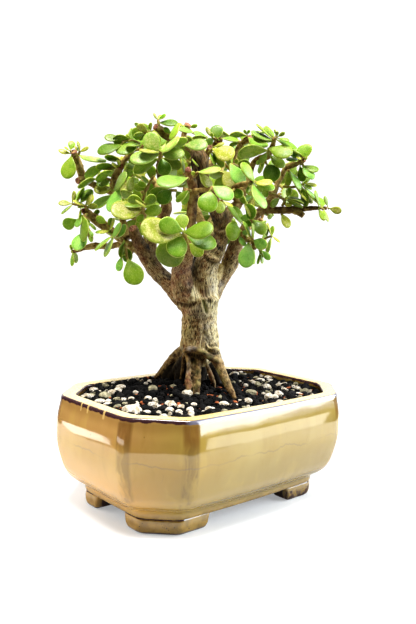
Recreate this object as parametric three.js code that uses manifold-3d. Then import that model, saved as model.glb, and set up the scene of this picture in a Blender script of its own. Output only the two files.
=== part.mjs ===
// A dwarf jade bonsai, 24 cm tall, in an oblong glazed pot with cut corners and four L-shaped feet.
// Millimetres, +Z up. Origin: middle of the whole object's outline, on the surface it stands on;
// the crown leans back past the pot, so the pot's own middle lies a little in front of it.
// X runs along the pot's long side, Y along its short side. The front long side faces -Y.
import * as THREE from "three";
import { mergeVertices } from "three/addons/utils/BufferGeometryUtils.js";
import Module from "manifold-3d";

const wasm = await Module();
wasm.setup();

// ---- driving dimensions -------------------------------------------------
const POT_LENGTH = 170; // rim, outside
const POT_WIDTH = 118.2;
const POT_HEIGHT = 69.3;
const CORNER_CUT = 25; // each corner of the rim is cut off this far along both sides
const LONG_SIDE_BOW = 1.6; // how far the middle of a long side stands out
const SHORT_SIDE_BOW = 0.6;
const RIM_WIDTH = 8;
const FLOOR_TOP = 15; // inside floor of the pot
const FOOT_HEIGHT = 9;
const FOOT_GAP_LONG = 66; // gap between the feet on a long side
const FOOT_GAP_SHORT = 30; // and on a short side
const FOOT_WALL = 12.9; // thickness of the L of a foot
const DRAIN_HOLE = 12; // diameter
const DRAIN_X = 38; // the two drain holes are this far from the middle
const SCREEN = [22, 22, 1]; // mesh squares over the drain holes
const SCREEN_HOLE = 4.2;
const CLEARANCE = 0.3; // between pieces that touch
const POT_MIDDLE = [0, -9.95, 0]; // the pot's middle, from the origin
const LEAF_THICK = 2.5; // of a full-grown leaf
const SMALL_LEAF = 8.5; // leaves shorter than this are drawn as plain lozenges
const LEAF_ROOTED = 0.5; // how far a leaf starts inside its twig
const STEM_SIDES = 3;
const WOOD_SIDES = [5, 6]; // of thin and of thick wood
const THICK_WOOD = 3.4; // radius from which wood counts as thick

// Height of the pot's outside against how far its outline stands in (-) or out (+) from the rim's.
const POT_OUTSIDE = [
  [0, -15.6],
  [FOOT_HEIGHT, -14],
  [13, -13.6],
  [15.5, -11],
  [18.3, -6.5],
  [23, -2.6],
  [30, 0],
  [40.4, 2.3],
  [49, 2.7],
  [57.7, 2.3],
  [68.4, 0.1],
  [POT_HEIGHT, -0.9],
];
// The same for its inside.
const POT_INSIDE = [
  [FLOOR_TOP, -25],
  [20, -15],
  [26, -10.5],
  [36, -6.6],
  [49, -5],
  [60, -6],
  [68, -7.8],
  [POT_HEIGHT, -RIM_WIDTH - 0.6],
  [POT_HEIGHT + 3, -RIM_WIDTH - 0.6],
];

// ---- solids -------------------------------------------------------------
// A closed geometry as a solid that can be joined and cut.
function solid(geometry) {
  return new wasm.Manifold(
    new wasm.Mesh({
      numProp: 3,
      vertProperties: new Float32Array(geometry.attributes.position.array),
      triVerts: new Uint32Array(geometry.index.array),
    }),
  );
}

function welded(geometry) {
  geometry.deleteAttribute("normal");
  geometry.deleteAttribute("uv");
  return mergeVertices(geometry, 1e-4);
}

function joined(solids) {
  while (solids.length > 1) {
    const next = [];
    for (let i = 0; i < solids.length; i += 2)
      next.push(i + 1 < solids.length ? solids[i].add(solids[i + 1]) : solids[i]);
    solids = next;
  }
  return solids[0];
}

// Of a cut solid, the piece that counts.
function largest(made) {
  const bodies = made.decompose();
  return bodies.reduce((a, b) => (b.volume() > a.volume() ? b : a));
}

// A tapering tube through points [x, y, z, radius], closed by flat ends; grow makes it fatter.
function tube(points, sides, grow = 0) {
  const steps = points.length - 1;
  const g = welded(new THREE.CylinderGeometry(1, 1, 1, sides, steps));
  const path = points.map((p) => new THREE.Vector3(p[0], p[1], p[2]));
  const tangents = path.map((p, i) => {
    const a = path[Math.max(0, i - 1)],
      b = path[Math.min(steps, i + 1)];
    return b.clone().sub(a).normalize();
  });
  // one side direction, carried along the path without twist
  const side = [];
  let s = new THREE.Vector3(0.31, 0.23, 0.92).cross(tangents[0]).normalize();
  for (const t of tangents) {
    s = s.clone().addScaledVector(t, -s.dot(t)).normalize();
    side.push(s);
  }
  const pos = g.attributes.position,
    v = new THREE.Vector3();
  for (let i = 0; i < pos.count; i++) {
    v.fromBufferAttribute(pos, i);
    const k = Math.round((v.y + 0.5) * steps);
    const t = tangents[k],
      u = side[k],
      w = t.clone().cross(u),
      r = points[k][3] + grow;
    const p = path[k].clone();
    if (grow && k === 0) p.addScaledVector(t, -grow);
    if (grow && k === steps) p.addScaledVector(t, grow);
    p.addScaledVector(w, v.x * r).addScaledVector(u, v.z * r);
    pos.setXYZ(i, p.x, p.y, p.z);
  }
  const made = solid(g);
  return made;
}

// Half width of a leaf along its length, as a share of the widest; k = 1 is the rounder kind.
const LEAF_SLIM = [0.74, 0.97],
  LEAF_ROUND = [0.88, 0.97],
  LEAF_AT = [0.33, 0.76];

// A thick oval leaf from its foot to its tip. normal points out of its upper face.
function leaf(row, root, grow = 0, plain = false) {
  const [bx, by, bz, tx, ty, tz, nx, ny, nz, width, round] = row;
  const foot = new THREE.Vector3(bx, by, bz),
    tip = new THREE.Vector3(tx, ty, tz);
  const axis = tip.clone().sub(foot),
    length = axis.length();
  axis.normalize();
  const normal = new THREE.Vector3(nx, ny, nz);
  normal.addScaledVector(axis, -normal.dot(axis)).normalize();
  const across = axis.clone().cross(normal);
  const thick = Math.min(LEAF_THICK, 0.13 * width + 0.55);
  const small = length < SMALL_LEAF || plain;
  const at = small ? [0.6] : LEAF_AT;
  const half = small
    ? [1]
    : LEAF_AT.map((t, i) => LEAF_SLIM[i] * (1 - round) + LEAF_ROUND[i] * round);
  const profile = [
    new THREE.Vector2(0, 0),
    ...at.map((t, i) => new THREE.Vector2(half[i], t)),
    new THREE.Vector2(0, 1),
  ];
  const sides = small ? 3 : 4;
  const g = welded(new THREE.LatheGeometry(profile, sides));
  const widen = small ? 1 / Math.sin((2 * Math.PI) / 3) : 1;
  const pos = g.attributes.position,
    v = new THREE.Vector3();
  for (let i = 0; i < pos.count; i++) {
    v.fromBufferAttribute(pos, i);
    const p = new THREE.Vector3();
    if (v.y < 1e-6) p.copy(root).addScaledVector(axis, -LEAF_ROOTED - grow);
    else {
      const end = v.y > 0.999;
      p.copy(foot).addScaledVector(axis, v.y * length + (end ? grow * 2 : 0));
      const gx = end ? 0 : Math.sign(Math.round(v.x * 1e3)) * grow * 1.3,
        gz = end ? 0 : Math.sign(Math.round(v.z * 1e3)) * grow * 1.3;
      p.addScaledVector(across, (v.x * widen * width) / 2 + gx);
      p.addScaledVector(normal, (v.z * thick) / 2 + gz);
    }
    pos.setXYZ(i, p.x, p.y, p.z);
  }
  const made = solid(g);
  return made;
}

// The nearest point to p on a set of stems.
function onStems(p, stems) {
  let best = null,
    d = Infinity;
  for (const s of stems)
    for (let i = 0; i + 1 < s.length; i++) {
      const a = new THREE.Vector3(...s[i].slice(0, 3)),
        b = new THREE.Vector3(...s[i + 1].slice(0, 3));
      const q = new THREE.Line3(a, b).closestPointToPoint(p, true, new THREE.Vector3());
      if (q.distanceTo(p) < d) {
        d = q.distanceTo(p);
        best = q;
      }
    }
  return best;
}

// A twig with its leaves, grown as one.
function shoot(row, grow = 0) {
  const parts = row.stems.map((s) => tube(s, STEM_SIDES, grow));
  for (const l of row.leaves)
    parts.push(leaf(l, onStems(new THREE.Vector3(l[0], l[1], l[2]), row.stems), grow, row.plain));
  return joined(parts);
}

// ---- pot ----------------------------------------------------------------
// Outline of the pot, moved out by `out`: an oblong with cut corners and slightly bowed sides.
function outline(out) {
  const a = POT_LENGTH / 2 + out,
    b = POT_WIDTH / 2 + out,
    c = CORNER_CUT + out * (2 - Math.SQRT2);
  const points = [];
  const side = (x0, y0, x1, y1, n, bow, ox, oy) => {
    for (let i = 0; i < n; i++) {
      const t = i / n,
        k = bow * (1 - (2 * t - 1) ** 2);
      points.push(
        new THREE.Vector2(x0 + (x1 - x0) * t + ox * k, y0 + (y1 - y0) * t + oy * k),
      );
    }
  };
  side(-a + c, -b, a - c, -b, 4, LONG_SIDE_BOW, 0, -1);
  side(a - c, -b, a, -b + c, 1, 0, 0, 0);
  side(a, -b + c, a, b - c, 2, SHORT_SIDE_BOW, 1, 0);
  side(a, b - c, a - c, b, 1, 0, 0, 0);
  side(a - c, b, -a + c, b, 4, LONG_SIDE_BOW, 0, 1);
  side(-a + c, b, -a, b - c, 1, 0, 0, 0);
  side(-a, b - c, -a, -b + c, 2, SHORT_SIDE_BOW, -1, 0);
  side(-a, -b + c, -a + c, -b, 1, 0, 0, 0);
  return points;
}

// A solid with the outline at each height of levels [[z, out], ...].
function loft(levels) {
  const base = outline(0);
  const g = welded(
    new THREE.ExtrudeGeometry(new THREE.Shape(base), {
      depth: levels.length - 1,
      steps: levels.length - 1,
      bevelEnabled: false,
    }),
  );
  const rings = levels.map(([, out]) => outline(out));
  const pos = g.attributes.position;
  for (let i = 0; i < pos.count; i++) {
    const x = pos.getX(i),
      y = pos.getY(i),
      k = Math.round(pos.getZ(i));
    let n = 0,
      d = Infinity;
    base.forEach((p, j) => {
      const e = (p.x - x) ** 2 + (p.y - y) ** 2;
      if (e < d) {
        d = e;
        n = j;
      }
    });
    pos.setXYZ(i, rings[k][n].x, rings[k][n].y, levels[k][0]);
  }
  return solid(g);
}

function block(x0, x1, y0, y1, z0, z1) {
  const g = welded(new THREE.BoxGeometry(x1 - x0, y1 - y0, z1 - z0));
  g.translate((x0 + x1) / 2, (y0 + y1) / 2, (z0 + z1) / 2);
  return solid(g);
}

function drain(x) {
  const g = welded(new THREE.CylinderGeometry(DRAIN_HOLE / 2, DRAIN_HOLE / 2, 30, 14));
  g.rotateX(Math.PI / 2);
  g.translate(x, 0, FLOOR_TOP - 5);
  return solid(g);
}

function makePot() {
  const footX = POT_LENGTH / 2 + POT_OUTSIDE[0][1] - FOOT_WALL,
    footY = POT_WIDTH / 2 + POT_OUTSIDE[0][1] - FOOT_WALL;
  return loft(POT_OUTSIDE)
    .subtract(loft(POT_INSIDE))
    .subtract(block(-120, 120, -FOOT_GAP_SHORT / 2, FOOT_GAP_SHORT / 2, -5, FOOT_HEIGHT))
    .subtract(block(-FOOT_GAP_LONG / 2, FOOT_GAP_LONG / 2, -90, 90, -5, FOOT_HEIGHT))
    .subtract(block(-footX, footX, -footY, footY, -5, FOOT_HEIGHT))
    .subtract(drain(-DRAIN_X))
    .subtract(drain(DRAIN_X));
}

// A square of mesh that keeps the soil from falling out of a drain hole.
function makeScreen(x) {
  const [w, d, t] = SCREEN,
    z = FLOOR_TOP + CLEARANCE,
    h = SCREEN_HOLE / 2;
  let made = block(x - w / 2, x + w / 2, -d / 2, d / 2, z, z + t);
  for (const i of [-1, 1])
    for (const j of [-1, 1]) {
      const cx = x + i * 3.2,
        cy = j * 3.2;
      made = made.subtract(block(cx - h, cx + h, cy - h, cy + h, z - 1, z + t + 1));
    }
  return made;
}

// ---- soil ---------------------------------------------------------------
// Height of the soil: a low mound round the roots, falling to just under the rim.
function soilTop(x, y) {
  const mound = Math.exp(-(((x - SOIL_MOUND[0]) / 40) ** 2 + ((y - SOIL_MOUND[1]) / 32) ** 2));
  const lumps =
    0.5 * Math.sin(x * 0.31 + 1.3) * Math.cos(y * 0.37 - 0.4) +
    0.35 * Math.sin(x * 0.13 - y * 0.21 + 2.1);
  return SOIL_EDGE + (SOIL_PEAK - SOIL_EDGE) * mound + SOIL_TILT * (-y - x * 0.6) * 0.01 + lumps;
}

// How far the inside outline of the pot stands in at height z.
function insideAt(z) {
  for (let i = 0; i + 1 < POT_INSIDE.length; i++) {
    const [z0, o0] = POT_INSIDE[i],
      [z1, o1] = POT_INSIDE[i + 1];
    if (z <= z1) return o0 + ((o1 - o0) * (z - z0)) / (z1 - z0);
  }
  return POT_INSIDE.at(-1)[1];
}

function makeSoil(cutters) {
  const nx = 10,
    ny = 7;
  const levels = [
    FLOOR_TOP + SCREEN[2] + 2 * CLEARANCE,
    20,
    36,
    null, // the surface
  ];
  const nz = levels.length - 1;
  const g = welded(new THREE.BoxGeometry(2, 2, 1, nx, ny, nz));
  const pos = g.attributes.position;
  for (let i = 0; i < pos.count; i++) {
    const u = pos.getX(i),
      v = pos.getY(i),
      k = Math.round((pos.getZ(i) + 0.5) * nz);
    const m = Math.max(Math.abs(u), Math.abs(v));
    // the outline point in this direction, then shrunk towards the middle
    const out = insideAt(levels[k] ?? 64) - SOIL_GAP;
    const a = POT_LENGTH / 2 + out,
      b = POT_WIDTH / 2 + out,
      c = CORNER_CUT + out * (2 - Math.SQRT2);
    let x = u * a,
      y = v * b;
    // cut corners
    if (m > 0) {
      const ex = (Math.abs(u) / m) * a,
        ey = (Math.abs(v) / m) * b,
        over = ex + ey - (a + b - c);
      if (over > 0) {
        const s = (a + b - c) / (ex + ey);
        x *= s;
        y *= s;
      }
    }
    let z = levels[k];
    if (z === null) z = soilTop(x, y) - (m > 0.999 ? 0.6 : 0);
    pos.setXYZ(i, x, y, z);
  }
  let made = solid(g);
  for (const c of cutters) made = made.subtract(c);
  return largest(made);
}

// A rounded, slightly lumpy stone: middle, half sizes, turn about Z, seed.
function stone([x, y, z, a, b, c, turn, seed], grow = 0) {
  const g = welded(new THREE.IcosahedronGeometry(1, 1));
  const pos = g.attributes.position,
    v = new THREE.Vector3();
  for (let i = 0; i < pos.count; i++) {
    v.fromBufferAttribute(pos, i);
    const lump =
      1 +
      0.09 * Math.sin(v.x * 3.1 + seed) * Math.cos(v.y * 2.7 - seed * 1.7) +
      0.06 * Math.sin(v.z * 4.3 + seed * 2.3);
    pos.setXYZ(
      i,
      v.x * (a * lump + grow),
      v.y * (b * lump + grow),
      v.z * (c * lump + grow),
    );
  }
  g.rotateZ(turn);
  g.translate(x, y, z);
  return solid(g);
}

// ---- the plant ----------------------------------------------------------
const SOIL_GAP = 1; // between the soil and the pot's wall
const SOIL_EDGE = 65.6; // soil at the wall
const SOIL_PEAK = 70.6; // soil at the foot of the trunk
const SOIL_MOUND = [-7.6, 5.8];
const SOIL_TILT = 1.4; // the soil lies a little higher towards the front left

// Large pieces of pumice on the soil: middle, half sizes, turn, seed.
const STONES = [
  [-67.5, -15.7, 68.6, 6.2, 4.9, 3, -0.72, 1],
  [-72.6, 10.6, 68.5, 3.8, 3, 1.8, -0.72, 2],
  [8.2, -31.3, 66.5, 3.3, 2.7, 2.2, -0.72, 3],
  [-14.6, -0.2, 68.6, 3.6, 2.9, 2.4, -0.72, 4],
  [41.2, -26.2, 66, 3.4, 2.7, 2.8, -0.72, 5],
  [-51.1, -28.7, 68.4, 2.8, 2.2, 2, -0.72, 6],
  [-27.4, 18.8, 69.6, 3.3, 2.6, 2.7, -0.72, 7],
];

// Roots, trunk and branches: [x, y, z, radius] along each.
const WOOD = {
  trunk: [[-3.6, 1.8, 52, 7], [-3.6, 1.8, 60, 9], [-4, 2.2, 83.8, 9.58], [-3.5, 1.8, 96.1, 12.42], [-4.3, 2.4, 118.4, 11.41], [-5.1, 3.2, 126.7, 12.34]],
  limb_left: [[-8.1, 4.4, 122.9, 8.85], [-15.3, 5.4, 133, 7.37], [-19, 3.3, 145, 6.17], [-20.1, -6.3, 161.7, 2.9], [-18.3, -5.3, 192.3, 3.01], [-20.6, -5.9, 198.6, 2.81], [-25.2, -8.5, 203.3, 2.12], [-27.9, -11.4, 204.3, 1.81]],
  limb_right: [[-2.1, 1.8, 124.1, 8.25], [-1, 0.9, 129.9, 7.61], [-1.8, 1.6, 142.5, 8.22], [-0.9, 0.8, 148.9, 7.95], [2.7, -5, 159.8, 5.33], [4, -6.2, 165.4, 4.51], [3.9, -6.1, 177.2, 5.37], [-4.4, 1.2, 196, 4.48], [-6.6, 3.2, 211.2, 5.89], [-8.1, 4.5, 216.7, 4.95], [-11.5, 7.4, 220.2, 2.78], [-15.8, 9.9, 220.5, 1.97], [-28, 16.6, 229.9, 2.63], [-32, 16.2, 231.5, 2.31]],
  limb_farleft: [[-7, 8.8, 123.1, 7.65], [-14.4, 22, 135.8, 5.4], [-22.5, 30.4, 147.6, 5.14], [-29.5, 32.5, 159, 4.2], [-38.2, 29.6, 170, 2.62]],
  limb_up_left: [[-23.3, 31.1, 154, 4.49], [-17.8, 34.2, 167.6, 3.5], [-10.3, 31.7, 182.1, 3.65], [-9.9, 31.4, 187.3, 2.99], [-12.8, 31.2, 195.4, 2.2], [-19.7, 26.6, 202.2, 1.9], [-30.5, 12.2, 214.2, 1.45]],
  limb_right_back: [[4.5, 2.7, 127.7, 6.09], [10.6, 2.7, 135.3, 4.91], [18.4, -0.2, 150, 5.45], [19.5, -2.4, 157.5, 4.91], [20.7, -8.9, 170.4, 2.94], [26.9, -13, 180.8, 2.81], [31.4, -15.6, 184, 2.56], [62.8, -41.9, 186.4, 1.22]],
  stub_right_low: [[47, -28, 184.8, 1.92], [50.1, -33.3, 181.2, 1.66]],
  limb_up_right: [[6.3, -5.5, 176.1, 4.52], [17.4, -6, 186.7, 3.44], [23.4, -9.9, 205.2, 2.29], [24.3, -14.7, 215, 1.76], [27.1, -22.4, 216.2, 1.62], [27.1, -27.8, 227.3, 1.48]],
  branch_diag_left: [[-27.1, 33.1, 155.8, 3.52], [-36.4, 38.7, 160.6, 2.48], [-56.5, 49.6, 177.1, 2.76], [-61.9, 49, 179.7, 1.61]],
  branch_low_left: [[-31.9, 37.3, 156.3, 2.56], [-36.1, 43.7, 159.6, 2.06], [-49, 57.7, 158.1, 2.2], [-58.7, 66.2, 154.1, 1.1]],
  branch_left_mid: [[-35, 38.7, 163.8, 2.68], [-36.2, 45.2, 178.4, 2.05], [-41.7, 47.3, 196.4, 1.78], [-41.1, 42.7, 204.7, 2.27], [-43.1, 36.5, 208.1, 1.86]],
  branch_left_high: [[-40.5, 47.6, 192.1, 1.66], [-48.4, 57.2, 196.7, 1.99], [-54.2, 62.2, 201.8, 2.5], [-59.7, 63.1, 214.8, 2.03], [-61.4, 61.9, 217, 1.89]],
  stub_left_high: [[-53.8, 61.9, 201.2, 2.18], [-58.9, 61.1, 198.8, 2.03]],
  branch_topleft: [[-39.9, 41.7, 207.5, 1.64], [-36, 38.3, 215.7, 1.76], [-33.2, 30.5, 223.1, 0.87]],
  branch_right: [[32.8, -14.1, 185.5, 2.57], [37.4, -15.6, 190.9, 2.71], [42.6, -21.4, 208.5, 1.54], [43.3, -23.4, 211.6, 1.85], [46.9, -34.5, 216.7, 2.08]],
  branch_upright_thin: [[20.8, -4.9, 192.7, 1.66], [22, 2, 217.9, 1.16], [22.6, 1.4, 222.6, 1.22], [23.9, -1, 226.2, 1.54], [25.6, -7.9, 229.3, 2.04]],
  stub_top_mid: [[-4.6, 2.7, 213.2, 2.61], [2.5, 1.8, 222.4, 1.5], [4.4, 0.1, 225.1, 1.87], [3.4, -3, 225.9, 2.11]],
  stub_mid_small: [[-2.4, 0.8, 217.6, 1.61], [-7, -5.8, 219.8, 1.52]],
  stub_top_left2: [[-6.2, 6.8, 216.5, 2.62], [-6.9, 14, 222.5, 1.64], [-8.1, 17.8, 227.7, 1.52], [-7.7, 17.4, 232, 1.89], [-7.6, 14.7, 235.8, 2.26]],
  twig_center: [[-18.7, -6.2, 192.2, 2.16], [-20.7, -24.4, 192.7, 1.27]],
  twig_right_center: [[18.8, -7.2, 188, 2.16], [11.2, -8.6, 192.5, 1.63], [6.8, -14, 196.2, 1.6], [2.6, -34.2, 198.4, 1.12]],
  twig_low_right: [[19.3, -7.7, 167.2, 2.3], [13.2, -26.2, 163.2, 1.59], [12.3, -28.1, 159.3, 1.34]],
  root_left: [[-1.7, 10.9, 95.4, 5.84], [-3.4, 28.3, 87.2, 3.74], [-3.4, 48.2, 68.3, 1.8], [-2.8, 51.7, 64.2, 1.53], [-2.5, 53.5, 58, 0.92]],
  root_right: [[-2.3, -7.3, 96.5, 5.34], [-5.7, -24.3, 81.8, 2.98], [-12.5, -43.6, 70.3, 1.16], [-14.7, -48.7, 58, 0.8]],
  root_wrap: [[-16.9, 1.5, 94.3, 1.75], [-16, -3.3, 96.1, 1.86], [-13.7, -7.3, 95.5, 1.91], [-6.6, -12.1, 90.3, 1.98], [-4.3, -14.8, 86.4, 1.86]],
  root_c1: [[-15.7, -0.8, 95.4, 1.81], [-17.7, -4.4, 84.8, 1.42], [-22.5, -10.8, 72.1, 1.58], [-24.5, -13.2, 58, 0.95]],
  root_c2: [[-11.6, -1.8, 94, 1.75], [-17.8, -10.9, 71.6, 1.23], [-20.1, -13.9, 58, 0.8]],
  root_c3: [[-10.7, -5.2, 94.4, 1.87], [-16.9, -13.1, 71.2, 1.22], [-18.7, -15, 58, 0.8]],
  root_c4: [[-11.9, 6.5, 92.2, 1.65], [-8.4, 14, 72.5, 1.04], [-7.3, 16.4, 58, 0.8]],
  root_c5: [[-4.4, -2.8, 91.6, 1.64], [2.4, -4.8, 74.5, 1.53], [4.1, -6.3, 58, 0.8]],
  branch_back_left: [[-20.5, 32.6, 148.2, 4.21], [-10, 51.4, 165.1, 3.11], [-7.1, 60.8, 174, 2.61], [-7, 74.1, 192.1, 1.82], [-9.7, 77.7, 197.6, 1.4]],
  branch_back_center: [[5.1, -1.8, 160.4, 4.11], [13.8, 22.4, 173.4, 3.19], [17.7, 33.7, 183.1, 2.72], [19.6, 42.7, 192.2, 2.21], [19.5, 49.4, 201.4, 1.81], [18.5, 53, 209.1, 1.4]],
  branch_back_right: [[21, 0.2, 156.8, 3.77], [51.5, 10.7, 181.8, 2.48], [67.7, 9.7, 194.4, 1.68], [72, 7.3, 198.8, 1.33]],
  branch_back_top: [[-3.5, 5.7, 206.2, 3.01], [24.9, 18, 220.7, 1.86], [34.1, 19.3, 225.1, 1.55], [41.4, 18.2, 227.9, 1.22]],
  branch_back_upleft: [[-9.2, 33.3, 184.8, 2.75], [-5.5, 56.8, 209.1, 1.7], [-6.4, 62.9, 222.2, 1.09]],
};

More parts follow.
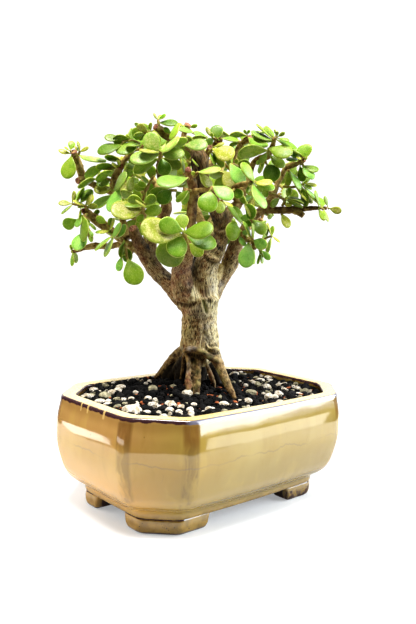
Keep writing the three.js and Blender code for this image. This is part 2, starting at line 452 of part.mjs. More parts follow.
// Leafy shoots. stems: [x, y, z, radius] along each twig.
// leaves: foot x, y, z, tip x, y, z, upper face's normal x, y, z, width, roundness.
const SHOOTS = {
  shoot_left_high: {
    stems: [
      [[-59.8, 60, 214, 0.92], [-59.9, 58, 215.6, 0.82]],
      [[-59.9, 58, 215.6, 0.82], [-60.2, 56.9, 216.7, 0.75]],
      [[-63.8, 62.5, 217.9, 0.75], [-63.9, 62.9, 216.5, 0.85], [-62.8, 62.8, 213.8, 0.75], [-61.4, 59, 214.9, 0.75], [-60.3, 57.8, 215.1, 0.75], [-59.9, 58, 215.6, 0.82]],
    ],
    leaves: [
      [-63.5, 62.4, 217.8, -61.1, 64.4, 223.7, -0.35, -0.83, 0.43, 4.8, 0],
      [-62.8, 63.3, 215.7, -69.6, 66.7, 217.5, -0.25, -0.81, 0.53, 3.9, 0],
      [-63.9, 62.8, 217.4, -67.4, 63.2, 219.3, 0.17, -0.84, 0.52, 2.1, 0],
      [-62.4, 63, 214.2, -66.6, 62.1, 199.6, -0.72, -0.65, 0.24, 10, 0],
      [-60.1, 56.8, 216.7, -62.3, 56.1, 222.7, 0.44, -0.9, 0.06, 3.2, 0],
      [-60.4, 57.2, 216.7, -64, 56.4, 219.3, 0.35, -0.91, 0.2, 2.3, 0],
      [-60.1, 57, 216.5, -56.8, 51.5, 219.2, -0.85, -0.28, 0.44, 3.5, 0],
      [-59.7, 58.9, 214.7, -53, 39.4, 209.6, -0.08, -0.28, 0.96, 14, 0],
    ],
  },
  shoot_left_top: {
    stems: [
      [[-34.6, 29.9, 222.6, 0.75], [-38.7, 31.3, 223.8, 0.75], [-42.3, 33.2, 223.1, 0.75], [-44.3, 33.6, 221.4, 0.75]],
    ],
    leaves: [
      [-44.3, 34.4, 224.5, -53.2, 39.6, 224.6, -0.37, -0.66, 0.66, 6.8, 0],
      [-39, 31.5, 224.1, -49.3, 36.6, 223.4, 0.3, 0.69, 0.66, 7.6, 0],
      [-44.2, 33.5, 220.5, -58.6, 38.1, 214, -0.48, -0.45, 0.75, 10.8, 0],
      [-34.6, 29.7, 223.1, -49.4, 30.8, 214.8, -0.45, -0.52, 0.73, 11.2, 0],
      [-38.9, 31.4, 224, -42.2, 32.1, 226.8, 0.42, 0.86, 0.28, 2.3, 0],
      [-34.2, 29.9, 221.8, -45.5, 23.8, 218.9, -0.18, -0.14, 0.97, 8.7, 0],
    ],
  },
  shoot_left_stub: {
    stems: [
      [[-39.5, 38, 210.7, 0.75], [-40.6, 39.3, 211.5, 0.85], [-40.3, 41.2, 211.9, 0.75], [-41.2, 41.6, 212, 0.75]],
      [[-53.4, 40.2, 205.5, 0.75], [-52, 39, 205.2, 0.75], [-48.8, 36.3, 206.2, 0.75], [-46.5, 36.8, 207.4, 0.87], [-45.5, 37.3, 207.3, 0.9], [-45.6, 37.9, 208.1, 0.85], [-41.5, 37.7, 210.1, 0.85], [-41, 37.2, 209.4, 0.75], [-39.9, 36.9, 210.4, 0.75], [-39.5, 38, 210.7, 0.75]],
      [[-39.5, 38, 210.7, 0.75], [-37.8, 38, 209.9, 0.85], [-36.4, 39.2, 209.7, 0.75], [-35.3, 41.4, 212.3, 0.75]],
    ],
    leaves: [
      [-39.1, 40.8, 212.2, -47.8, 47.7, 214.2, 0.39, 0.23, 0.89, 7.4, 0],
      [-41.5, 41.8, 211.7, -47, 46.9, 212.9, -0.28, -0.49, 0.83, 3.8, 0],
      [-39.3, 41.1, 212.5, -40.7, 49.4, 215.5, -0.05, -0.35, 0.94, 5.9, 0],
      [-35.3, 41.4, 212.3, -38.3, 43.7, 215, -0.41, -0.87, 0.28, 2.3, 0],
      [-36.2, 39.4, 211.1, -38.5, 29.5, 205.6, -0.18, -0.45, 0.88, 7.6, 0],
      [-36.7, 39.8, 210.2, -44.9, 29.7, 203.2, -0.82, 0.53, 0.2, 9.7, 0],
      [-47.1, 36.9, 207.7, -59, 39.4, 206.5, 0.01, 0.48, 0.88, 8.1, 0],
      [-44.5, 36.9, 208, -51.3, 33.6, 208.1, 0.38, -0.78, 0.5, 3.8, 0],
      [-44.7, 36.8, 208.1, -47.8, 31.5, 210.8, 0.74, -0.1, 0.67, 3.4, 0],
      [-53.7, 39.7, 205.8, -58.6, 53.1, 201.9, -0.86, -0.18, 0.48, 9.7, 0],
      [-49.2, 35.7, 204.8, -60.1, 38.1, 198.3, -0.24, 0.71, 0.66, 8.6, 0],
    ],
  },
  shoot_left_mid: {
    stems: [
      [[-43.2, 44.6, 193.4, 1.07], [-46.4, 40.2, 193.2, 0.86]],
      [[-46.4, 40.2, 193.2, 0.86], [-46.6, 38.3, 191.2, 0.93]],
      [[-44, 42.1, 191.4, 1.02], [-46.6, 38.3, 191.2, 0.93]],
      [[-48.7, 29.5, 193.7, 0.75], [-48.3, 33.1, 191.8, 0.75], [-46.6, 38.3, 191.2, 0.93]],
      [[-54.5, 45.2, 199.9, 0.75], [-52.2, 41.9, 200.2, 0.75], [-49.1, 37.8, 199.1, 0.75], [-48, 38.2, 195.5, 0.75], [-46.4, 40.2, 193.2, 0.86]],
    ],
    leaves: [
      [-48.4, 38.8, 199.4, -56.4, 42.4, 195.7, -0.54, -0.69, 0.49, 6.3, 0],
      [-46.9, 39.7, 193.8, -57, 44.6, 192.4, -0.43, -0.73, 0.53, 7.5, 0],
      [-55.6, 44.5, 199.6, -69.5, 42, 193.8, -0.41, 0.48, 0.78, 10, 0],
      [-51.3, 41, 200, -47.5, 57.7, 205.6, 0.66, -0.37, 0.65, 11.9, 0],
      [-47.8, 36.5, 192.4, -49, 21.2, 201.4, -0.93, 0.24, 0.29, 11.8, 0],
      [-45, 42.6, 190.7, -55.1, 48.5, 181.7, -0.72, -0.28, 0.63, 9.8, 0],
      [-48.5, 29.3, 194.3, -54.8, 30.3, 179.1, -0.88, -0.33, 0.35, 10.9, 0],
      [-47, 36.7, 191.2, -37.3, 41.5, 184.6, 0.51, 0.15, 0.85, 8.4, 0],
    ],
  },
  shoot_left_low: {
    stems: [
      [[-66.5, 47.6, 174.1, 0.75], [-63.1, 44.7, 175.5, 0.92]],
      [[-60.3, 47.9, 181.5, 1.17], [-61.3, 47.2, 182.4, 1.05]],
      [[-68.2, 51.9, 183.8, 0.75], [-64.3, 48.5, 183, 0.86], [-61.3, 47.2, 182.4, 1.05]],
      [[-61.3, 47.2, 182.4, 1.05], [-61.8, 44.7, 179.2, 0.86], [-62.4, 45.5, 176.5, 0.97], [-63.1, 44.7, 175.5, 0.92]],
      [[-61.7, 43.4, 167.2, 0.81], [-62.7, 43.1, 171.5, 0.86], [-63.1, 44.7, 175.5, 0.92]],
    ],
    leaves: [
      [-66.2, 50.2, 184.2, -59.9, 50.8, 194, -0.64, 0.67, 0.37, 7.7, 0],
      [-65.6, 49.6, 184.3, -61.9, 54.4, 191.7, -0.92, 0.17, 0.35, 6.3, 0],
      [-64.1, 48.4, 184.3, -56.3, 48.1, 193.1, -0.67, -0.46, 0.58, 7.7, 0],
      [-68, 51.7, 184.2, -67.9, 49, 191.5, -0.97, -0.22, -0.08, 3.9, 0],
      [-68.3, 52, 183.7, -75.5, 55.6, 183.6, -0.32, -0.61, 0.73, 5.3, 0],
      [-67.8, 51.6, 183.2, -74, 54.3, 177, -0.67, 0.13, 0.73, 6.1, 0],
      [-61.4, 47.2, 183, -60.2, 39.4, 188.2, -0.98, -0.02, 0.22, 6.2, 0],
      [-61.5, 47.2, 183.1, -70.4, 45.8, 184.7, 0.22, -0.46, 0.86, 6.1, 0],
      [-60.7, 47.4, 182.1, -55.2, 42.9, 182.8, -0.63, -0.77, -0.07, 4.1, 0],
      [-61.9, 47.5, 182.1, -67.8, 44.7, 181.2, 0.03, -0.37, 0.93, 3.3, 0],
      [-64.6, 46.1, 176.6, -68.4, 45.5, 169.2, -0.85, -0.26, 0.46, 5.5, 0],
      [-63.8, 48.4, 180.9, -66, 46.3, 172.8, -0.73, 0.69, 0.01, 5.7, 0],
      [-66.5, 47.6, 174.1, -71.4, 57.2, 170.1, -0.82, -0.52, -0.24, 7.8, 0],
      [-64.1, 45.7, 176.4, -68.3, 36, 161.3, -0.97, 0.15, 0.17, 12.2, 0],
      [-62.5, 44, 167.2, -70.4, 43, 155.2, -0.64, -0.6, 0.47, 9.6, 0],
      [-62, 42.9, 170.3, -58.2, 44.9, 160.4, 0.94, -0.1, 0.34, 7.1, 0],
      [-61.3, 42.9, 167.9, -60.5, 39.5, 163.9, -0.49, -0.71, 0.5, 2.7, 0],
      [-62.4, 43.8, 174.8, -58, 47.9, 170.2, 0.53, -0.82, -0.22, 3.8, 0],
      [-62, 42.7, 172.4, -55.3, 43.8, 168.5, 0.41, -0.77, 0.5, 3.9, 0],
    ],
  },
  shoot_left_tip_low: {
    stems: [
      [[-59.6, 65.4, 153.5, 0.8], [-60.6, 64.8, 154.9, 0.8]],
    ],
    leaves: [
      [-59.5, 65.6, 154.2, -62.5, 63.7, 158.5, 0.41, -0.91, -0.11, 2.8, 0],
      [-59, 65.8, 153.8, -60.5, 63.6, 144.6, -0.98, 0.15, 0.12, 6.3, 0],
      [-58.9, 66.8, 153.7, -52.5, 70.9, 147.6, 0.55, -0.83, 0.01, 6.5, 0],
    ],
  },
  shoot_left_inner: {
    stems: [
      [[-48, 39.5, 166.9, 1], [-48.4, 39.5, 167.9, 0.95]],
      [[-48.4, 39.5, 167.9, 0.95], [-48.2, 36.5, 166.3, 0.81], [-45.6, 34.1, 164.4, 0.95]],
      [[-52.5, 51.4, 178.9, 0.75], [-50.4, 45.7, 176.2, 0.85], [-49.4, 40.7, 172.3, 0.75], [-49.3, 39.3, 170.4, 0.81], [-48.4, 39.5, 167.9, 0.95]],
      [[-44.1, 34.7, 163.8, 1], [-45.6, 34.1, 164.4, 0.95]],
      [[-51.7, 32.1, 164.6, 0.75], [-45.6, 34.1, 164.4, 0.95]],
    ],
    leaves: [
      [-52.9, 51.8, 178.6, -50.8, 47.3, 180.3, 0.84, 0.48, 0.23, 3, 0],
      [-49.5, 41.1, 172.5, -56.1, 42.9, 176.2, 0.34, 0.93, 0.15, 4.9, 0],
      [-49.3, 39.5, 170.8, -48.6, 36.3, 175.8, 0.63, 0.68, 0.36, 4, 0],
      [-48.3, 39.3, 168.2, -56, 39.4, 166.1, -0.25, -0.34, 0.9, 4, 0],
      [-50.1, 40.9, 167.4, -55.8, 44.3, 166.5, -0.39, -0.46, 0.8, 3.4, 0],
      [-48.5, 39.3, 168.6, -50.7, 30.6, 174.6, -0.89, 0.39, 0.24, 7.1, 0],
      [-51.7, 32.1, 164.5, -60.4, 37.1, 155.2, -0.65, 0.2, 0.73, 9, 0],
      [-49.7, 32.8, 164.3, -56.1, 33, 151.7, -0.87, 0.21, 0.44, 9.3, 0],
      [-51.6, 32.1, 163.4, -50.7, 23.3, 172.3, -0.94, 0.19, 0.28, 8.3, 0],
      [-45.4, 34.5, 163.8, -44.9, 26.1, 171.2, -0.98, 0.12, 0.19, 7.4, 0],
      [-47.5, 33.5, 164.5, -43.3, 33.8, 169.2, -0.3, -0.89, 0.33, 5, 0.3],
      [-44.1, 34.1, 163.2, -48.7, 40.8, 166.1, 0.5, -0.04, 0.86, 5.7, 0],
    ],
  },
  shoot_left_drop: {
    stems: [
      [[-37.2, 35.1, 158.5, 1.18], [-42.3, 30.5, 159.6, 1.06]],
      [[-46.9, 21.3, 150.5, 0.75], [-45.8, 23.9, 153.1, 0.87]],
      [[-43.3, 31.3, 162, 0.75], [-42.3, 30.5, 159.6, 1.06]],
      [[-48.2, 25.7, 152.2, 0.75], [-45.8, 23.9, 153.1, 0.87]],
      [[-42.3, 30.5, 159.6, 1.06], [-45, 26.2, 156.3, 0.92], [-45.8, 23.9, 153.1, 0.87]],
    ],
    leaves: [
      [-43.3, 31.3, 162, -46, 29.8, 151.1, 0.2, -0.98, 0.09, 7.5, 0],
      [-43.4, 28.5, 158.1, -44.9, 21.8, 149.3, -0.89, -0.27, 0.35, 7.4, 0],
      [-48.2, 25.7, 152.2, -50.9, 25.4, 143.2, -0.94, -0.18, 0.28, 6.2, 0],
      [-46.7, 21.1, 150.5, -44.1, 13.4, 135.7, -0.63, -0.73, 0.26, 12.5, 0.1],
    ],
  },
  shoot_left_big: {
    stems: [
      [[-36.1, 32, 202.3, 0.75], [-36.4, 31.7, 202.1, 0.75], [-28.8, 26.4, 197, 0.8]],
      [[-28.8, 26.4, 197, 0.8], [-29.1, 24.3, 198.8, 0.78]],
      [[-28.8, 26.4, 197, 0.8], [-28.5, 29, 194.8, 0.82], [-27.5, 33.4, 188.8, 0.79], [-26.9, 35.6, 180.6, 0.83], [-27.9, 33.2, 179.9, 0.89], [-28.8, 29.3, 177.9, 1.26], [-41.4, 13.7, 182.4, 0.96], [-43.2, 10, 184.3, 0.77]],
    ],
    leaves: [
      [-39.5, 17.3, 181.4, -61.2, 17.6, 177.2, -0.13, -0.76, 0.64, 14.6, 0],
      [-35.4, 21.9, 179.9, -29.3, 11.2, 181.3, -0.84, -0.44, 0.33, 8.1, 0],
      [-41.8, 11, 183.3, -39.4, 4.9, 189.2, 0.73, 0.6, 0.32, 6, 0],
      [-41.3, 11.5, 182.8, -51.1, 6.8, 184.7, 0.37, -0.45, 0.82, 7.3, 0],
      [-43.8, 10.6, 185.1, -52.6, 14.2, 186.6, 0.41, 0.81, 0.42, 6.3, 0],
      [-32.9, 24.7, 179.2, -37.2, 25.8, 173.7, -0.44, -0.88, 0.17, 4.7, 0],
      [-41.9, 13.8, 182.7, -51.6, 22.6, 184.5, -0.24, -0.44, 0.86, 8.7, 0],
      [-27.8, 34.3, 187.2, -30, 40.2, 194.5, 0.95, 0.32, 0.02, 6.4, 0],
      [-28.7, 29.6, 194.5, -36, 32, 196.2, 0.34, 0.93, 0.14, 5, 0],
      [-28.7, 28.3, 195.6, -33.2, 30.9, 198.7, -0.55, -0.83, -0.1, 4.1, 0],
      [-36.1, 32, 202.3, -42.3, 29.5, 192.7, 0.35, -0.94, 0.01, 7.7, 0],
      [-29.1, 24.3, 198.8, -29.6, 32.7, 201.9, 0.78, -0.18, 0.6, 5.9, 0],
    ],
  },
  shoot_mid_shade: {
    stems: [
      [[-20.4, 8.6, 193.5, 0.8], [-20.4, 14, 193.9, 0.93], [-18, 19.8, 193, 1.07], [-14.3, 27.2, 190.7, 1.22]],
    ],
    leaves: [
      [-20.4, 13.2, 194.2, -29.3, 15.7, 185.9, -0.4, -0.9, 0.15, 8.8, 0],
      [-20.5, 17, 195.1, -31.2, 22.5, 188.1, 0.23, 0.91, 0.35, 9.2, 0],
      [-20.4, 8.7, 193.2, -14.5, 10.2, 188.6, 0.21, 0.82, 0.54, 5.5, 0],
      [-19.7, 15.9, 193.6, -20.2, 19.1, 186, 0.63, 0.73, 0.25, 5.6, 0],
    ],
  },
  shoot_center_left: {
    stems: [
      [[-29, -12.4, 199, 0.84], [-28.7, -12.1, 199, 0.86], [-28.3, -11.1, 195.9, 0.82], [-26.3, -10.4, 192.5, 0.82], [-23.4, -8.7, 192.7, 0.89]],
    ],
    leaves: [
      [-25.4, -9.8, 192.9, -32.1, -6.6, 185.2, -0.77, -0.11, 0.62, 7.1, 0],
      [-25.4, -10, 191.8, -24.8, -4.5, 184.2, -0.14, 0.81, 0.57, 6.2, 0],
      [-29.1, -12.6, 199.2, -47.8, -8.2, 194.2, -0.34, -0.49, 0.8, 13.1, 0],
    ],
  },
  shoot_upper_left: {
    stems: [
      [[-31.4, 13.3, 211.8, 0.75], [-31.8, 10.9, 213.1, 1.12], [-35.4, 5.8, 215.3, 0.95]],
    ],
    leaves: [
      [-35.6, 6, 215.8, -40.8, 13.2, 225.7, -0.74, -0.66, 0.09, 10.7, 0.3],
      [-35.1, 6.7, 215.1, -47.9, 10, 214.7, -0.11, -0.33, 0.94, 8.7, 0],
      [-33.6, 8.7, 214.2, -51.3, 13.6, 208.5, -0.39, -0.56, 0.73, 12.7, 0],
      [-31, 13.3, 212.1, -43.5, 21.6, 203.2, 0.01, 0.74, 0.68, 11.5, 0],
      [-35.5, 5.9, 215.5, -35.5, -11.4, 220.4, -0.78, 0.17, 0.6, 11.8, 0],
      [-34.8, 6.2, 215.1, -22.6, -3.4, 223.6, -0.14, 0.55, 0.82, 11.7, 0],
      [-33, 7.9, 214.2, -27.3, -6.4, 213, -0.69, -0.33, 0.64, 10.2, 0],
      [-30.2, 11.6, 212.4, -30.4, 6.4, 201.4, -0.67, -0.67, 0.32, 8.8, 0],
      [-30, 11.4, 212.4, -17.7, 8.5, 207.2, 0.44, 0.51, 0.74, 9, 0],
    ],
  },
  shoot_top_left: {
    stems: [
      [[-33, 15.7, 228.7, 0.79], [-33.1, 16.3, 228.6, 0.79]],
      [[-35.5, 23.2, 228, 0.75], [-33.1, 18.4, 228.2, 0.79], [-33.1, 16.3, 228.6, 0.79]],
      [[-33.1, 16.3, 228.6, 0.79], [-34.3, 12.8, 229.5, 0.75], [-32.6, 12.2, 231.5, 0.75], [-30.6, 14.9, 233.9, 0.91], [-30.8, 15.1, 235.5, 0.75]],
    ],
    leaves: [
      [-34.1, 20.6, 228.7, -41.6, 21.9, 231.3, -0.22, -0.96, -0.17, 5.3, 0],
      [-34.2, 20.8, 229, -37.3, 30.2, 233.5, 0.56, -0.2, 0.8, 7.1, 0],
      [-34, 17.7, 228.6, -37.2, 14.2, 232.8, -0.22, 0.82, 0.53, 3.2, 0],
      [-35.8, 23.5, 228.4, -39.3, 30.1, 227.1, -0.83, -0.49, -0.25, 7.7, 1],
      [-35.3, 23, 227.2, -43.3, 22, 226, -0.19, 0.46, 0.87, 5.4, 0],
      [-33, 18.4, 227.9, -33.1, 9.1, 222.9, 0.82, -0.27, 0.5, 6.9, 0],
      [-34.5, 21.5, 227.9, -35.6, 27.7, 224, 0.62, 0.48, 0.61, 3.7, 0],
      [-30.9, 15.2, 235.3, -34.2, 15.4, 238.9, 0.14, -0.97, 0.18, 2.4, 0],
      [-30.6, 14.9, 235.4, -28.4, 10.3, 238.5, -0.91, -0.23, 0.34, 3, 0],
      [-30.8, 15.1, 235.7, -27.6, 16.3, 239, -0.57, -0.42, 0.7, 2.4, 0],
      [-30.6, 14.6, 233.6, -22.6, 5.9, 233.3, -0.46, -0.45, 0.77, 7.8, 0],
    ],
  },
  shoot_top_b: {
    stems: [
      [[-19, 4.7, 232.4, 0.75], [-22.2, 7.5, 232.4, 0.75], [-22.4, 7.7, 229.1, 0.75], [-23, 10.5, 226.3, 0.75]],
    ],
    leaves: [
      [-23.2, 6.7, 233, -31.5, -2, 223.5, -0.82, 0.21, 0.52, 10.1, 0],
      [-23.6, 10.8, 227.3, -29, 12, 230.7, -0.32, -0.93, -0.19, 3.2, 0],
      [-19, 4.7, 232.4, -21.3, 9.7, 233.4, -0.84, -0.45, 0.31, 2.8, 0],
    ],
  },
  shoot_top_mid: {
    stems: [
      [[-5.5, 15, 232.5, 0.86], [-6.2, 12.1, 230.8, 0.75], [-5.1, 5.8, 228.4, 0.75], [-2.4, 2.1, 227.1, 0.75]],
    ],
    leaves: [
      [-4.9, 16.3, 234.5, -1.5, 12.5, 235.9, -0.69, -0.69, -0.19, 2.7, 0],
      [-6, 11, 230.5, -18.8, 12.9, 232, 0, -0.61, 0.79, 8.6, 0],
      [-2.4, 2.2, 227.7, -10.8, 5.5, 229.4, -0.13, -0.68, 0.73, 6.1, 0],
      [-1.9, 1.7, 226.5, -11.8, 5, 226.3, 0.05, 0.21, 0.98, 6.9, 0],
    ],
  },
  shoot_mid_pale: {
    stems: [
      [[-13.5, 2.2, 212.3, 0.75], [-14.4, 3.4, 218.1, 0.92], [-18.9, 3.3, 219.7, 0.91]],
    ],
    leaves: [
      [-18.9, 3.6, 220.5, -12.1, -9.9, 219.5, -0.7, -0.4, 0.6, 10, 0],
      [-17.3, 3.5, 218.6, -20.8, 5.3, 220, 0.52, 0.83, 0.19, 2.1, 0],
      [-13.5, 2.2, 212.3, -16.9, -5.9, 208.7, 0.49, -0.52, 0.7, 6.3, 0],
    ],
  },
  shoot_top_right: {
    stems: [
      [[4.2, -5.5, 227, 0.75], [2.8, -5.7, 227, 0.85], [0.4, -3.6, 226.1, 0.85], [0.7, -2.2, 225.5, 0.87], [-1.3, -2.8, 226.6, 0.75]],
    ],
    leaves: [
      [-2.3, -2, 227.1, -6.2, -1.2, 232.6, -0.12, -0.99, 0.06, 3.4, 0],
      [1.3, -3.6, 226.4, 2.4, -0.6, 235, -0.68, -0.66, 0.32, 8.2, 0.7],
      [-1.6, -2.6, 226.5, -4.6, -4, 229.2, 0.3, 0.68, 0.67, 2.2, 0],
      [-0.7, -2.6, 226, -6, -0.7, 222.9, -0.37, -0.93, 0.04, 4.7, 0.1],
      [4, -4.7, 226.6, 13.8, -9.3, 226.6, -0.22, -0.47, 0.86, 7.1, 0],
    ],
  },
  shoot_mid_yellow: {
    stems: [
      [[-8.2, -10.1, 218.3, 0.75], [-6.1, -3.9, 216.3, 1.1]],
    ],
    leaves: [
      [-8.2, -10.1, 218.3, -3.8, -24.6, 213.3, -0.84, -0.39, 0.37, 10.6, 0],
      [-7.8, -10.5, 219.4, -4.2, -16.3, 221.8, -0.74, -0.19, 0.64, 3.6, 0],
      [-6.7, -7.9, 217, -2.8, -15.3, 208.4, 0.89, -0.06, 0.45, 7.9, 0],
      [-6.6, -6.3, 216.8, -8.1, -11.6, 208.9, 0.36, -0.81, 0.47, 6.4, 0],
    ],
  },
  shoot_right_crown: {
    stems: [
      [[22.5, -6.8, 229.5, 0.76], [22.5, -7.2, 228.3, 0.85], [25.4, -7.5, 226, 0.85], [26.8, -6.9, 226.4, 0.75]],
      [[22.5, -6.8, 229.5, 0.76], [23, -7.2, 230.2, 0.76]],
      [[22.4, -2.4, 224.7, 0.9], [21, -2.5, 226.2, 0.77], [20.9, -3, 225.9, 0.76], [21.3, -6, 227.9, 0.76], [22.5, -6.8, 229.5, 0.76]],
    ],
    leaves: [
      [21, -2.5, 226.3, 18.2, 4, 224.4, 0.42, 0.42, 0.81, 3.6, 0],
      [23.4, -6.2, 230.8, 13.6, -0.8, 230.3, 0.15, 0.35, 0.92, 7.4, 0],
      [23.8, -6.3, 231.3, 20.8, -6.3, 234, 0.42, 0.77, 0.47, 2, 0],
      [23.9, -6.4, 231.4, 23.7, -8.8, 234, 0.73, 0.46, 0.51, 2, 0],
      [23.7, -7.9, 229.4, 23.3, -23.5, 222.2, -0.26, -0.4, 0.88, 11.3, 0],
      [26.3, -6.7, 227.1, 35.1, 0.2, 223.6, 0.56, -0.81, -0.18, 7.7, 0],
    ],
  },
  shoot_right_top: {
    stems: [
      [[24, -30.4, 224.9, 1.04], [22.4, -31, 225.4, 0.99]],
      [[24.2, -26.6, 216.9, 0.75], [24, -27.1, 220, 0.92], [21, -28.5, 219.9, 0.92]],
      [[21, -28.5, 219.9, 0.92], [20.5, -28.7, 219.9, 0.91]],
      [[23.8, -32.9, 227.3, 0.75], [21.9, -31.2, 225.6, 0.97], [22.4, -31, 225.4, 0.99]],
      [[22.4, -31, 225.4, 0.99], [22.2, -31.2, 225.2, 0.79], [22.9, -29.4, 221.9, 0.79], [21, -28.5, 219.9, 0.92]],
    ],
    leaves: [
      [21.6, -30.9, 225.3, 8.3, -25.9, 229.2, 0, -0.62, 0.78, 9.7, 0],
      [22.3, -30.3, 224.6, 11.9, -23.8, 226.2, -0.35, -0.71, 0.62, 8.2, 0],
      [21.6, -31, 226, 12.5, -25.6, 234.3, 0.31, -0.6, 0.74, 8.9, 0],
      [21.8, -31.2, 226.2, 19.1, -26.1, 233.6, 0.2, -0.77, 0.6, 6.2, 0],
      [22.4, -31.6, 226.8, 23, -24.2, 234.7, 0.18, -0.73, 0.66, 7.2, 0],
      [24.1, -33.1, 227.5, 25.7, -37.2, 229.9, 0.82, 0.49, 0.28, 2.6, 0],
      [23, -32.2, 228.5, 20.9, -33, 231.4, 0.07, -0.98, -0.2, 1.9, 0],
      [23.6, -32.7, 227.5, 22.3, -34.3, 230.4, 0.62, 0.54, 0.57, 1.8, 0],
      [24.1, -33.1, 226.6, 26.4, -40.5, 224.7, -0.43, -0.34, 0.83, 3.9, 0],
      [23.5, -32.6, 225.7, 34.6, -39.8, 220.8, -0.07, -0.64, 0.76, 9.3, 0],
      [20.6, -28.7, 220.7, 25.6, -43.8, 216, -0.69, -0.42, 0.59, 10.9, 0],
      [20.3, -28.5, 219.2, 2.7, -21, 216.6, 0.12, 0.56, 0.82, 12.7, 0],
      [24.2, -26.6, 216.9, 29.9, -34.3, 209.9, -0.38, -0.76, 0.52, 7.9, 0],
      [20, -28.2, 218.3, 19, -23.4, 212, 0.2, 0.79, 0.57, 5.3, 0],
    ],
  },
  shoot_right_upper: {
    stems: [
      [[43.5, -33.1, 215.4, 0.75], [44, -35.2, 217.5, 0.75], [43.6, -37.3, 215.3, 0.75], [46.6, -34.8, 212.9, 0.75], [47.7, -33.9, 212.7, 0.76], [47.5, -33.1, 213.3, 0.82]],
    ],
    leaves: [
      [44.8, -35.4, 218, 30.6, -29.6, 223.5, 0.17, -0.43, 0.89, 10.8, 0],
      [45.7, -37.8, 217.1, 45.9, -33.7, 225.1, -0.82, -0.5, 0.28, 10.2, 1],
      [44.7, -34.1, 217.2, 37.9, -36.5, 215.7, 0.05, -0.61, 0.79, 3.7, 0],
      [44.8, -33.3, 216.9, 37.9, -30.5, 220.1, -0.22, -0.91, 0.35, 5.3, 0],
      [44.4, -32.7, 215.5, 35.3, -30.5, 215.1, -0.16, -0.48, 0.86, 6.2, 0],
      [47.6, -33.8, 212.6, 52.6, -42.2, 209.2, -0.45, -0.55, 0.7, 6.8, 0],
      [47.3, -33.4, 212.2, 47.9, -41.9, 203.5, -0.29, -0.7, 0.66, 8.1, 0],
      [46.6, -31.9, 212, 48.8, -33.3, 202.6, 0.85, 0.51, 0.12, 6.4, 0],
    ],
  },
  shoot_right_long: {
    stems: [
      [[42.8, -25.6, 209.4, 0.95], [41.9, -26.8, 208.8, 0.86]],
    ],
    leaves: [
      [42.2, -26.8, 209.1, 40.5, -37, 197.2, 0.23, -0.76, 0.61, 10.4, 0],
      [41.9, -26.4, 208.8, 41.7, -27.5, 199.6, -0.99, 0.12, 0.02, 6.1, 0],
    ],
  },
  shoot_right_side: {
    stems: [
      [[48.7, -33.5, 201, 0.76], [47.1, -25.4, 199.4, 0.83], [45.9, -19, 199.9, 0.91]],
    ],
    leaves: [
      [49, -33.7, 201.3, 53.7, -40.5, 200.1, -0.32, -0.38, 0.87, 5.5, 0],
      [49, -33.7, 200.5, 49, -40.4, 197.5, -0.32, -0.39, 0.86, 3.6, 0],
      [48.9, -33.4, 199.9, 52.1, -44.7, 188.2, 0.26, -0.66, 0.71, 10.9, 0],
      [47.7, -28.6, 199, 51.7, -38.8, 188.9, 0.05, -0.69, 0.72, 9.9, 0],
      [49.4, -32.2, 202.1, 59.5, -29.7, 206, -0.38, 0.78, 0.49, 7.4, 0],
      [48.5, -34.1, 201.7, 47.1, -38.2, 202.5, -0.83, 0.36, 0.43, 2.2, 0],
      [48.5, -32.2, 199.9, 49.5, -36.9, 187, 0.94, -0.3, 0.18, 9.1, 0],
    ],
  },
  shoot_right_low_twig: {
    stems: [
      [[38.9, -24.9, 186.9, 0.89], [39, -25.4, 187.9, 0.89]],
      [[39, -25.4, 187.9, 0.89], [38, -26.2, 187.7, 0.82], [37.6, -26.6, 184.5, 0.82], [38.4, -25.5, 182.3, 0.83]],
      [[38.4, -25.5, 182.3, 0.83], [37.9, -25.9, 181.9, 0.76], [34.1, -23.6, 181.6, 0.76], [32.2, -18.7, 181.4, 0.76], [33.4, -17.6, 180.8, 0.85], [34.6, -16.4, 181.2, 0.75]],
      [[38.4, -25.5, 182.3, 0.83], [38.9, -24.9, 181.4, 0.76], [39.8, -24.3, 181.8, 0.89]],
      [[39, -25.4, 187.9, 0.89], [39.3, -26.6, 190.4, 0.89], [36.7, -25, 192.1, 0.89]],
    ],
    leaves: [
      [40, -27.1, 191.6, 45.7, -37.4, 188.6, 0.24, -0.17, 0.96, 8.2, 0],
      [40, -27.1, 190.7, 45.6, -36.6, 186, 0.47, -0.15, 0.87, 7.9, 0],
      [40.1, -27.3, 192.3, 46.8, -35.9, 189, -0.13, -0.45, 0.88, 7.7, 0],
      [36.4, -24.8, 191.5, 30.1, -23.2, 186.3, 0.11, 0.98, 0.16, 5.5, 0],
      [39.4, -25.7, 187.9, 41.4, -31.4, 187.8, -0.84, -0.3, 0.46, 3.2, 0],
      [40.4, -27.5, 192.2, 43.9, -26.6, 198.9, -0.59, -0.7, 0.4, 3.9, 0],
      [39.5, -24.3, 181.9, 40.4, -29.6, 173, -0.28, -0.84, 0.46, 7.2, 0],
      [34.4, -16.6, 181.8, 41.2, -13.6, 179.5, -0.18, 0.82, 0.54, 3.9, 0],
    ],
  },
  shoot_right_tip: {
    stems: [
      [[60, -46.1, 186.2, 0.75], [60.5, -45.2, 186.1, 0.75], [58.1, -43, 185.4, 0.76], [56.1, -43.3, 185.9, 0.75], [55.4, -42.7, 186.6, 0.75]],
    ],
    leaves: [
      [53.4, -42.7, 187.6, 44.2, -46.5, 195.3, 0.52, -0.83, 0.21, 8.3, 0],
      [56.6, -43, 186.8, 61.7, -35.8, 193.5, -0.12, -0.64, 0.76, 7.5, 0],
      [54.4, -41.9, 185.5, 56.1, -45.9, 178.2, -0.33, -0.85, 0.41, 5.6, 0],
      [57.1, -43.3, 185.9, 60.8, -45.2, 177.8, 0.33, -0.88, 0.35, 6, 0],
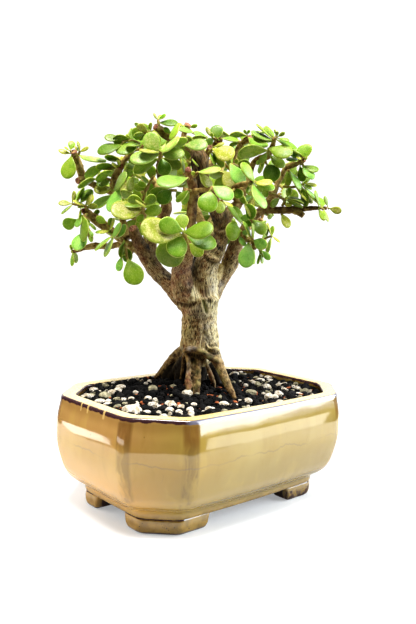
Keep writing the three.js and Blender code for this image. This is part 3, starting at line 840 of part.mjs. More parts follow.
      [59.9, -44.7, 187.5, 56.6, -44.4, 193.8, -0.03, -1, 0.02, 3.6, 0],
      [60, -46.1, 186.2, 64.3, -52.5, 184.3, -0.84, -0.55, -0.03, 4.8, 0],
    ],
  },
  shoot_center_right: {
    stems: [
      [[1.9, -35, 196.8, 0.75], [3.6, -35.2, 197, 0.85], [4.4, -34.4, 198.6, 0.85], [5.1, -33.8, 198.7, 0.83]],
    ],
    leaves: [
      [3.3, -35.2, 198.5, -7.2, -33.9, 208.2, 0.15, -0.94, 0.29, 9.5, 0],
      [5.1, -33.8, 198.7, 6.9, -46, 197.2, -0.47, -0.18, 0.86, 8.2, 0],
      [3.3, -36.2, 197.3, 13.3, -42.3, 195.4, -0.31, -0.71, 0.64, 7.8, 0],
      [1.9, -34.9, 196.9, 1.8, -45.5, 182.8, 0.12, -0.8, 0.59, 11.6, 0],
      [0.2, -33.4, 196.1, -2.1, -35.4, 191.3, -0.76, -0.38, 0.52, 2.8, 0],
    ],
  },
  shoot_center_blue: {
    stems: [
      [[19.6, -2.6, 211.6, 0.96], [5.3, -11.3, 210.5, 0.8]],
    ],
    leaves: [
      [5.2, -11.2, 211.1, 11, -17.7, 198, -0.33, -0.9, 0.3, 10.4, 0],
      [17, -4.6, 212.5, 14.2, -7.4, 215.2, 0.37, 0.43, 0.83, 2.8, 0],
      [10.9, -8, 210.6, 11.6, -0.6, 214.7, 0.92, -0.25, 0.29, 5.6, 0],
    ],
  },
  shoot_right_dark: {
    stems: [
      [[24.7, -22.1, 214.6, 0.92], [24.4, -23.4, 212.8, 0.89]],
      [[24.4, -23.4, 212.8, 0.89], [24.3, -24, 211.8, 0.87]],
      [[24.4, -23.4, 212.8, 0.89], [21.9, -21.1, 211.4, 0.75]],
    ],
    leaves: [
      [24.7, -24.4, 211.4, 25.8, -30.7, 201, -0.81, -0.53, 0.24, 10.9, 1],
      [21.9, -21.1, 211.4, 19.6, -23.2, 205.6, -0.93, 0.02, 0.36, 3.3, 0],
      [23, -21.2, 214.6, 23.2, -16.1, 212, -0.97, -0.08, -0.22, 2.9, 0],
      [23.9, -22.7, 212.7, 26.7, -14.5, 208.4, -0.94, 0.34, 0.06, 6.4, 0],
    ],
  },
  shoot_center: {
    stems: [
      [[-21.9, -26, 193, 0.96], [-23.3, -27.5, 193.6, 0.92], [-25.3, -29, 191.7, 0.85]],
    ],
    leaves: [
      [-25.8, -28.6, 191, -29.4, -30.7, 179, -0.59, -0.74, 0.31, 11.6, 1],
      [-23.1, -27.6, 194.2, -17.6, -39.1, 186.9, -0.54, -0.62, 0.57, 9.7, 0],
    ],
  },
  shoot_center_top: {
    stems: [
      [[-24.4, -16.8, 202.6, 0.81], [-24.8, -15.5, 202, 0.99], [-24.1, -12.1, 200.5, 0.94]],
    ],
    leaves: [
      [-24.7, -16.2, 202.7, -17.9, -28.8, 204.2, -0.49, -0.16, 0.86, 9.5, 0],
      [-24.3, -17, 202.6, -18.3, -21.5, 194.1, -0.1, -0.91, 0.4, 7.5, 0],
      [-24.5, -14.6, 201.5, -29, -16, 202.4, -0.19, 0.89, 0.41, 2.6, 0],
    ],
  },
  shoot_right_shade: {
    stems: [
      [[4.4, -16.9, 195, 0.75], [-2.8, -17.5, 190, 0.78], [-5.7, -16.3, 187.4, 0.9], [-3.4, -14.4, 184.6, 1.03]],
    ],
    leaves: [
      [-6.2, -15.9, 187.6, -9, -20.1, 179.8, -0.8, -0.37, 0.48, 6.2, 0],
      [5.2, -16.7, 195.7, 6.9, -20.8, 190, -0.8, -0.57, 0.18, 6.1, 0.5],
      [-5.2, -16.6, 187.4, -1.5, -22.5, 184.2, -0.23, -0.58, 0.78, 3.8, 0],
    ],
  },
  shoot_right_blades: {
    stems: [
      [[17.9, -14.4, 171.8, 1.07], [10.4, -19.8, 174.3, 0.8]],
    ],
    leaves: [
      [9.4, -18.9, 174.4, -0.7, -16.7, 184.6, 0.38, -0.75, 0.54, 9.6, 0],
      [10.3, -19.7, 174.7, 6.6, -13.8, 185.2, 0.02, -0.87, 0.5, 8.3, 0],
      [12.3, -20.5, 175.3, 9.7, -20.8, 180.2, 0.58, 0.74, 0.35, 5.3, 1],
      [14.9, -17.4, 173.3, 15.5, -19, 165.3, 0.4, -0.89, 0.2, 5.4, 0],
    ],
  },
  shoot_right_mid_dark: {
    stems: [
      [[19.3, -15.6, 178.1, 1.01], [14, -19, 181.9, 0.87], [10.5, -21.2, 185.9, 0.8]],
    ],
    leaves: [
      [10.3, -21.6, 186.8, 8.9, -31.1, 178, -0.99, 0.07, 0.09, 8.6, 0],
      [11, -20.9, 185.3, 6, -29.4, 178.9, 0.46, -0.69, 0.56, 7.8, 0],
      [11, -21.6, 187.1, 11.3, -14, 191.1, 0.94, -0.2, 0.29, 5.7, 0],
    ],
  },
  shoot_right_round_low: {
    stems: [
      [[13.1, -15.5, 168.9, 1], [8.6, -19.5, 169.6, 0.92]],
    ],
    leaves: [
      [8.4, -19.3, 170.2, -3.9, -19.4, 168.9, 0, -1, 0.07, 11.4, 1],
      [10.6, -18, 169.2, 9.6, -25.2, 168.8, -0.97, 0.12, 0.19, 3.6, 0],
      [12.2, -15.1, 167, 10.5, -20.6, 160.7, -0.01, -0.75, 0.66, 5.7, 0],
    ],
  },
  shoot_right_lower: {
    stems: [
      [[9.3, -29.2, 165.4, 0.88], [9.1, -29.3, 164.9, 0.79]],
      [[12.6, -29.8, 162.5, 0.79], [9.1, -29.3, 164.9, 0.79]],
      [[9.8, -28.6, 164.6, 0.91], [9.3, -29.2, 165.4, 0.88]],
      [[9.3, -29.2, 165.4, 0.88], [8.4, -30.1, 166.6, 0.85], [9.1, -29.3, 171.2, 0.75], [11.1, -27.1, 176.1, 0.75]],
      [[15.8, -29.9, 156.6, 0.75], [15.2, -29.3, 159.9, 0.8], [14.8, -28.1, 161.7, 0.88], [12.6, -29.8, 162.5, 0.79]],
      [[25.8, -29.3, 167.6, 0.75], [24.1, -26.5, 166.2, 0.75], [23.1, -24.3, 164.1, 0.75], [12.6, -29.8, 162.5, 0.79]],
      [[9.1, -29.3, 164.9, 0.79], [7.9, -28.2, 162.8, 0.79], [7.3, -27.8, 162.7, 0.79], [10.1, -26.2, 162.3, 0.85]],
    ],
    leaves: [
      [11.2, -27.1, 176.9, 12.4, -36.2, 168.1, -0.51, -0.63, 0.59, 8.3, 0],
      [10.3, -29, 164.5, 12.3, -38.7, 160.9, -0.94, -0.27, 0.2, 7.3, 0],
      [9.7, -29, 165, 4.2, -33.5, 173.9, 0.63, -0.78, 0, 7.5, 0],
      [8.8, -28.8, 164.8, 2.3, -27.6, 175.4, 0.5, -0.77, 0.39, 8.2, 0],
      [10.4, -29, 173.1, 21.8, -27, 175.8, -0.28, 0.53, 0.8, 7.8, 0],
      [9.4, -28.1, 173, 10.1, -22.1, 175.8, -0.92, -0.08, 0.39, 4.2, 0],
      [7.3, -27.7, 163.1, 3.1, -30.6, 147.7, -0.8, -0.51, 0.32, 10.7, 0],
      [11.1, -25.3, 162.2, 20.6, -20.4, 150.7, 0.52, -0.85, 0.07, 10.4, 0],
      [15.5, -29.6, 156.4, 13.4, -30.4, 149.9, -0.92, 0.29, 0.26, 3.4, 0],
      [15.8, -29.8, 156.3, 15.3, -32.1, 150.4, 0.1, -0.93, 0.34, 3.2, 0],
      [15.2, -29, 160.8, 13.8, -34.4, 154.7, 0.76, -0.56, 0.33, 5.5, 0],
      [16.5, -30.5, 158.4, 18.2, -35.9, 153, -0.83, -0.5, 0.25, 4.2, 0],
      [25.7, -29.2, 167.6, 22.1, -28.7, 175.5, 0.56, -0.77, 0.3, 5.8, 0],
      [26, -29.5, 167.7, 27.5, -28.2, 173.9, -0.92, -0.28, 0.29, 3.3, 0],
      [26.1, -29.6, 167.4, 28.3, -34.2, 163.7, 0.06, -0.6, 0.79, 3.2, 0],
      [25.8, -29.2, 166.7, 22, -29.8, 156.7, -0.86, 0.41, 0.31, 7.1, 0],
      [24.2, -26.9, 167.1, 21.7, -28.6, 172.9, 0.17, 0.92, 0.35, 3.3, 0],
    ],
  },
  shoot_front: {
    stems: [
      [[-34.8, -14.4, 164.3, 0.75], [-33, -16.2, 165.3, 1.18]],
      [[-33, -16.2, 165.3, 1.18], [-28.5, -12.2, 162.7, 1.29], [-24.5, -7.7, 159.8, 1.31]],
      [[-37.5, -20.3, 167.7, 0.91], [-33, -16.2, 165.3, 1.18]],
    ],
    leaves: [
      [-37.7, -20.1, 168, -51.7, -15.8, 172.4, -0.29, -0.96, 0.01, 10.1, 0],
      [-37.1, -17.7, 166.2, -60.6, -10.3, 169.1, -0.23, -0.89, 0.39, 16.4, 0],
      [-37.2, -20.3, 167.7, -30.5, -38.2, 169.1, -0.78, -0.25, 0.57, 12.6, 0],
      [-31.5, -16.4, 165.4, -22.1, -31.3, 160, -0.51, -0.56, 0.66, 12.2, 0],
      [-35.1, -15.8, 165.1, -43.2, -18, 153.8, -0.4, -0.81, 0.44, 12.1, 1],
      [-34.8, -14.4, 164.3, -39.9, -4.7, 148.5, 0.7, 0.68, 0.2, 16.8, 1],
      [-25.2, -11.1, 161.4, -19.8, -17.2, 154.6, -0.7, -0.71, 0.07, 7.5, 0],
      [-37.1, -20.6, 169.6, -37.1, -16.7, 177.7, -0.68, -0.66, 0.33, 7.8, 0.6],
    ],
  },
  shoot_back_left: {
    plain: true,
    stems: [
      [[-10.8, 78.4, 199.4, 1.29], [-12.3, 79.1, 201.8, 1.23]],
      [[-12.3, 79.1, 201.8, 1.23], [-13.5, 79.7, 203.6, 1.19], [-16.1, 79.3, 206.1, 1.04]],
      [[-6.3, 72.1, 210, 0.9], [-7.7, 76, 206, 1.05], [-12.3, 79.1, 201.8, 1.23]],
    ],
    leaves: [
      [-11.2, 78.2, 203.6, -7.9, 73.1, 214.6, 0.51, 0.83, 0.23, 9.7, 0],
      [-9, 76.4, 204.8, -17.7, 76.3, 195.2, -0.7, -0.3, 0.64, 9.1, 0],
      [-16.3, 79.3, 206.1, -28.4, 77.5, 212.4, -0.08, 0.99, 0.14, 8.2, 0],
      [-10.9, 77.8, 203, -5.2, 70, 205, 0.2, 0.39, 0.9, 7.3, 0],
      [-6.2, 72.5, 210.8, -4.7, 77.7, 222, -0.36, -0.83, 0.43, 8.8, 0],
      [-6.7, 74.8, 206.8, 2, 77.6, 195.9, 0.77, 0.06, 0.63, 10.1, 0],
      [-6.2, 74.4, 208.1, 7.3, 76.9, 211.6, -0.3, 0.42, 0.86, 9.4, 0],
      [-13.4, 79.1, 201.9, -26.4, 77.5, 199.1, -0.19, -0.16, 0.97, 10.4, 0],
    ],
  },
  shoot_back_left_low: {
    plain: true,
    stems: [
      [[-6.2, 68, 178.2, 1.25], [-6.2, 70.1, 177.7, 1.2]],
      [[-9.1, 73.2, 178.7, 1.07], [-6.2, 70.1, 177.7, 1.2]],
      [[-6.2, 70.1, 177.7, 1.2], [-1.1, 71.5, 186.9, 1.05], [1.1, 69.6, 192.3, 0.93]],
    ],
    leaves: [
      [0.9, 69.5, 192, 3.7, 62.5, 204.1, -0.45, -0.81, -0.37, 9.6, 0],
      [-6.5, 70.5, 177.2, -10.3, 77.5, 171, 0.64, 0.68, 0.37, 6.5, 0],
      [-7.5, 72.7, 178.2, 5.1, 75.8, 174.9, 0.16, -0.95, -0.26, 9.4, 0],
      [-8.8, 73, 179.3, -13, 78.1, 192.6, 0.93, -0.13, 0.34, 12.1, 0],
      [-1.4, 70.9, 185.2, 10.5, 65.1, 191.2, -0.53, -0.26, 0.81, 11.5, 0],
      [-5.3, 68.3, 178, 8.4, 66.3, 176.3, -0.08, -0.91, 0.41, 10.6, 0],
      [-5.8, 69.9, 177, -0.6, 72.1, 166.1, 0.33, 0.88, 0.34, 8.4, 0],
      [-6, 71, 178.9, -19.2, 78, 177.1, 0.06, 0.36, 0.93, 10.2, 0],
    ],
  },
  shoot_back_center: {
    plain: true,
    stems: [
      [[18.6, 54.2, 210.9, 1.3], [17.9, 54.8, 213, 1.24]],
      [[17.9, 54.8, 213, 1.24], [17.4, 55.2, 214.6, 1.19], [12.3, 55.7, 219, 0.97]],
      [[17.9, 54.8, 213, 1.24], [20.3, 50, 217.3, 1.04], [20.7, 45.3, 219.8, 0.92]],
    ],
    leaves: [
      [20.3, 46, 218.9, 14.7, 50.8, 208.6, 0.62, 0.78, 0.03, 7.7, 0],
      [18.8, 53.6, 214.9, 22.6, 54.9, 229.8, -0.03, -1, 0.09, 10.5, 0],
      [18.1, 55.7, 212.9, 20.8, 69.2, 209.5, 0.23, 0.19, 0.95, 9.7, 0],
      [12.7, 56.2, 219.4, 12.6, 63.8, 231.3, -0.48, -0.74, 0.47, 10.4, 0],
      [20.7, 45.6, 220.5, 21.2, 42.9, 234, -0.3, -0.94, -0.17, 9.5, 0],
      [19.4, 53.7, 214.6, 31.7, 59.1, 221.9, -0.06, 0.85, -0.52, 10.6, 0],
      [18.3, 55.3, 213.2, 26.9, 59.1, 203.8, 0.66, 0.26, 0.71, 8.5, 0],
      [12.7, 55.5, 219.2, 8.3, 53.2, 233.1, 0.9, 0.29, 0.34, 9.8, 0],
    ],
  },
  shoot_back_center_low: {
    plain: true,
    stems: [
      [[22.7, 42.7, 192, 1.28], [26, 43.3, 194.4, 1.2]],
      [[26.3, 48.7, 182.9, 0.93], [28.5, 45.5, 188.1, 1.05], [26, 43.3, 194.4, 1.2]],
      [[26, 43.3, 194.4, 1.2], [31.2, 40.5, 198.5, 0.98]],
    ],
    leaves: [
      [27.6, 48.1, 183.8, 41.3, 51.1, 179.2, 0.05, 0.76, 0.65, 11.5, 0],
      [31, 40.4, 198.5, 37.6, 33.2, 206.6, 0.79, 0.6, -0.12, 8.4, 0],
      [27.2, 47.8, 185.9, 24.4, 58, 189.4, -0.77, -0.39, 0.5, 7, 0],
      [26.7, 49.3, 183, 36.6, 55.6, 191.1, -0.01, -0.78, 0.62, 9.3, 0],
      [25.7, 48.8, 183.3, 14.4, 55.7, 182.4, -0.06, 0.04, 1, 10.7, 0],
      [24.2, 43.8, 193.5, 25.2, 56.6, 200.6, -0.42, -0.42, 0.81, 9.2, 0],
      [26.7, 49.2, 183.5, 28, 62.9, 182.4, 0.91, -0.06, 0.41, 10.1, 0],
      [30.2, 41.6, 198, 38.8, 45.7, 209.9, -0.7, -0.35, 0.63, 9.8, 0],
    ],
  },
  shoot_back_mid: {
    plain: true,
    stems: [
      [[18.5, 24.3, 175.3, 1.21], [20.3, 24.4, 176.7, 1.16]],
      [[24.3, 24.9, 182.1, 0.96], [20.3, 24.4, 176.7, 1.16]],
      [[20.3, 24.4, 176.7, 1.16], [27, 24.2, 174, 1.02], [31.5, 22.9, 171.4, 0.89]],
    ],
    leaves: [
      [24.3, 25.6, 181.2, 29.3, 37.2, 174.9, 0.62, 0.15, 0.77, 11.1, 0],
      [32, 23.2, 172, 43.1, 27.2, 180.7, -0.56, -0.21, 0.8, 11.9, 0],
      [31.9, 23.3, 171, 41.1, 28.1, 161.8, 0.46, 0.51, 0.73, 11.3, 0],
      [31.2, 23.9, 171.6, 35.9, 37.8, 169.8, -0.74, 0.33, 0.58, 10.2, 0],
      [23.2, 24.6, 180.1, 34.5, 23.1, 188.7, -0.58, 0.19, 0.79, 10.3, 0],
      [30, 23.1, 172.9, 39.9, 16.4, 175.6, 0.57, 0.81, -0.1, 9.4, 0],
      [24.4, 25.4, 182.3, 31.6, 33.5, 190.9, -0.78, 0.02, 0.62, 9.3, 0],
      [23.6, 25.2, 175.4, 28.4, 37.4, 172.6, 0.66, -0.09, 0.74, 10.3, 0],
    ],
  },
  shoot_back_right: {
    plain: true,
    stems: [
      [[72.7, 6.1, 200.6, 1.27], [73, 5.5, 201.6, 1.23]],
      [[73, 5.5, 201.6, 1.23], [72.3, 2.6, 205.8, 1.02]],
      [[67.1, 13, 208.1, 0.92], [71.7, 10.2, 205.1, 1.06], [73, 5.5, 201.6, 1.23]],
    ],
    leaves: [
      [72.4, 8.9, 205.1, 79.6, -0.4, 214.7, 0.36, 0.79, 0.49, 9.2, 0],
      [73.5, 5.7, 201.5, 81.4, -0.3, 195.1, -0.62, -0.78, -0.04, 7.6, 0],
      [72.4, 3.2, 203.8, 68.5, -0, 190.7, 0.13, -0.97, 0.21, 10.1, 0],
      [67.2, 13.6, 207.8, 62.3, 24.8, 208.5, -0.63, -0.31, 0.71, 7.6, 0],
      [67.3, 13, 208.9, 68.9, 12.8, 221.9, 0.1, 0.99, 0, 8.6, 0],
      [67.7, 13.4, 207.2, 71.2, 23.9, 197, 0.97, -0.12, 0.21, 9.4, 0],
      [73.1, 8.5, 203.8, 83.6, 13.1, 206.5, 0.09, -0.65, 0.75, 7.3, 0],
      [72.4, 2.7, 206.1, 71.8, -2.2, 219.7, 0.26, 0.9, 0.34, 11.7, 0],
    ],
  },
  shoot_back_right_low: {
    plain: true,
    stems: [
      [[56.4, 10.1, 178.9, 1.19], [59.6, 7.6, 174.6, 0.97]],
      [[54.6, 10.5, 180, 1.25], [56.4, 10.1, 178.9, 1.19]],
      [[59.1, 20.2, 196.7, 0.93], [62, 18.7, 192.2, 0.99], [62.9, 15.3, 185.9, 1.05], [56.4, 10.1, 178.9, 1.19]],
    ],
    leaves: [
      [58.6, 20.5, 196.2, 55.1, 23.6, 186.1, -0.87, -0.46, 0.16, 7.9, 0],
      [60.6, 20, 195, 59.6, 27.6, 204.5, -0.78, -0.53, 0.34, 9.2, 0],
      [62.9, 17, 188, 66.2, 26.5, 193.7, -0.38, -0.37, 0.85, 8.4, 0],
      [55.3, 11.2, 179.7, 59.4, 20.9, 179.5, 0.47, -0.18, 0.86, 7.7, 0],
      [60.6, 18.9, 194.9, 57.8, 13.7, 205, -0.11, 0.9, 0.43, 8.6, 0],
      [59.3, 8.2, 174.2, 61.2, 13.6, 160.4, -0.49, 0.83, 0.26, 11.3, 0],
      [58.8, 20.6, 196, 48, 29.7, 191.1, -0.65, -0.44, 0.61, 9.5, 0],
      [63.3, 17, 188.3, 76.3, 21.1, 183, 0.39, -0.02, 0.92, 10.9, 0],
    ],
  },
  shoot_back_top: {
    plain: true,
    stems: [
      [[42.5, 17.2, 229.4, 1.16], [42.8, 17, 229.8, 1.13]],
      [[45, 12.4, 231.4, 0.88], [43.3, 16.5, 230.6, 1.09], [42.8, 17, 229.8, 1.13]],
      [[42.8, 17, 229.8, 1.13], [40.9, 19.9, 232, 0.95], [38.9, 21.8, 233.2, 0.82]],
    ],
    leaves: [
      [43.4, 17.5, 229.8, 55.1, 21.7, 233.7, -0.44, 0.52, 0.73, 10.6, 0],
      [38.8, 22.2, 233.3, 32.3, 34.7, 238.2, 0.53, -0.05, 0.84, 9.8, 0],
      [45.3, 13.4, 231.6, 56.4, 11.5, 237.8, -0.37, -0.83, 0.42, 10, 0],
      [43.6, 17.1, 230, 48, 26.9, 219.9, 0.9, 0.05, 0.44, 11.3, 0],
      [43.4, 17.2, 231.1, 46.2, 22.4, 238.6, 0.02, -0.83, 0.56, 7.1, 0],
      [44.8, 12.8, 230.5, 43.3, 16.1, 216.8, -0.01, 0.97, 0.23, 8.6, 0],
      [41.7, 19, 231.5, 39.6, 26.3, 237.5, 0.6, -0.4, 0.69, 6, 0],
      [44.5, 12.5, 231.5, 42.7, -1, 235.9, -0.11, 0.32, 0.94, 10.4, 0],
    ],
  },
  shoot_back_top_mid: {
    plain: true,
    stems: [
      [[25.1, 17.3, 218, 1.14], [25.3, 16.5, 215.3, 1.08]],
      [[25.3, 16.5, 215.3, 1.08], [22.8, 15.1, 210.2, 0.97]],
      [[25.3, 16.5, 215.3, 1.08], [29.7, 13.9, 210.4, 1], [28.6, 10.7, 205.6, 0.89]],
    ],
    leaves: [
      [28.2, 11.4, 205.3, 22.4, 21.2, 198.6, 0.61, 0.66, 0.43, 10.3, 0],
      [23.2, 14.7, 210, 24.6, 5.8, 198.7, -0.77, -0.55, 0.33, 10.8, 0],
      [25.7, 17.5, 216, 32.7, 29, 210, 0.21, 0.35, 0.91, 10.7, 0],
      [28.8, 10.1, 206.2, 31.6, -0.1, 216.7, 0.54, 0.67, 0.51, 9.6, 0],
      [28.3, 12.2, 206.9, 18.8, 23.7, 207.3, 0.31, 0.22, 0.93, 11.4, 0],
      [28.7, 15.2, 212.8, 38.6, 20.6, 220.6, -0.61, -0.02, 0.79, 8.5, 0],
      [22.9, 16.1, 211.6, 16.1, 25.6, 215.4, 0.66, 0.19, 0.73, 7.4, 0],
      [28.3, 14.4, 212.9, 27.8, 10.5, 227.8, -0.24, 0.94, 0.24, 12.1, 0],
    ],
  },
  shoot_back_top_left: {
    plain: true,
    stems: [
      [[-6.9, 63.3, 223.9, 1.17], [-7.2, 63.6, 224.9, 1.13]],
      [[-6.7, 60.5, 229.4, 0.88], [-7.5, 63.8, 225.8, 1.09], [-7.2, 63.6, 224.9, 1.13]],
      [[-14.2, 68.4, 222.5, 0.82], [-10, 67.3, 224.2, 0.96], [-7.2, 63.6, 224.9, 1.13]],
    ],
    leaves: [
      [-7.2, 64.1, 225.6, -6.9, 72.7, 237.9, -0.16, -0.81, 0.57, 11.4, 0],
      [-6.3, 60.6, 228.8, 3.9, 50.8, 232.4, -0.71, -0.58, 0.4, 10.4, 0],
      [-7.8, 65.7, 225, 1.5, 71.2, 230.8, 0.19, -0.84, 0.5, 9.2, 0],
      [-6.9, 60.5, 230.2, -10.1, 60.8, 241.5, 0.68, 0.72, 0.17, 9.1, 0],
      [-12.2, 67.5, 224.2, -19, 61.7, 236.7, -0.57, 0.82, 0.07, 11.9, 0],
      [-6.6, 64.2, 224.4, -0.2, 76.7, 225.3, 0.74, -0.42, 0.52, 8.7, 0],
      [-9.3, 66.6, 225.2, -12.3, 74.7, 235.6, -0.1, -0.8, 0.59, 8.8, 0],
      [-14.6, 68.9, 222.9, -24.2, 76.9, 227.5, 0.16, -0.34, 0.93, 10.2, 0],
    ],
  },
  shoot_back_left_mid: {
    plain: true,
    stems: [
      [[-9.6, 50.4, 202.1, 1.11], [-10.1, 50.5, 202.2, 1.09]],
      [[-10.1, 50.5, 202.2, 1.09], [-14.8, 50, 202, 0.98]],
      [[-19.4, 53, 193.2, 0.86], [-11.5, 52.7, 196.4, 1.01], [-10.1, 50.5, 202.2, 1.09]],
    ],
    leaves: [
      [-19.8, 53.6, 193.3, -27.3, 62, 192.8, 0.43, 0.43, 0.79, 9, 0],
      [-9, 49.9, 202.7, -11.5, 46.8, 212.4, 0.85, 0.4, 0.35, 7.7, 0],
      [-15.1, 50.6, 202.6, -15.9, 58.8, 210.4, -0.45, -0.64, 0.62, 7.9, 0],
      [-11.2, 52.5, 197.3, -13, 61, 185, 0.97, 0.24, 0.03, 10.4, 0],
      [-11.3, 53.1, 197.7, -10.4, 60.6, 203.4, -0.73, -0.36, 0.58, 6.5, 0],
      [-15.9, 53.7, 194.8, -14.4, 65, 197.6, -0.35, -0.18, 0.92, 8.4, 0],
      [-19.2, 53.4, 194.1, -21.5, 59.4, 204.4, -0.97, 0.02, -0.24, 7.7, 0],
      [-13.4, 50.6, 202.8, -21.3, 54.1, 211.3, 0.01, -0.92, 0.39, 8.7, 0],
    ],
  },
  shoot_back_upper_mid: {
    plain: true,
    stems: [
      [[-1.8, 18.3, 212.4, 1.04], [-3.1, 20, 207.7, 0.9], [-6.2, 20.1, 204.3, 0.83]],
      [[-2, 12.4, 211.1, 1.14], [-1.8, 18.3, 212.4, 1.04]],
      [[-0.1, 24, 215.3, 0.91], [-1.8, 18.3, 212.4, 1.04]],
    ],
    leaves: [
      [-5.5, 20.6, 204, 2.1, 27.4, 198.1, 0.66, -0.09, 0.75, 7.6, 0],
      [-1.1, 21.4, 214.8, -4.2, 20, 229.5, 0.81, 0.54, 0.23, 10.6, 0],
      [-5.4, 19.8, 205.1, -12.4, 16.6, 196.4, -0.57, -0.52, 0.64, 9.2, 0],
      [-5.7, 20.3, 205.7, -5.6, 22.7, 214.9, 0.57, -0.8, 0.2, 7.5, 0],
      [-0.3, 23.4, 215.9, -0.9, 22.4, 230.8, 0.87, 0.48, 0.07, 10.6, 0],
      [0.2, 24, 216, 4.7, 27.2, 227.7, -0.43, -0.82, 0.39, 10, 0],
      [-1.2, 16.3, 212.6, 9.2, 16.1, 222.2, -0.62, -0.41, 0.66, 10.2, 0],
      [-0.4, 23.6, 215.1, 0.8, 36.5, 223.1, 0.33, -0.52, 0.79, 9.9, 0],
    ],
  },
};

// ---- assembly -----------------------------------------------------------
const part = new THREE.Group();
part.name = "dwarf_jade_bonsai";
part.position.set(...POT_MIDDLE);

const material = (color, roughness, metalness = 0) =>
  new THREE.MeshStandardMaterial({ color, roughness, metalness });
const GLAZE = material(0xb59a63, 0.22),
  BARK = material(0x8f8170, 0.85),
  SOIL = material(0x2a241e, 0.95),
  PUMICE = material(0xe2dccb, 0.9),
  LEAF = material(0x86a53c, 0.4),
  MESH = material(0x2c2f2d, 0.6);

function place(made, name, look) {
  const m = made.getMesh(),
    n = m.numProp,
    v = new Float32Array(m.numVert * 3);
  for (let i = 0; i < m.numVert; i++) v.set(m.vertProperties.subarray(i * n, i * n + 3), i * 3);
  const g = new THREE.BufferGeometry()
    .setAttribute("position", new THREE.BufferAttribute(v, 3))
    .setIndex(new THREE.BufferAttribute(new Uint32Array(m.triVerts), 1));
  g.computeVertexNormals();
  const mesh = new THREE.Mesh(g, look);
  mesh.name = name;
  part.add(mesh);
}

const woodTubes = (grow) =>
  Object.values(WOOD).map((w) => tube(w, WOOD_SIDES[w[0][3] < THICK_WOOD ? 0 : 1], grow));
const wood = joined(woodTubes(0));
const woodRoom = joined(woodTubes(CLEARANCE * 1.35));

place(makePot(), "pot", GLAZE);
place(makeScreen(-DRAIN_X), "drain_screen_left", MESH);
place(makeScreen(DRAIN_X), "drain_screen_right", MESH);
place(
  makeSoil([woodRoom, ...STONES.map((s) => stone(s, CLEARANCE * 1.2))]),
  "soil",
  SOIL,
);
STONES.forEach((s, i) => place(largest(stone(s).subtract(woodRoom)), "pumice_stone_" + (i + 1), PUMICE));

place(wood, "trunk", BARK);

// Each shoot keeps clear of the wood and of the shoots before it.
const grown = [];
for (const [name, row] of Object.entries(SHOOTS)) {
  let made = shoot(row);
  if (made.intersect(woodRoom).volume() > 0) made = made.subtract(woodRoom);
  for (const room of grown)
    if (made.intersect(room).volume() > 0) made = made.subtract(room);
  made = largest(made);
  grown.push(shoot(row, CLEARANCE));
  place(made, name, LEAF);
}

export default part;
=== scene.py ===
import math

import bpy
import numpy as np
from mathutils import Matrix, Vector
from mathutils.geometry import tessellate_polygon


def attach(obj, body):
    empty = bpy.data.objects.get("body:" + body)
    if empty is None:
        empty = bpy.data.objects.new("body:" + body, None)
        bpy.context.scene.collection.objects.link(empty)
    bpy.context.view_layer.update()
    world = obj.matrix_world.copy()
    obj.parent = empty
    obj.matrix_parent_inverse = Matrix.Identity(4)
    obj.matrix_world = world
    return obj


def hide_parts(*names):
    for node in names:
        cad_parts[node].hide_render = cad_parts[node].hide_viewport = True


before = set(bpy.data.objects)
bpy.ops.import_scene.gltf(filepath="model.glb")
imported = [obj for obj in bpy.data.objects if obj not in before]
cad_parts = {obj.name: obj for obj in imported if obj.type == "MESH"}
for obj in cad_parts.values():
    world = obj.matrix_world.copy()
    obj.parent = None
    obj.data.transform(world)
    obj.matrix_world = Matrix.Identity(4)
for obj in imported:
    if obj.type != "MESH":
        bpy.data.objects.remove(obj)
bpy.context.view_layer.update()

MM = 0.001
MIDDLE = np.array([0.0, -9.95, 0.0])  # of the pot, in the row frame
rng = np.random.default_rng(11)

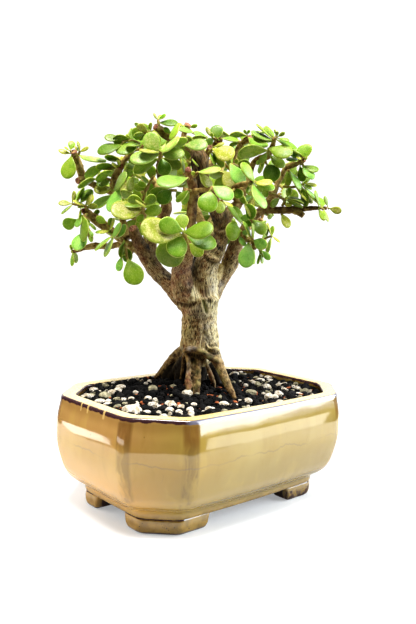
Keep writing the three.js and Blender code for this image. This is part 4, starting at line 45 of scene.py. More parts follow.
# Roots, trunk and branches: x, y, z, radius along each.
WOOD = {
    "trunk": [[-3.46,1.71,92.2,9], [-3.54,1.78,96.06,12.42], [-3.49,1.74,100.56,12.03], [-3.96,2.15,106.95,11.38], [-4.24,2.4,113.33,11.04], [-4.26,2.41,118.44,11.41], [-4.59,2.7,122.88,12.16], [-5.14,3.19,126.67,12.34]],
    "limb_left": [[-8.08,4.44,122.85,8.85], [-12.31,5.49,127.95,8.04], [-15.27,5.43,133.05,7.37], [-17.49,4.71,138.73,6.58], [-18.96,3.34,145,6.17], [-19.85,0.14,150.64,5.51], [-19.8,-3.9,156.23,3.76], [-20.05,-6.34,161.7,2.9], [-19.98,-6.4,169.5,2.77], [-19.53,-5.47,178.49,2.89], [-18.58,-4.97,185.72,2.89], [-18.26,-5.25,192.28,3.01], [-20.58,-5.88,198.59,2.81], [-25.16,-8.51,203.31,2.12], [-27.9,-11.43,204.32,1.81]],
    "limb_right": [[-2.06,1.81,124.14,8.25], [-0.99,0.87,129.91,7.61], [-1.56,1.37,136.23,8.1], [-1.79,1.57,142.55,8.22], [-0.93,0.82,148.89,7.95], [1.12,-2.32,154.67,6.6], [2.7,-5.03,159.77,5.33], [3.98,-6.16,165.43,4.51], [3.98,-6.16,171.65,4.5], [3.94,-6.12,177.23,5.37], [1.92,-4.35,183.34,5.49], [-1.49,-1.35,189.37,4.98], [-4.44,1.24,196.03,4.48], [-6,2.61,203.32,4.97], [-6.64,3.17,211.24,5.89], [-8.15,4.5,216.67,4.95], [-11.47,7.42,220.19,2.78], [-15.83,9.91,220.51,1.97], [-20.22,12.44,223.85,2.21], [-24.58,14.94,226.86,2.57], [-28,16.62,229.9,2.63], [-32.04,16.17,231.52,2.31]],
    "limb_farleft": [[-6.96,8.78,123.09,7.65], [-10.96,16.29,129.68,6.15], [-14.42,21.99,135.81,5.4], [-18.51,26.91,141.69,5.15], [-22.47,30.39,147.64,5.14], [-25.67,31.87,153.64,4.87], [-29.47,32.55,158.97,4.2], [-33.2,31.83,163.93,3.67], [-36.27,30.54,168.21,3.14], [-38.2,29.57,170,2.62]],
    "limb_up_left": [[-23.3,31.12,154.02,4.49], [-20.89,33,160.44,3.74], [-17.76,34.24,167.61,3.5], [-13.75,33.37,174.87,3.51], [-10.33,31.7,182.12,3.65], [-9.93,31.35,187.29,2.99], [-12.76,31.18,195.43,2.2], [-19.66,26.59,202.23,1.9], [-26.29,19.1,208.56,1.73], [-30.54,12.19,214.24,1.45]],
    "limb_right_back": [[4.5,2.7,127.72,6.09], [10.61,2.66,135.34,4.91], [15.19,1.29,142.5,4.93], [18.37,-0.17,150.01,5.45], [19.45,-2.45,157.52,4.91], [19.83,-5.44,164.63,3.98], [20.7,-8.87,170.41,2.94], [22.97,-10.86,175.57,2.74], [26.89,-12.97,180.8,2.81], [31.36,-15.57,183.98,2.56], [35.67,-19.36,184.34,2.43], [41.44,-24.42,184.43,2.37], [47.46,-28.38,184.95,2.31], [51.77,-32.17,185.75,1.79], [56.57,-36.38,186.25,1.47], [60.4,-39.75,186.72,1.22], [62.82,-41.88,186.43,1.22]],
    "stub_right_low": [[46.98,-27.96,184.8,1.92], [48.68,-30.79,183.26,2.17], [50.05,-33.32,181.2,1.66]],
    "limb_up_right": [[6.25,-5.49,176.11,4.52], [12.14,-5.34,182.03,3.79], [17.42,-5.98,186.72,3.44], [19.89,-6.82,191.9,2.93], [21.64,-8.36,198.26,2.54], [23.37,-9.88,205.22,2.29], [23.93,-11.7,211.41,2.02], [24.31,-14.71,214.96,1.76], [25.43,-19.68,216.55,1.62], [27.06,-22.44,216.21,1.62], [27.16,-23.86,220.08,1.49], [26.99,-26.37,224.1,1.73], [27.09,-27.79,227.31,1.48]],
    "branch_diag_left": [[-27.05,33.08,155.82,3.52], [-32,36.1,158.21,2.94], [-36.44,38.67,160.6,2.48], [-40.39,40.81,163.94,2.54], [-44.56,43.14,167.57,2.66], [-48.71,45.46,170.54,2.9], [-52.6,47.54,173.82,2.96], [-56.47,49.61,177.09,2.76], [-59.9,49.96,179.39,2.12], [-61.88,49.04,179.69,1.61]],
    "branch_low_left": [[-31.87,37.32,156.27,2.56], [-36.08,43.68,159.57,2.06], [-40.83,49.18,158.4,1.87], [-45.62,54.72,158.19,2.07], [-49.01,57.7,158.06,2.2], [-52.88,61.1,156.62,1.42], [-56.27,64.08,155,1.29], [-58.69,66.2,154.14,1.1]],
    "branch_left_mid": [[-34.95,38.69,163.81,2.68], [-35.34,41.7,170.13,2.18], [-36.25,45.15,178.39,2.05], [-38.27,46.93,185.93,1.92], [-40.54,47.59,192.12,2.04], [-41.72,47.3,196.43,1.78], [-41.56,45.83,200.76,2.09], [-41.06,42.73,204.68,2.27], [-41.6,39.21,207.5,2.13], [-43.1,36.54,208.09,1.86]],
    "branch_left_high": [[-40.54,47.59,192.12,1.66], [-44.62,52.51,194.23,1.66], [-48.44,57.2,196.67,1.99], [-51.83,60.18,199.07,2.18], [-54.17,62.23,201.82,2.5], [-56.02,62.53,206.08,2.49], [-57.97,62.91,210.93,2.42], [-59.66,63.06,214.82,2.03], [-61.37,61.9,216.96,1.89]],
    "stub_left_high": [[-53.78,61.89,201.2,2.18], [-56.48,61.6,199.82,2.1], [-58.9,61.06,198.83,2.03]],
    "branch_topleft": [[-39.91,41.72,207.52,1.64], [-37.84,39.9,211.94,1.64], [-36,38.28,215.73,1.76], [-34.49,35.63,218.76,1.51], [-33.8,32.36,221.32,1.12], [-33.24,30.53,223.06,0.87]],
    "branch_right": [[32.75,-14.13,185.55,2.57], [37.43,-15.58,190.9,2.71], [39.45,-17.35,196.39,2.06], [40.66,-18.42,201.2,1.61], [42.34,-19.89,204.88,1.48], [42.55,-21.41,208.48,1.54], [43.3,-23.4,211.58,1.85], [44.87,-27.44,213.15,1.84], [46.4,-31.45,215.08,1.9], [46.87,-34.52,216.7,2.08]],
    "branch_upright_thin": [[20.78,-4.94,192.66,1.66], [21.63,-1.7,203,1.41], [21.47,1.1,212.04,1.22], [21.97,2,217.86,1.16], [22.62,1.42,222.64,1.22], [23.87,-1.01,226.17,1.54], [25.07,-4.72,228.36,2.05], [25.61,-7.86,229.25,2.04]],
    "stub_top_mid": [[-4.63,2.74,213.25,2.61], [-0.86,2.08,218.19,1.87], [2.48,1.81,222.35,1.5], [4.39,0.13,225.06,1.87], [3.4,-2.99,225.87,2.11]],
    "stub_mid_small": [[-2.39,0.77,217.61,1.61], [-4.69,-2.53,219.2,1.47], [-7.02,-5.81,219.85,1.52]],
    "stub_top_left2": [[-6.21,6.78,216.45,2.62], [-6.89,14.04,222.53,1.64], [-8.09,17.76,227.69,1.52], [-7.7,17.42,232.04,1.89], [-7.63,14.69,235.76,2.26]],
    "twig_center": [[-18.68,-6.22,192.21,2.16], [-19.23,-12.39,192.86,1.36], [-19.84,-18.51,193.14,1.29], [-20.72,-24.39,192.71,1.27]],
    "twig_right_center": [[18.82,-7.21,188.04,2.16], [11.25,-8.55,192.48,1.63], [6.82,-13.98,196.23,1.6], [5.16,-21.84,197.84,1.63], [4.13,-28.92,198.07,1.55], [2.61,-34.24,198.38,1.12]],
    "twig_low_right": [[19.35,-7.68,167.19,2.3], [17.37,-15.26,165.62,2.14], [14.61,-22.15,164.07,1.49], [13.2,-26.24,163.16,1.59], [12.3,-28.11,159.34,1.34]],
    "root_left": [[-2.71,11.7,94.7,5.19], [-2.76,19.72,91,3.55], [-2.89,27.83,86.21,3.07], [-2.85,35.78,79.27,2.64], [-3.02,42.58,73.06,2.19], [-3.11,47.99,68,1.66], [-2.8,51.71,63.46,1.39], [-2.66,52.92,59.69,1.12]],
    "root_right": [[-2.25,-7.34,96.51,5.03], [-2.35,-11.25,91.99,4], [-1.98,-15.57,86.28,3.04], [-1.82,-19.7,80.65,2.78], [-1.68,-23.81,75.08,2.39], [-1.5,-27.96,70.52,1.59], [-1.43,-30.69,67.61,1.09]],
    "root_wrap": [[-17.48,0.72,94.09,1.74], [-16.63,-4.03,96.23,1.98], [-14.02,-7.65,95.89,2.04], [-10.74,-10.54,94.15,2.04], [-6.76,-12.69,91.31,2.04], [-3.45,-15.6,88.94,2.1]],
    "root_c1": [[-15.73,-0.82,95.42,1.81], [-16.67,-2.66,90.73,1.67], [-17.69,-4.43,84.81,1.42], [-19.67,-6.68,79.12,1.72], [-21.23,-9.3,75.38,2.32], [-22.53,-10.82,72.09,1.58], [-24.54,-13.18,58,0.95]],
    "root_c2": [[-11.61,-1.78,93.96,1.75], [-12.77,-3.42,87.98,1.5], [-14.28,-6.09,81.6,1.43], [-15.99,-8.58,75.3,1.42], [-17.84,-10.95,71.55,1.23], [-20.14,-13.88,58,0.8]],
    "root_c3": [[-10.7,-5.24,94.36,1.87], [-11.82,-6.92,88.41,1.61], [-12.99,-8.55,82.49,1.55], [-14.91,-10.86,76.82,1.54], [-16.92,-13.09,71.21,1.22], [-18.67,-15.04,58,0.8]],
    "root_c4": [[-11.91,6.47,92.23,1.65], [-11.2,8.51,86.08,1.21], [-9.75,11.23,79.04,1.09], [-8.42,14.05,72.54,1.04], [-7.3,16.42,58,0.8]],
    "root_c5": [[-4.38,-2.81,91.61,1.64], [-1.76,-3.77,84.48,1.27], [0.29,-4.25,79.85,1.65], [2.41,-4.78,74.54,1.53], [3.06,-5.35,71.32,1.15], [4.11,-6.27,58,0.8]],
    "root_c6": [[-7.59,-7.97,91.34,0.87], [-9.56,-7.58,87.04,0.62], [-11.44,-8.59,83.6,0.5]],
    "branch_back_left": [[-20.45,32.61,148.21,4.21], [-15.37,41.46,156.49,3.57], [-9.99,51.37,165.12,3.11], [-7.12,60.83,174.02,2.61], [-6.1,67.92,183.76,2.22], [-7.05,74.08,192.15,1.82], [-9.71,77.74,197.63,1.4]],
    "branch_back_center": [[5.12,-1.84,160.39,4.11], [8.94,9.45,165.43,3.63], [13.84,22.45,173.4,3.19], [17.74,33.66,183.06,2.72], [19.6,42.68,192.23,2.21], [19.47,49.45,201.4,1.81], [18.49,52.97,209.08,1.4]],
    "branch_back_right": [[21.04,0.15,156.83,3.77], [30.01,4.25,164.15,3.31], [40.77,8.11,173.14,2.97], [51.5,10.66,181.77,2.48], [60.27,10.95,189.12,2.09], [67.74,9.71,194.4,1.68], [72.03,7.27,198.78,1.33]],
    "branch_back_top": [[-3.46,5.7,206.2,3.01], [5.17,10.1,211.04,2.55], [15.05,14.73,216.19,2.22], [24.93,18.03,220.73,1.86], [34.1,19.29,225.14,1.55], [41.36,18.24,227.88,1.22]],
    "branch_back_upleft": [[-9.15,33.33,184.81,2.75], [-6.99,40.75,192.34,2.25], [-5.92,49.12,200.69,2.02], [-5.52,56.76,209.15,1.7], [-5.91,61.1,216.78,1.37], [-6.43,62.89,222.24,1.09]],
    "heel_core": [[-0.89,4.78,93.52,9], [0.09,6.57,85.36,7.12], [1.1,8.35,75.77,5.86], [1.38,8.1,62.54,5.23]],
    "heel_left": [[-2.62,11.62,90.12,4.55], [-1.97,20.36,82.84,3.96], [-0.94,28.78,75.38,3.36], [0.49,36.84,67.04,3.07], [0.89,40.48,61.49,2.41]],
    "heel_far": [[-0.53,20.44,92.74,3.3], [-0.62,28.49,84.91,3.69], [-1.03,34.18,77.28,3.73], [-0.98,39.46,68.84,3.42]],
    "heel_mid": [[-1.18,10.35,91.49,5.19], [-1.24,17.07,82.6,4.6], [-1.37,23.83,72.16,3.67], [-0.96,26.13,63.57,3.02]],
    "heel_right": [[2.87,4.14,92.01,5.17], [7.29,2.92,83.93,3.9], [11.77,1.64,74.44,2.95], [13.43,0.18,66.52,2.29]],
    "root_back_right": [[4.91,7.67,95.97,5.86], [16.76,15.89,87.94,3.77], [28.25,24.43,80.21,3.06], [37.99,31.85,72.48,2.14], [44.58,36.71,65.19,1.45]],
    "heel_fork": [[-7.1,8.9,130.12,3.31], [-3.44,9.68,138.96,3.33], [-0.49,11.08,147.86,2.96], [-0.11,9.41,156.24,2.56]],
    "fork_right": [[5.05,0.89,138.09,3.58], [9.31,1.14,144.45,3.21], [11.99,1.44,148.94,2.06]],
    "root_back_mid": [[1,11.11,95.82,5.86], [10.16,21.69,89.04,3.63], [18.83,32.71,81.24,2.78], [26.18,42.22,73.45,1.85], [30.15,46.72,67.99,1.3]],
}

# Shoots: stems (x, y, z, radius along each), then leaves: foot, tip, upper face's normal, width, roundness, tone.
SHOOTS = {
    "shoot_left_high": ([
        [[-59.99,63.35,214.5,1.01], [-62.45,62.85,216.36,0.76], [-63.49,62.43,217.51,0.57]],
        [[-59.73,60.46,213.68,0.95], [-59.92,57.97,215.56,0.82], [-60.17,56.85,216.68,0.63]],
    ], [
        [-63.49,62.43,217.76,-61.06,64.43,223.68,-0.35,-0.83,0.43,4.78,0,"g"],
        [-62.82,63.32,215.68,-69.65,66.66,217.54,-0.25,-0.81,0.53,3.91,0,"y"],
        [-63.87,62.76,217.37,-67.43,63.23,219.35,0.17,-0.84,0.52,2.05,0,"y"],
        [-62.36,62.97,214.21,-66.57,62.15,199.61,-0.72,-0.65,0.24,10.05,0,"g"],
        [-60.07,56.77,216.68,-62.33,56.09,222.73,0.44,-0.9,0.06,3.25,0,"y"],
        [-60.41,57.17,216.68,-64.03,56.37,219.26,0.35,-0.91,0.2,2.26,0,"y"],
        [-60.07,57.01,216.45,-56.82,51.49,219.18,-0.85,-0.28,0.44,3.48,0,"y"],
        [-59.67,58.86,214.67,-53.02,39.43,209.62,-0.08,-0.28,0.96,13.96,0,"w"],
    ]),
    "shoot_left_top": ([
        [[-33.67,29.58,222.13,0.75], [-36.04,30.33,223.31,0.68], [-38.71,31.35,223.81,0.68], [-42.29,33.16,223.12,0.68], [-44.31,33.61,221.41,0.62]],
    ], [
        [-44.28,34.41,224.45,-53.24,39.62,224.63,-0.37,-0.66,0.66,6.84,0,"o"],
        [-38.99,31.5,224.1,-49.32,36.59,223.44,0.3,0.69,0.66,7.61,0,"o"],
        [-44.21,33.52,220.51,-58.56,38.14,214.04,-0.48,-0.45,0.75,10.83,0,"d"],
        [-34.56,29.75,223.13,-49.36,30.77,214.75,-0.45,-0.52,0.73,11.25,0,"g"],
        [-38.88,31.44,223.98,-42.18,32.14,226.78,0.42,0.86,0.28,2.35,0,"y"],
        [-34.22,29.87,221.84,-45.47,23.78,218.89,-0.18,-0.14,0.97,8.67,0,"w"],
    ]),
    "shoot_left_stub": ([
        [[-35.88,40.84,210.65,1.01], [-38.78,40.73,211.59,0.76], [-41.24,41.56,212.02,0.63]],
        [[-42.53,38.69,206.94,1], [-46.45,36.82,207.42,0.87], [-48.85,36.26,206.17,0.74], [-51.98,39.01,205.2,0.68], [-53.38,40.24,205.51,0.62]],
    ], [
        [-39.13,40.79,212.18,-47.85,47.66,214.2,0.39,0.23,0.89,7.45,0,"d"],
        [-41.47,41.76,211.7,-47.04,46.92,212.87,-0.28,-0.49,0.83,3.84,0,"w"],
        [-39.31,41.09,212.5,-40.69,49.43,215.54,-0.05,-0.35,0.94,5.93,0,"y"],
        [-35.3,41.41,212.31,-38.29,43.7,215.04,-0.41,-0.87,0.28,2.32,0,"y"],
        [-36.25,39.43,211.14,-38.46,29.5,205.63,-0.18,-0.45,0.88,7.63,0,"g"],
        [-36.71,39.84,210.19,-44.92,29.75,203.23,-0.82,0.53,0.2,9.74,0,"y"],
        [-47.12,36.93,207.73,-59.05,39.43,206.54,0.01,0.48,0.88,8.08,0,"o"],
        [-44.46,36.95,207.99,-51.34,33.61,208.11,0.38,-0.78,0.5,3.83,0,"y"],
        [-44.7,36.8,208.08,-47.85,31.51,210.78,0.74,-0.1,0.67,3.36,0,"y"],
        [-53.7,39.73,205.81,-58.62,53.1,201.9,-0.86,-0.18,0.48,9.75,0,"g"],
        [-49.16,35.73,204.78,-60.15,38.13,198.26,-0.24,0.71,0.66,8.58,0,"d"],
    ]),
    "shoot_left_mid": ([
        [[-43.25,44.65,193.37,1.07], [-46.1,40.5,192.8,0.88], [-47.98,38.16,195.5,0.74], [-49.13,37.84,199.06,0.68], [-52.23,41.89,200.24,0.62], [-54.48,45.2,199.85,0.56]],
        [[-42.1,44.97,191.59,1.08], [-46.63,38.3,191.19,0.93], [-48.3,33.11,191.84,0.74], [-48.71,29.48,193.72,0.61]],
    ], [
        [-48.38,38.78,199.42,-56.42,42.45,195.7,-0.54,-0.69,0.49,6.33,0,"w"],
        [-46.93,39.72,193.81,-57.04,44.6,192.39,-0.43,-0.73,0.53,7.47,0,"y"],
        [-55.64,44.49,199.59,-69.46,41.99,193.79,-0.41,0.48,0.78,10.03,0,"d"],
        [-51.33,41.03,200.02,-47.54,57.67,205.62,0.66,-0.37,0.65,11.86,0,"d"],
        [-47.82,36.53,192.38,-48.98,21.18,201.39,-0.93,0.24,0.29,11.77,0,"w"],
        [-44.99,42.6,190.67,-55.09,48.54,181.68,-0.72,-0.28,0.63,9.75,0,"w"],
        [-48.49,29.29,194.33,-54.84,30.27,179.11,-0.88,-0.33,0.35,10.9,0,"b"],
        [-47.04,36.68,191.22,-37.34,41.47,184.58,0.51,0.15,0.85,8.38,0,"d"],
    ]),
    "shoot_left_low": ([
        [[-59.69,48.44,180.91,1.24], [-61.31,47.21,182.39,1.05], [-64.35,48.54,182.97,0.86], [-66.9,50.79,183.36,0.74], [-68.16,51.89,183.8,0.62]],
        [[-60.75,46.72,177.44,1.05], [-63.19,44.87,176.06,0.92], [-62.75,43.15,171.48,0.86], [-61.53,43.41,166.64,0.8], [-59.17,45.32,163.01,0.75]],
    ], [
        [-66.21,50.18,184.24,-59.88,50.81,194.04,-0.64,0.67,0.37,7.71,0,"d"],
        [-65.56,49.61,184.27,-61.88,54.36,191.69,-0.92,0.17,0.35,6.3,0,"w"],
        [-64.12,48.35,184.32,-56.31,48.14,193.09,-0.67,-0.46,0.58,7.75,0,"w"],
        [-67.98,51.73,184.17,-67.95,49.04,191.51,-0.97,-0.22,-0.08,3.91,0,"y"],
        [-68.25,51.97,183.67,-75.46,55.64,183.57,-0.32,-0.61,0.73,5.34,0,"y"],
        [-67.78,51.56,183.2,-73.98,54.35,176.98,-0.67,0.13,0.73,6.08,0,"g"],
        [-61.45,47.23,182.99,-60.16,39.44,188.2,-0.98,-0.02,0.22,6.24,0,"y"],
        [-61.45,47.22,183.11,-70.44,45.8,184.69,0.22,-0.46,0.86,6.09,0,"y"],
        [-60.74,47.44,182.06,-55.23,42.87,182.77,-0.63,-0.77,-0.07,4.09,0,"y"],
        [-61.86,47.47,182.12,-67.83,44.73,181.21,0.03,-0.37,0.93,3.32,0,"y"],
        [-64.58,46.09,176.55,-68.43,45.47,169.18,-0.85,-0.26,0.46,5.5,0,"b"],
        [-63.83,48.42,180.92,-65.98,46.25,172.82,-0.73,0.69,0.01,5.71,0,"d"],
        [-66.53,47.62,174.09,-71.36,57.18,170.07,-0.82,-0.52,-0.24,7.76,0,"g"],
        [-64.12,45.68,176.45,-68.28,36.03,161.26,-0.97,0.15,0.17,12.19,0,"o"],
        [-62.45,44,167.21,-70.44,43.03,155.16,-0.64,-0.6,0.47,9.56,0,"b"],
        [-62.04,42.88,170.29,-58.25,44.87,160.37,0.94,-0.1,0.34,7.13,0,"o"],
        [-61.29,42.89,167.87,-60.46,39.5,163.88,-0.49,-0.71,0.5,2.65,0,"g"],
        [-62.43,43.76,174.8,-58.01,47.87,170.23,0.53,-0.82,-0.22,3.78,0,"g"],
        [-62.04,42.7,172.36,-55.28,43.81,168.53,0.41,-0.77,0.5,3.93,0,"w"],
    ]),
    "shoot_left_tip_low": ([
        [[-58.01,65.61,154.1,0.78], [-59.66,67.05,153.78,0.71]],
    ], [
        [-59.49,65.58,154.2,-62.51,63.7,158.46,0.41,-0.91,-0.11,2.77,0,"g"],
        [-59.04,65.84,153.82,-60.54,63.57,144.62,-0.98,0.15,0.12,6.33,0,"g"],
        [-58.95,66.76,153.67,-52.53,70.91,147.57,0.55,-0.83,0.01,6.45,0,"g"],
    ]),
    "shoot_left_inner": ([
        [[-48.02,39.53,166.89,1], [-49.27,39.29,170.44,0.81], [-49.4,40.74,172.3,0.69], [-50.91,47.39,176.65,0.63], [-52.47,51.42,178.89,0.63]],
        [[-42.05,35.61,162.87,1.07], [-46.1,33.84,164.63,0.93], [-49.63,32.96,164.89,0.8], [-51.66,32.08,164.59,0.61]],
    ], [
        [-52.94,51.84,178.62,-50.81,47.3,180.28,0.84,0.48,0.23,3.04,0,"d"],
        [-49.48,41.09,172.55,-56.1,42.92,176.21,0.34,0.93,0.15,4.88,0,"d"],
        [-49.27,39.54,170.81,-48.56,36.26,175.76,0.63,0.68,0.36,3.99,0,"g"],
        [-48.34,39.31,168.24,-55.99,39.38,166.11,-0.25,-0.34,0.9,3.97,0,"y"],
        [-50.08,40.93,167.37,-55.84,44.26,166.47,-0.39,-0.46,0.8,3.36,0,"g"],
        [-48.49,39.31,168.61,-50.66,30.57,174.62,-0.89,0.39,0.24,7.14,0,"y"],
        [-51.66,32.08,164.46,-60.39,37.08,155.25,-0.65,0.2,0.73,9.01,0,"g"],
        [-49.73,32.79,164.27,-56.08,33.04,151.69,-0.87,0.21,0.44,9.3,0,"w"],
        [-51.65,32.06,163.36,-50.71,23.25,172.26,-0.94,0.19,0.28,8.29,0,"b"],
        [-45.35,34.49,163.78,-44.93,26.13,171.19,-0.98,0.12,0.19,7.38,0,"b"],
        [-47.49,33.53,164.46,-43.29,33.84,169.19,-0.3,-0.89,0.33,4.96,0.26,"d"],
        [-44.12,34.09,163.2,-48.66,40.8,166.11,0.5,-0.04,0.86,5.68,0,"o"],
    ]),
    "shoot_left_drop": ([
        [[-36.3,35.89,158.37,1.21], [-42.29,30.5,159.58,1.06], [-44.99,26.22,156.28,0.92], [-46.09,23.19,152.18,0.86], [-46.93,21.26,150.53,0.73]],
    ], [
        [-43.26,31.35,162.02,-46.02,29.78,151.12,0.2,-0.98,0.09,7.49,0,"o"],
        [-43.44,28.55,158.1,-44.89,21.83,149.31,-0.89,-0.27,0.35,7.37,0,"d"],
        [-48.21,25.69,152.2,-50.87,25.36,143.16,-0.94,-0.18,0.28,6.22,0,"b"],
        [-46.75,21.1,150.53,-44.1,13.45,135.72,-0.63,-0.73,0.26,12.55,0.09,"o"],
    ]),
    "shoot_left_big": ([
        [[-28.79,29.28,177.91,1.26], [-36.54,20.12,180.42,1.1], [-41.36,13.71,182.41,0.96], [-43.2,10,184.28,0.77]],
        [[-25.95,30.79,158.44,0.96], [-25.8,34.64,169.23,0.9], [-26.93,35.64,180.63,0.83], [-27.46,33.44,188.76,0.79], [-28.48,29.02,194.77,0.82], [-29.13,24.26,198.82,0.78], [-29.02,20.17,202.52,0.68]],
    ], [
        [-39.52,17.27,181.4,-61.23,17.58,177.24,-0.13,-0.76,0.64,14.6,0,"y"],
        [-35.39,21.91,179.91,-29.31,11.25,181.26,-0.84,-0.44,0.33,8.15,0,"g"],
        [-41.85,11.02,183.27,-39.43,4.91,189.25,0.73,0.6,0.32,5.98,0,"g"],
        [-41.31,11.55,182.84,-51.1,6.84,184.68,0.37,-0.45,0.82,7.27,0,"y"],
        [-43.84,10.56,185.14,-52.55,14.22,186.55,0.41,0.81,0.42,6.31,0,"o"],
        [-32.92,24.68,179.17,-37.18,25.76,173.74,-0.44,-0.88,0.17,4.67,0,"g"],
        [-41.86,13.84,182.68,-51.57,22.57,184.51,-0.24,-0.44,0.86,8.7,0,"g"],
        [-27.78,34.25,187.19,-29.98,40.18,194.5,0.95,0.32,0.02,6.38,0,"o"],
        [-28.7,29.56,194.46,-36.03,32.02,196.17,0.34,0.93,0.14,5.04,0,"o"],
        [-28.73,28.28,195.59,-33.23,30.9,198.69,-0.55,-0.83,-0.1,4.14,0,"g"],
        [-36.05,31.98,202.33,-42.34,29.52,192.75,0.35,-0.94,0.01,7.74,0,"o"],
        [-29.13,24.26,198.82,-29.6,32.66,201.95,0.78,-0.18,0.6,5.92,0,"d"],
    ]),
    "shoot_mid_shade": ([
        [[-14.34,27.24,190.71,1.22], [-18.05,19.85,193,1.07], [-20.44,13.97,193.87,0.93], [-20.37,8.57,193.53,0.8]],
    ], [
        [-20.43,13.2,194.21,-29.31,15.68,185.86,-0.4,-0.9,0.15,8.8,0,"d"],
        [-20.48,17.01,195.11,-31.24,22.47,188.14,0.23,0.91,0.35,9.2,0,"d"],
        [-20.37,8.65,193.17,-14.54,10.19,188.56,0.21,0.82,0.54,5.53,0.04,"d"],
        [-19.68,15.94,193.65,-20.2,19.06,185.98,0.63,0.73,0.25,5.61,0,"d"],
    ]),
    "shoot_center_left": ([
        [[-23.42,-8.71,192.7,0.89], [-26.21,-10.25,192.43,0.77]],
        [[-27.16,-10.75,199.17,0.94], [-29.42,-12.76,198.98,0.81]],
    ], [
        [-25.38,-9.78,192.86,-32.07,-6.57,185.16,-0.77,-0.11,0.62,7.06,0,"g"],
        [-25.4,-10.03,191.8,-24.77,-4.53,184.15,-0.14,0.81,0.57,6.23,0,"d"],
        [-29.11,-12.56,199.25,-47.75,-8.16,194.16,-0.34,-0.49,0.8,13.08,0,"w"],
    ]),
    "shoot_upper_left": ([
        [[-29.51,13.94,211.5,1.1], [-33.09,9.11,214.01,1.14], [-35.36,5.77,215.31,0.95]],
    ], [
        [-35.63,6.01,215.77,-40.77,13.19,225.75,-0.74,-0.66,0.09,10.7,0.33,"w"],
        [-35.1,6.69,215.07,-47.9,9.95,214.72,-0.11,-0.33,0.94,8.72,0,"y"],
        [-33.55,8.71,214.23,-51.26,13.61,208.52,-0.39,-0.56,0.73,12.7,0,"w"],
        [-31.05,13.34,212.13,-43.48,21.6,203.22,0.01,0.74,0.68,11.47,0,"d"],
        [-35.45,5.85,215.54,-35.55,-11.36,220.41,-0.78,0.17,0.6,11.81,0,"w"],
        [-34.75,6.17,215.06,-22.6,-3.44,223.58,-0.14,0.55,0.82,11.67,0,"o"],
        [-32.99,7.86,214.22,-27.3,-6.45,212.99,-0.69,-0.33,0.64,10.2,0,"w"],
        [-30.24,11.61,212.44,-30.4,6.42,201.37,-0.67,-0.67,0.32,8.85,0.01,"d"],
        [-29.98,11.35,212.45,-17.69,8.54,207.18,0.44,0.51,0.74,9.02,0,"o"],
    ]),
    "shoot_top_left": ([
        [[-33.05,15.72,228.66,0.79], [-33.12,18.45,228.22,0.79], [-34.08,20.63,228.33,0.73], [-35.51,23.21,228.05,0.67]],
        [[-30.49,14.8,231.52,0.85], [-30.62,14.92,233.89,0.91], [-30.83,15.1,235.54,0.67]],
    ], [
        [-34.09,20.63,228.68,-41.58,21.89,231.27,-0.22,-0.96,-0.17,5.3,0,"y"],
        [-34.25,20.84,229.04,-37.29,30.17,233.5,0.56,-0.2,0.8,7.11,0,"o"],
        [-33.98,17.7,228.63,-37.15,14.16,232.78,-0.22,0.82,0.53,3.15,0,"y"],
        [-35.79,23.46,228.4,-39.31,30.07,227.12,-0.83,-0.49,-0.25,7.7,1,"g"],
        [-35.34,23,227.21,-43.29,22,225.97,-0.19,0.46,0.87,5.35,0,"o"],
        [-33.02,18.36,227.87,-33.06,9.08,222.91,0.82,-0.27,0.5,6.95,0,"o"],
        [-34.52,21.46,227.88,-35.62,27.75,224.03,0.62,0.48,0.61,3.73,0,"o"],
        [-30.92,15.18,235.3,-34.17,15.38,238.88,0.14,-0.97,0.18,2.42,0,"y"],
        [-30.64,14.94,235.43,-28.37,10.28,238.45,-0.91,-0.23,0.34,3,0,"g"],
        [-30.83,15.11,235.66,-27.61,16.27,239,-0.57,-0.42,0.7,2.39,0,"y"],
        [-30.55,14.59,233.62,-22.61,5.89,233.26,-0.46,-0.45,0.77,7.78,0,"d"],
    ]),
    "shoot_top_b": ([
        [[-23.04,10.92,225.88,0.73], [-22.42,7.71,229.09,0.67], [-22.21,7.53,232.37,0.61]],
    ], [
        [-23.21,6.68,233.03,-31.48,-2.02,223.54,-0.82,0.21,0.52,10.1,0,"g"],
        [-23.64,10.8,227.35,-28.98,11.96,230.7,-0.32,-0.93,-0.19,3.2,0,"g"],
        [-19.02,4.73,232.43,-21.31,9.67,233.39,-0.84,-0.45,0.31,2.77,0,"y"],
    ]),
    "shoot_top_mid": ([
        [[-5.44,15.43,232.74,0.88], [-6.18,12.09,230.82,0.75], [-5.05,5.77,228.36,0.68], [-2.41,2.12,227.11,0.68]],
    ], [
        [-4.93,16.31,234.52,-1.55,12.54,235.92,-0.69,-0.69,-0.19,2.66,0,"g"],
        [-5.96,10.98,230.48,-18.77,12.91,231.99,0,-0.61,0.79,8.61,0,"w"],
        [-2.4,2.16,227.72,-10.79,5.54,229.42,-0.13,-0.68,0.73,6.08,0,"w"],
        [-1.93,1.7,226.52,-11.77,5.01,226.35,0.05,0.21,0.98,6.85,0,"d"],
    ]),
    "shoot_mid_pale": ([
        [[-14.44,3.37,218.05,0.92], [-18.94,3.33,219.69,0.91]],
    ], [
        [-18.92,3.58,220.55,-12.12,-9.91,219.55,-0.7,-0.4,0.6,10,0,"w"],
        [-17.33,3.53,218.58,-20.75,5.35,220.01,0.52,0.83,0.19,2.07,0,"o"],
        [-13.47,2.18,212.29,-16.95,-5.88,208.73,0.49,-0.52,0.7,6.25,0,"g"],
    ]),
    "shoot_top_right": ([
        [[1.75,-1.53,224.71,0.87], [0.01,-2.67,225.97,0.86], [-1.32,-2.84,226.64,0.68]],
    ], [
        [-2.25,-2.01,227.09,-6.18,-1.22,232.56,-0.12,-0.99,0.06,3.39,0,"y"],
        [1.3,-3.62,226.4,2.36,-0.56,235,-0.68,-0.66,0.32,8.15,0.67,"d"],
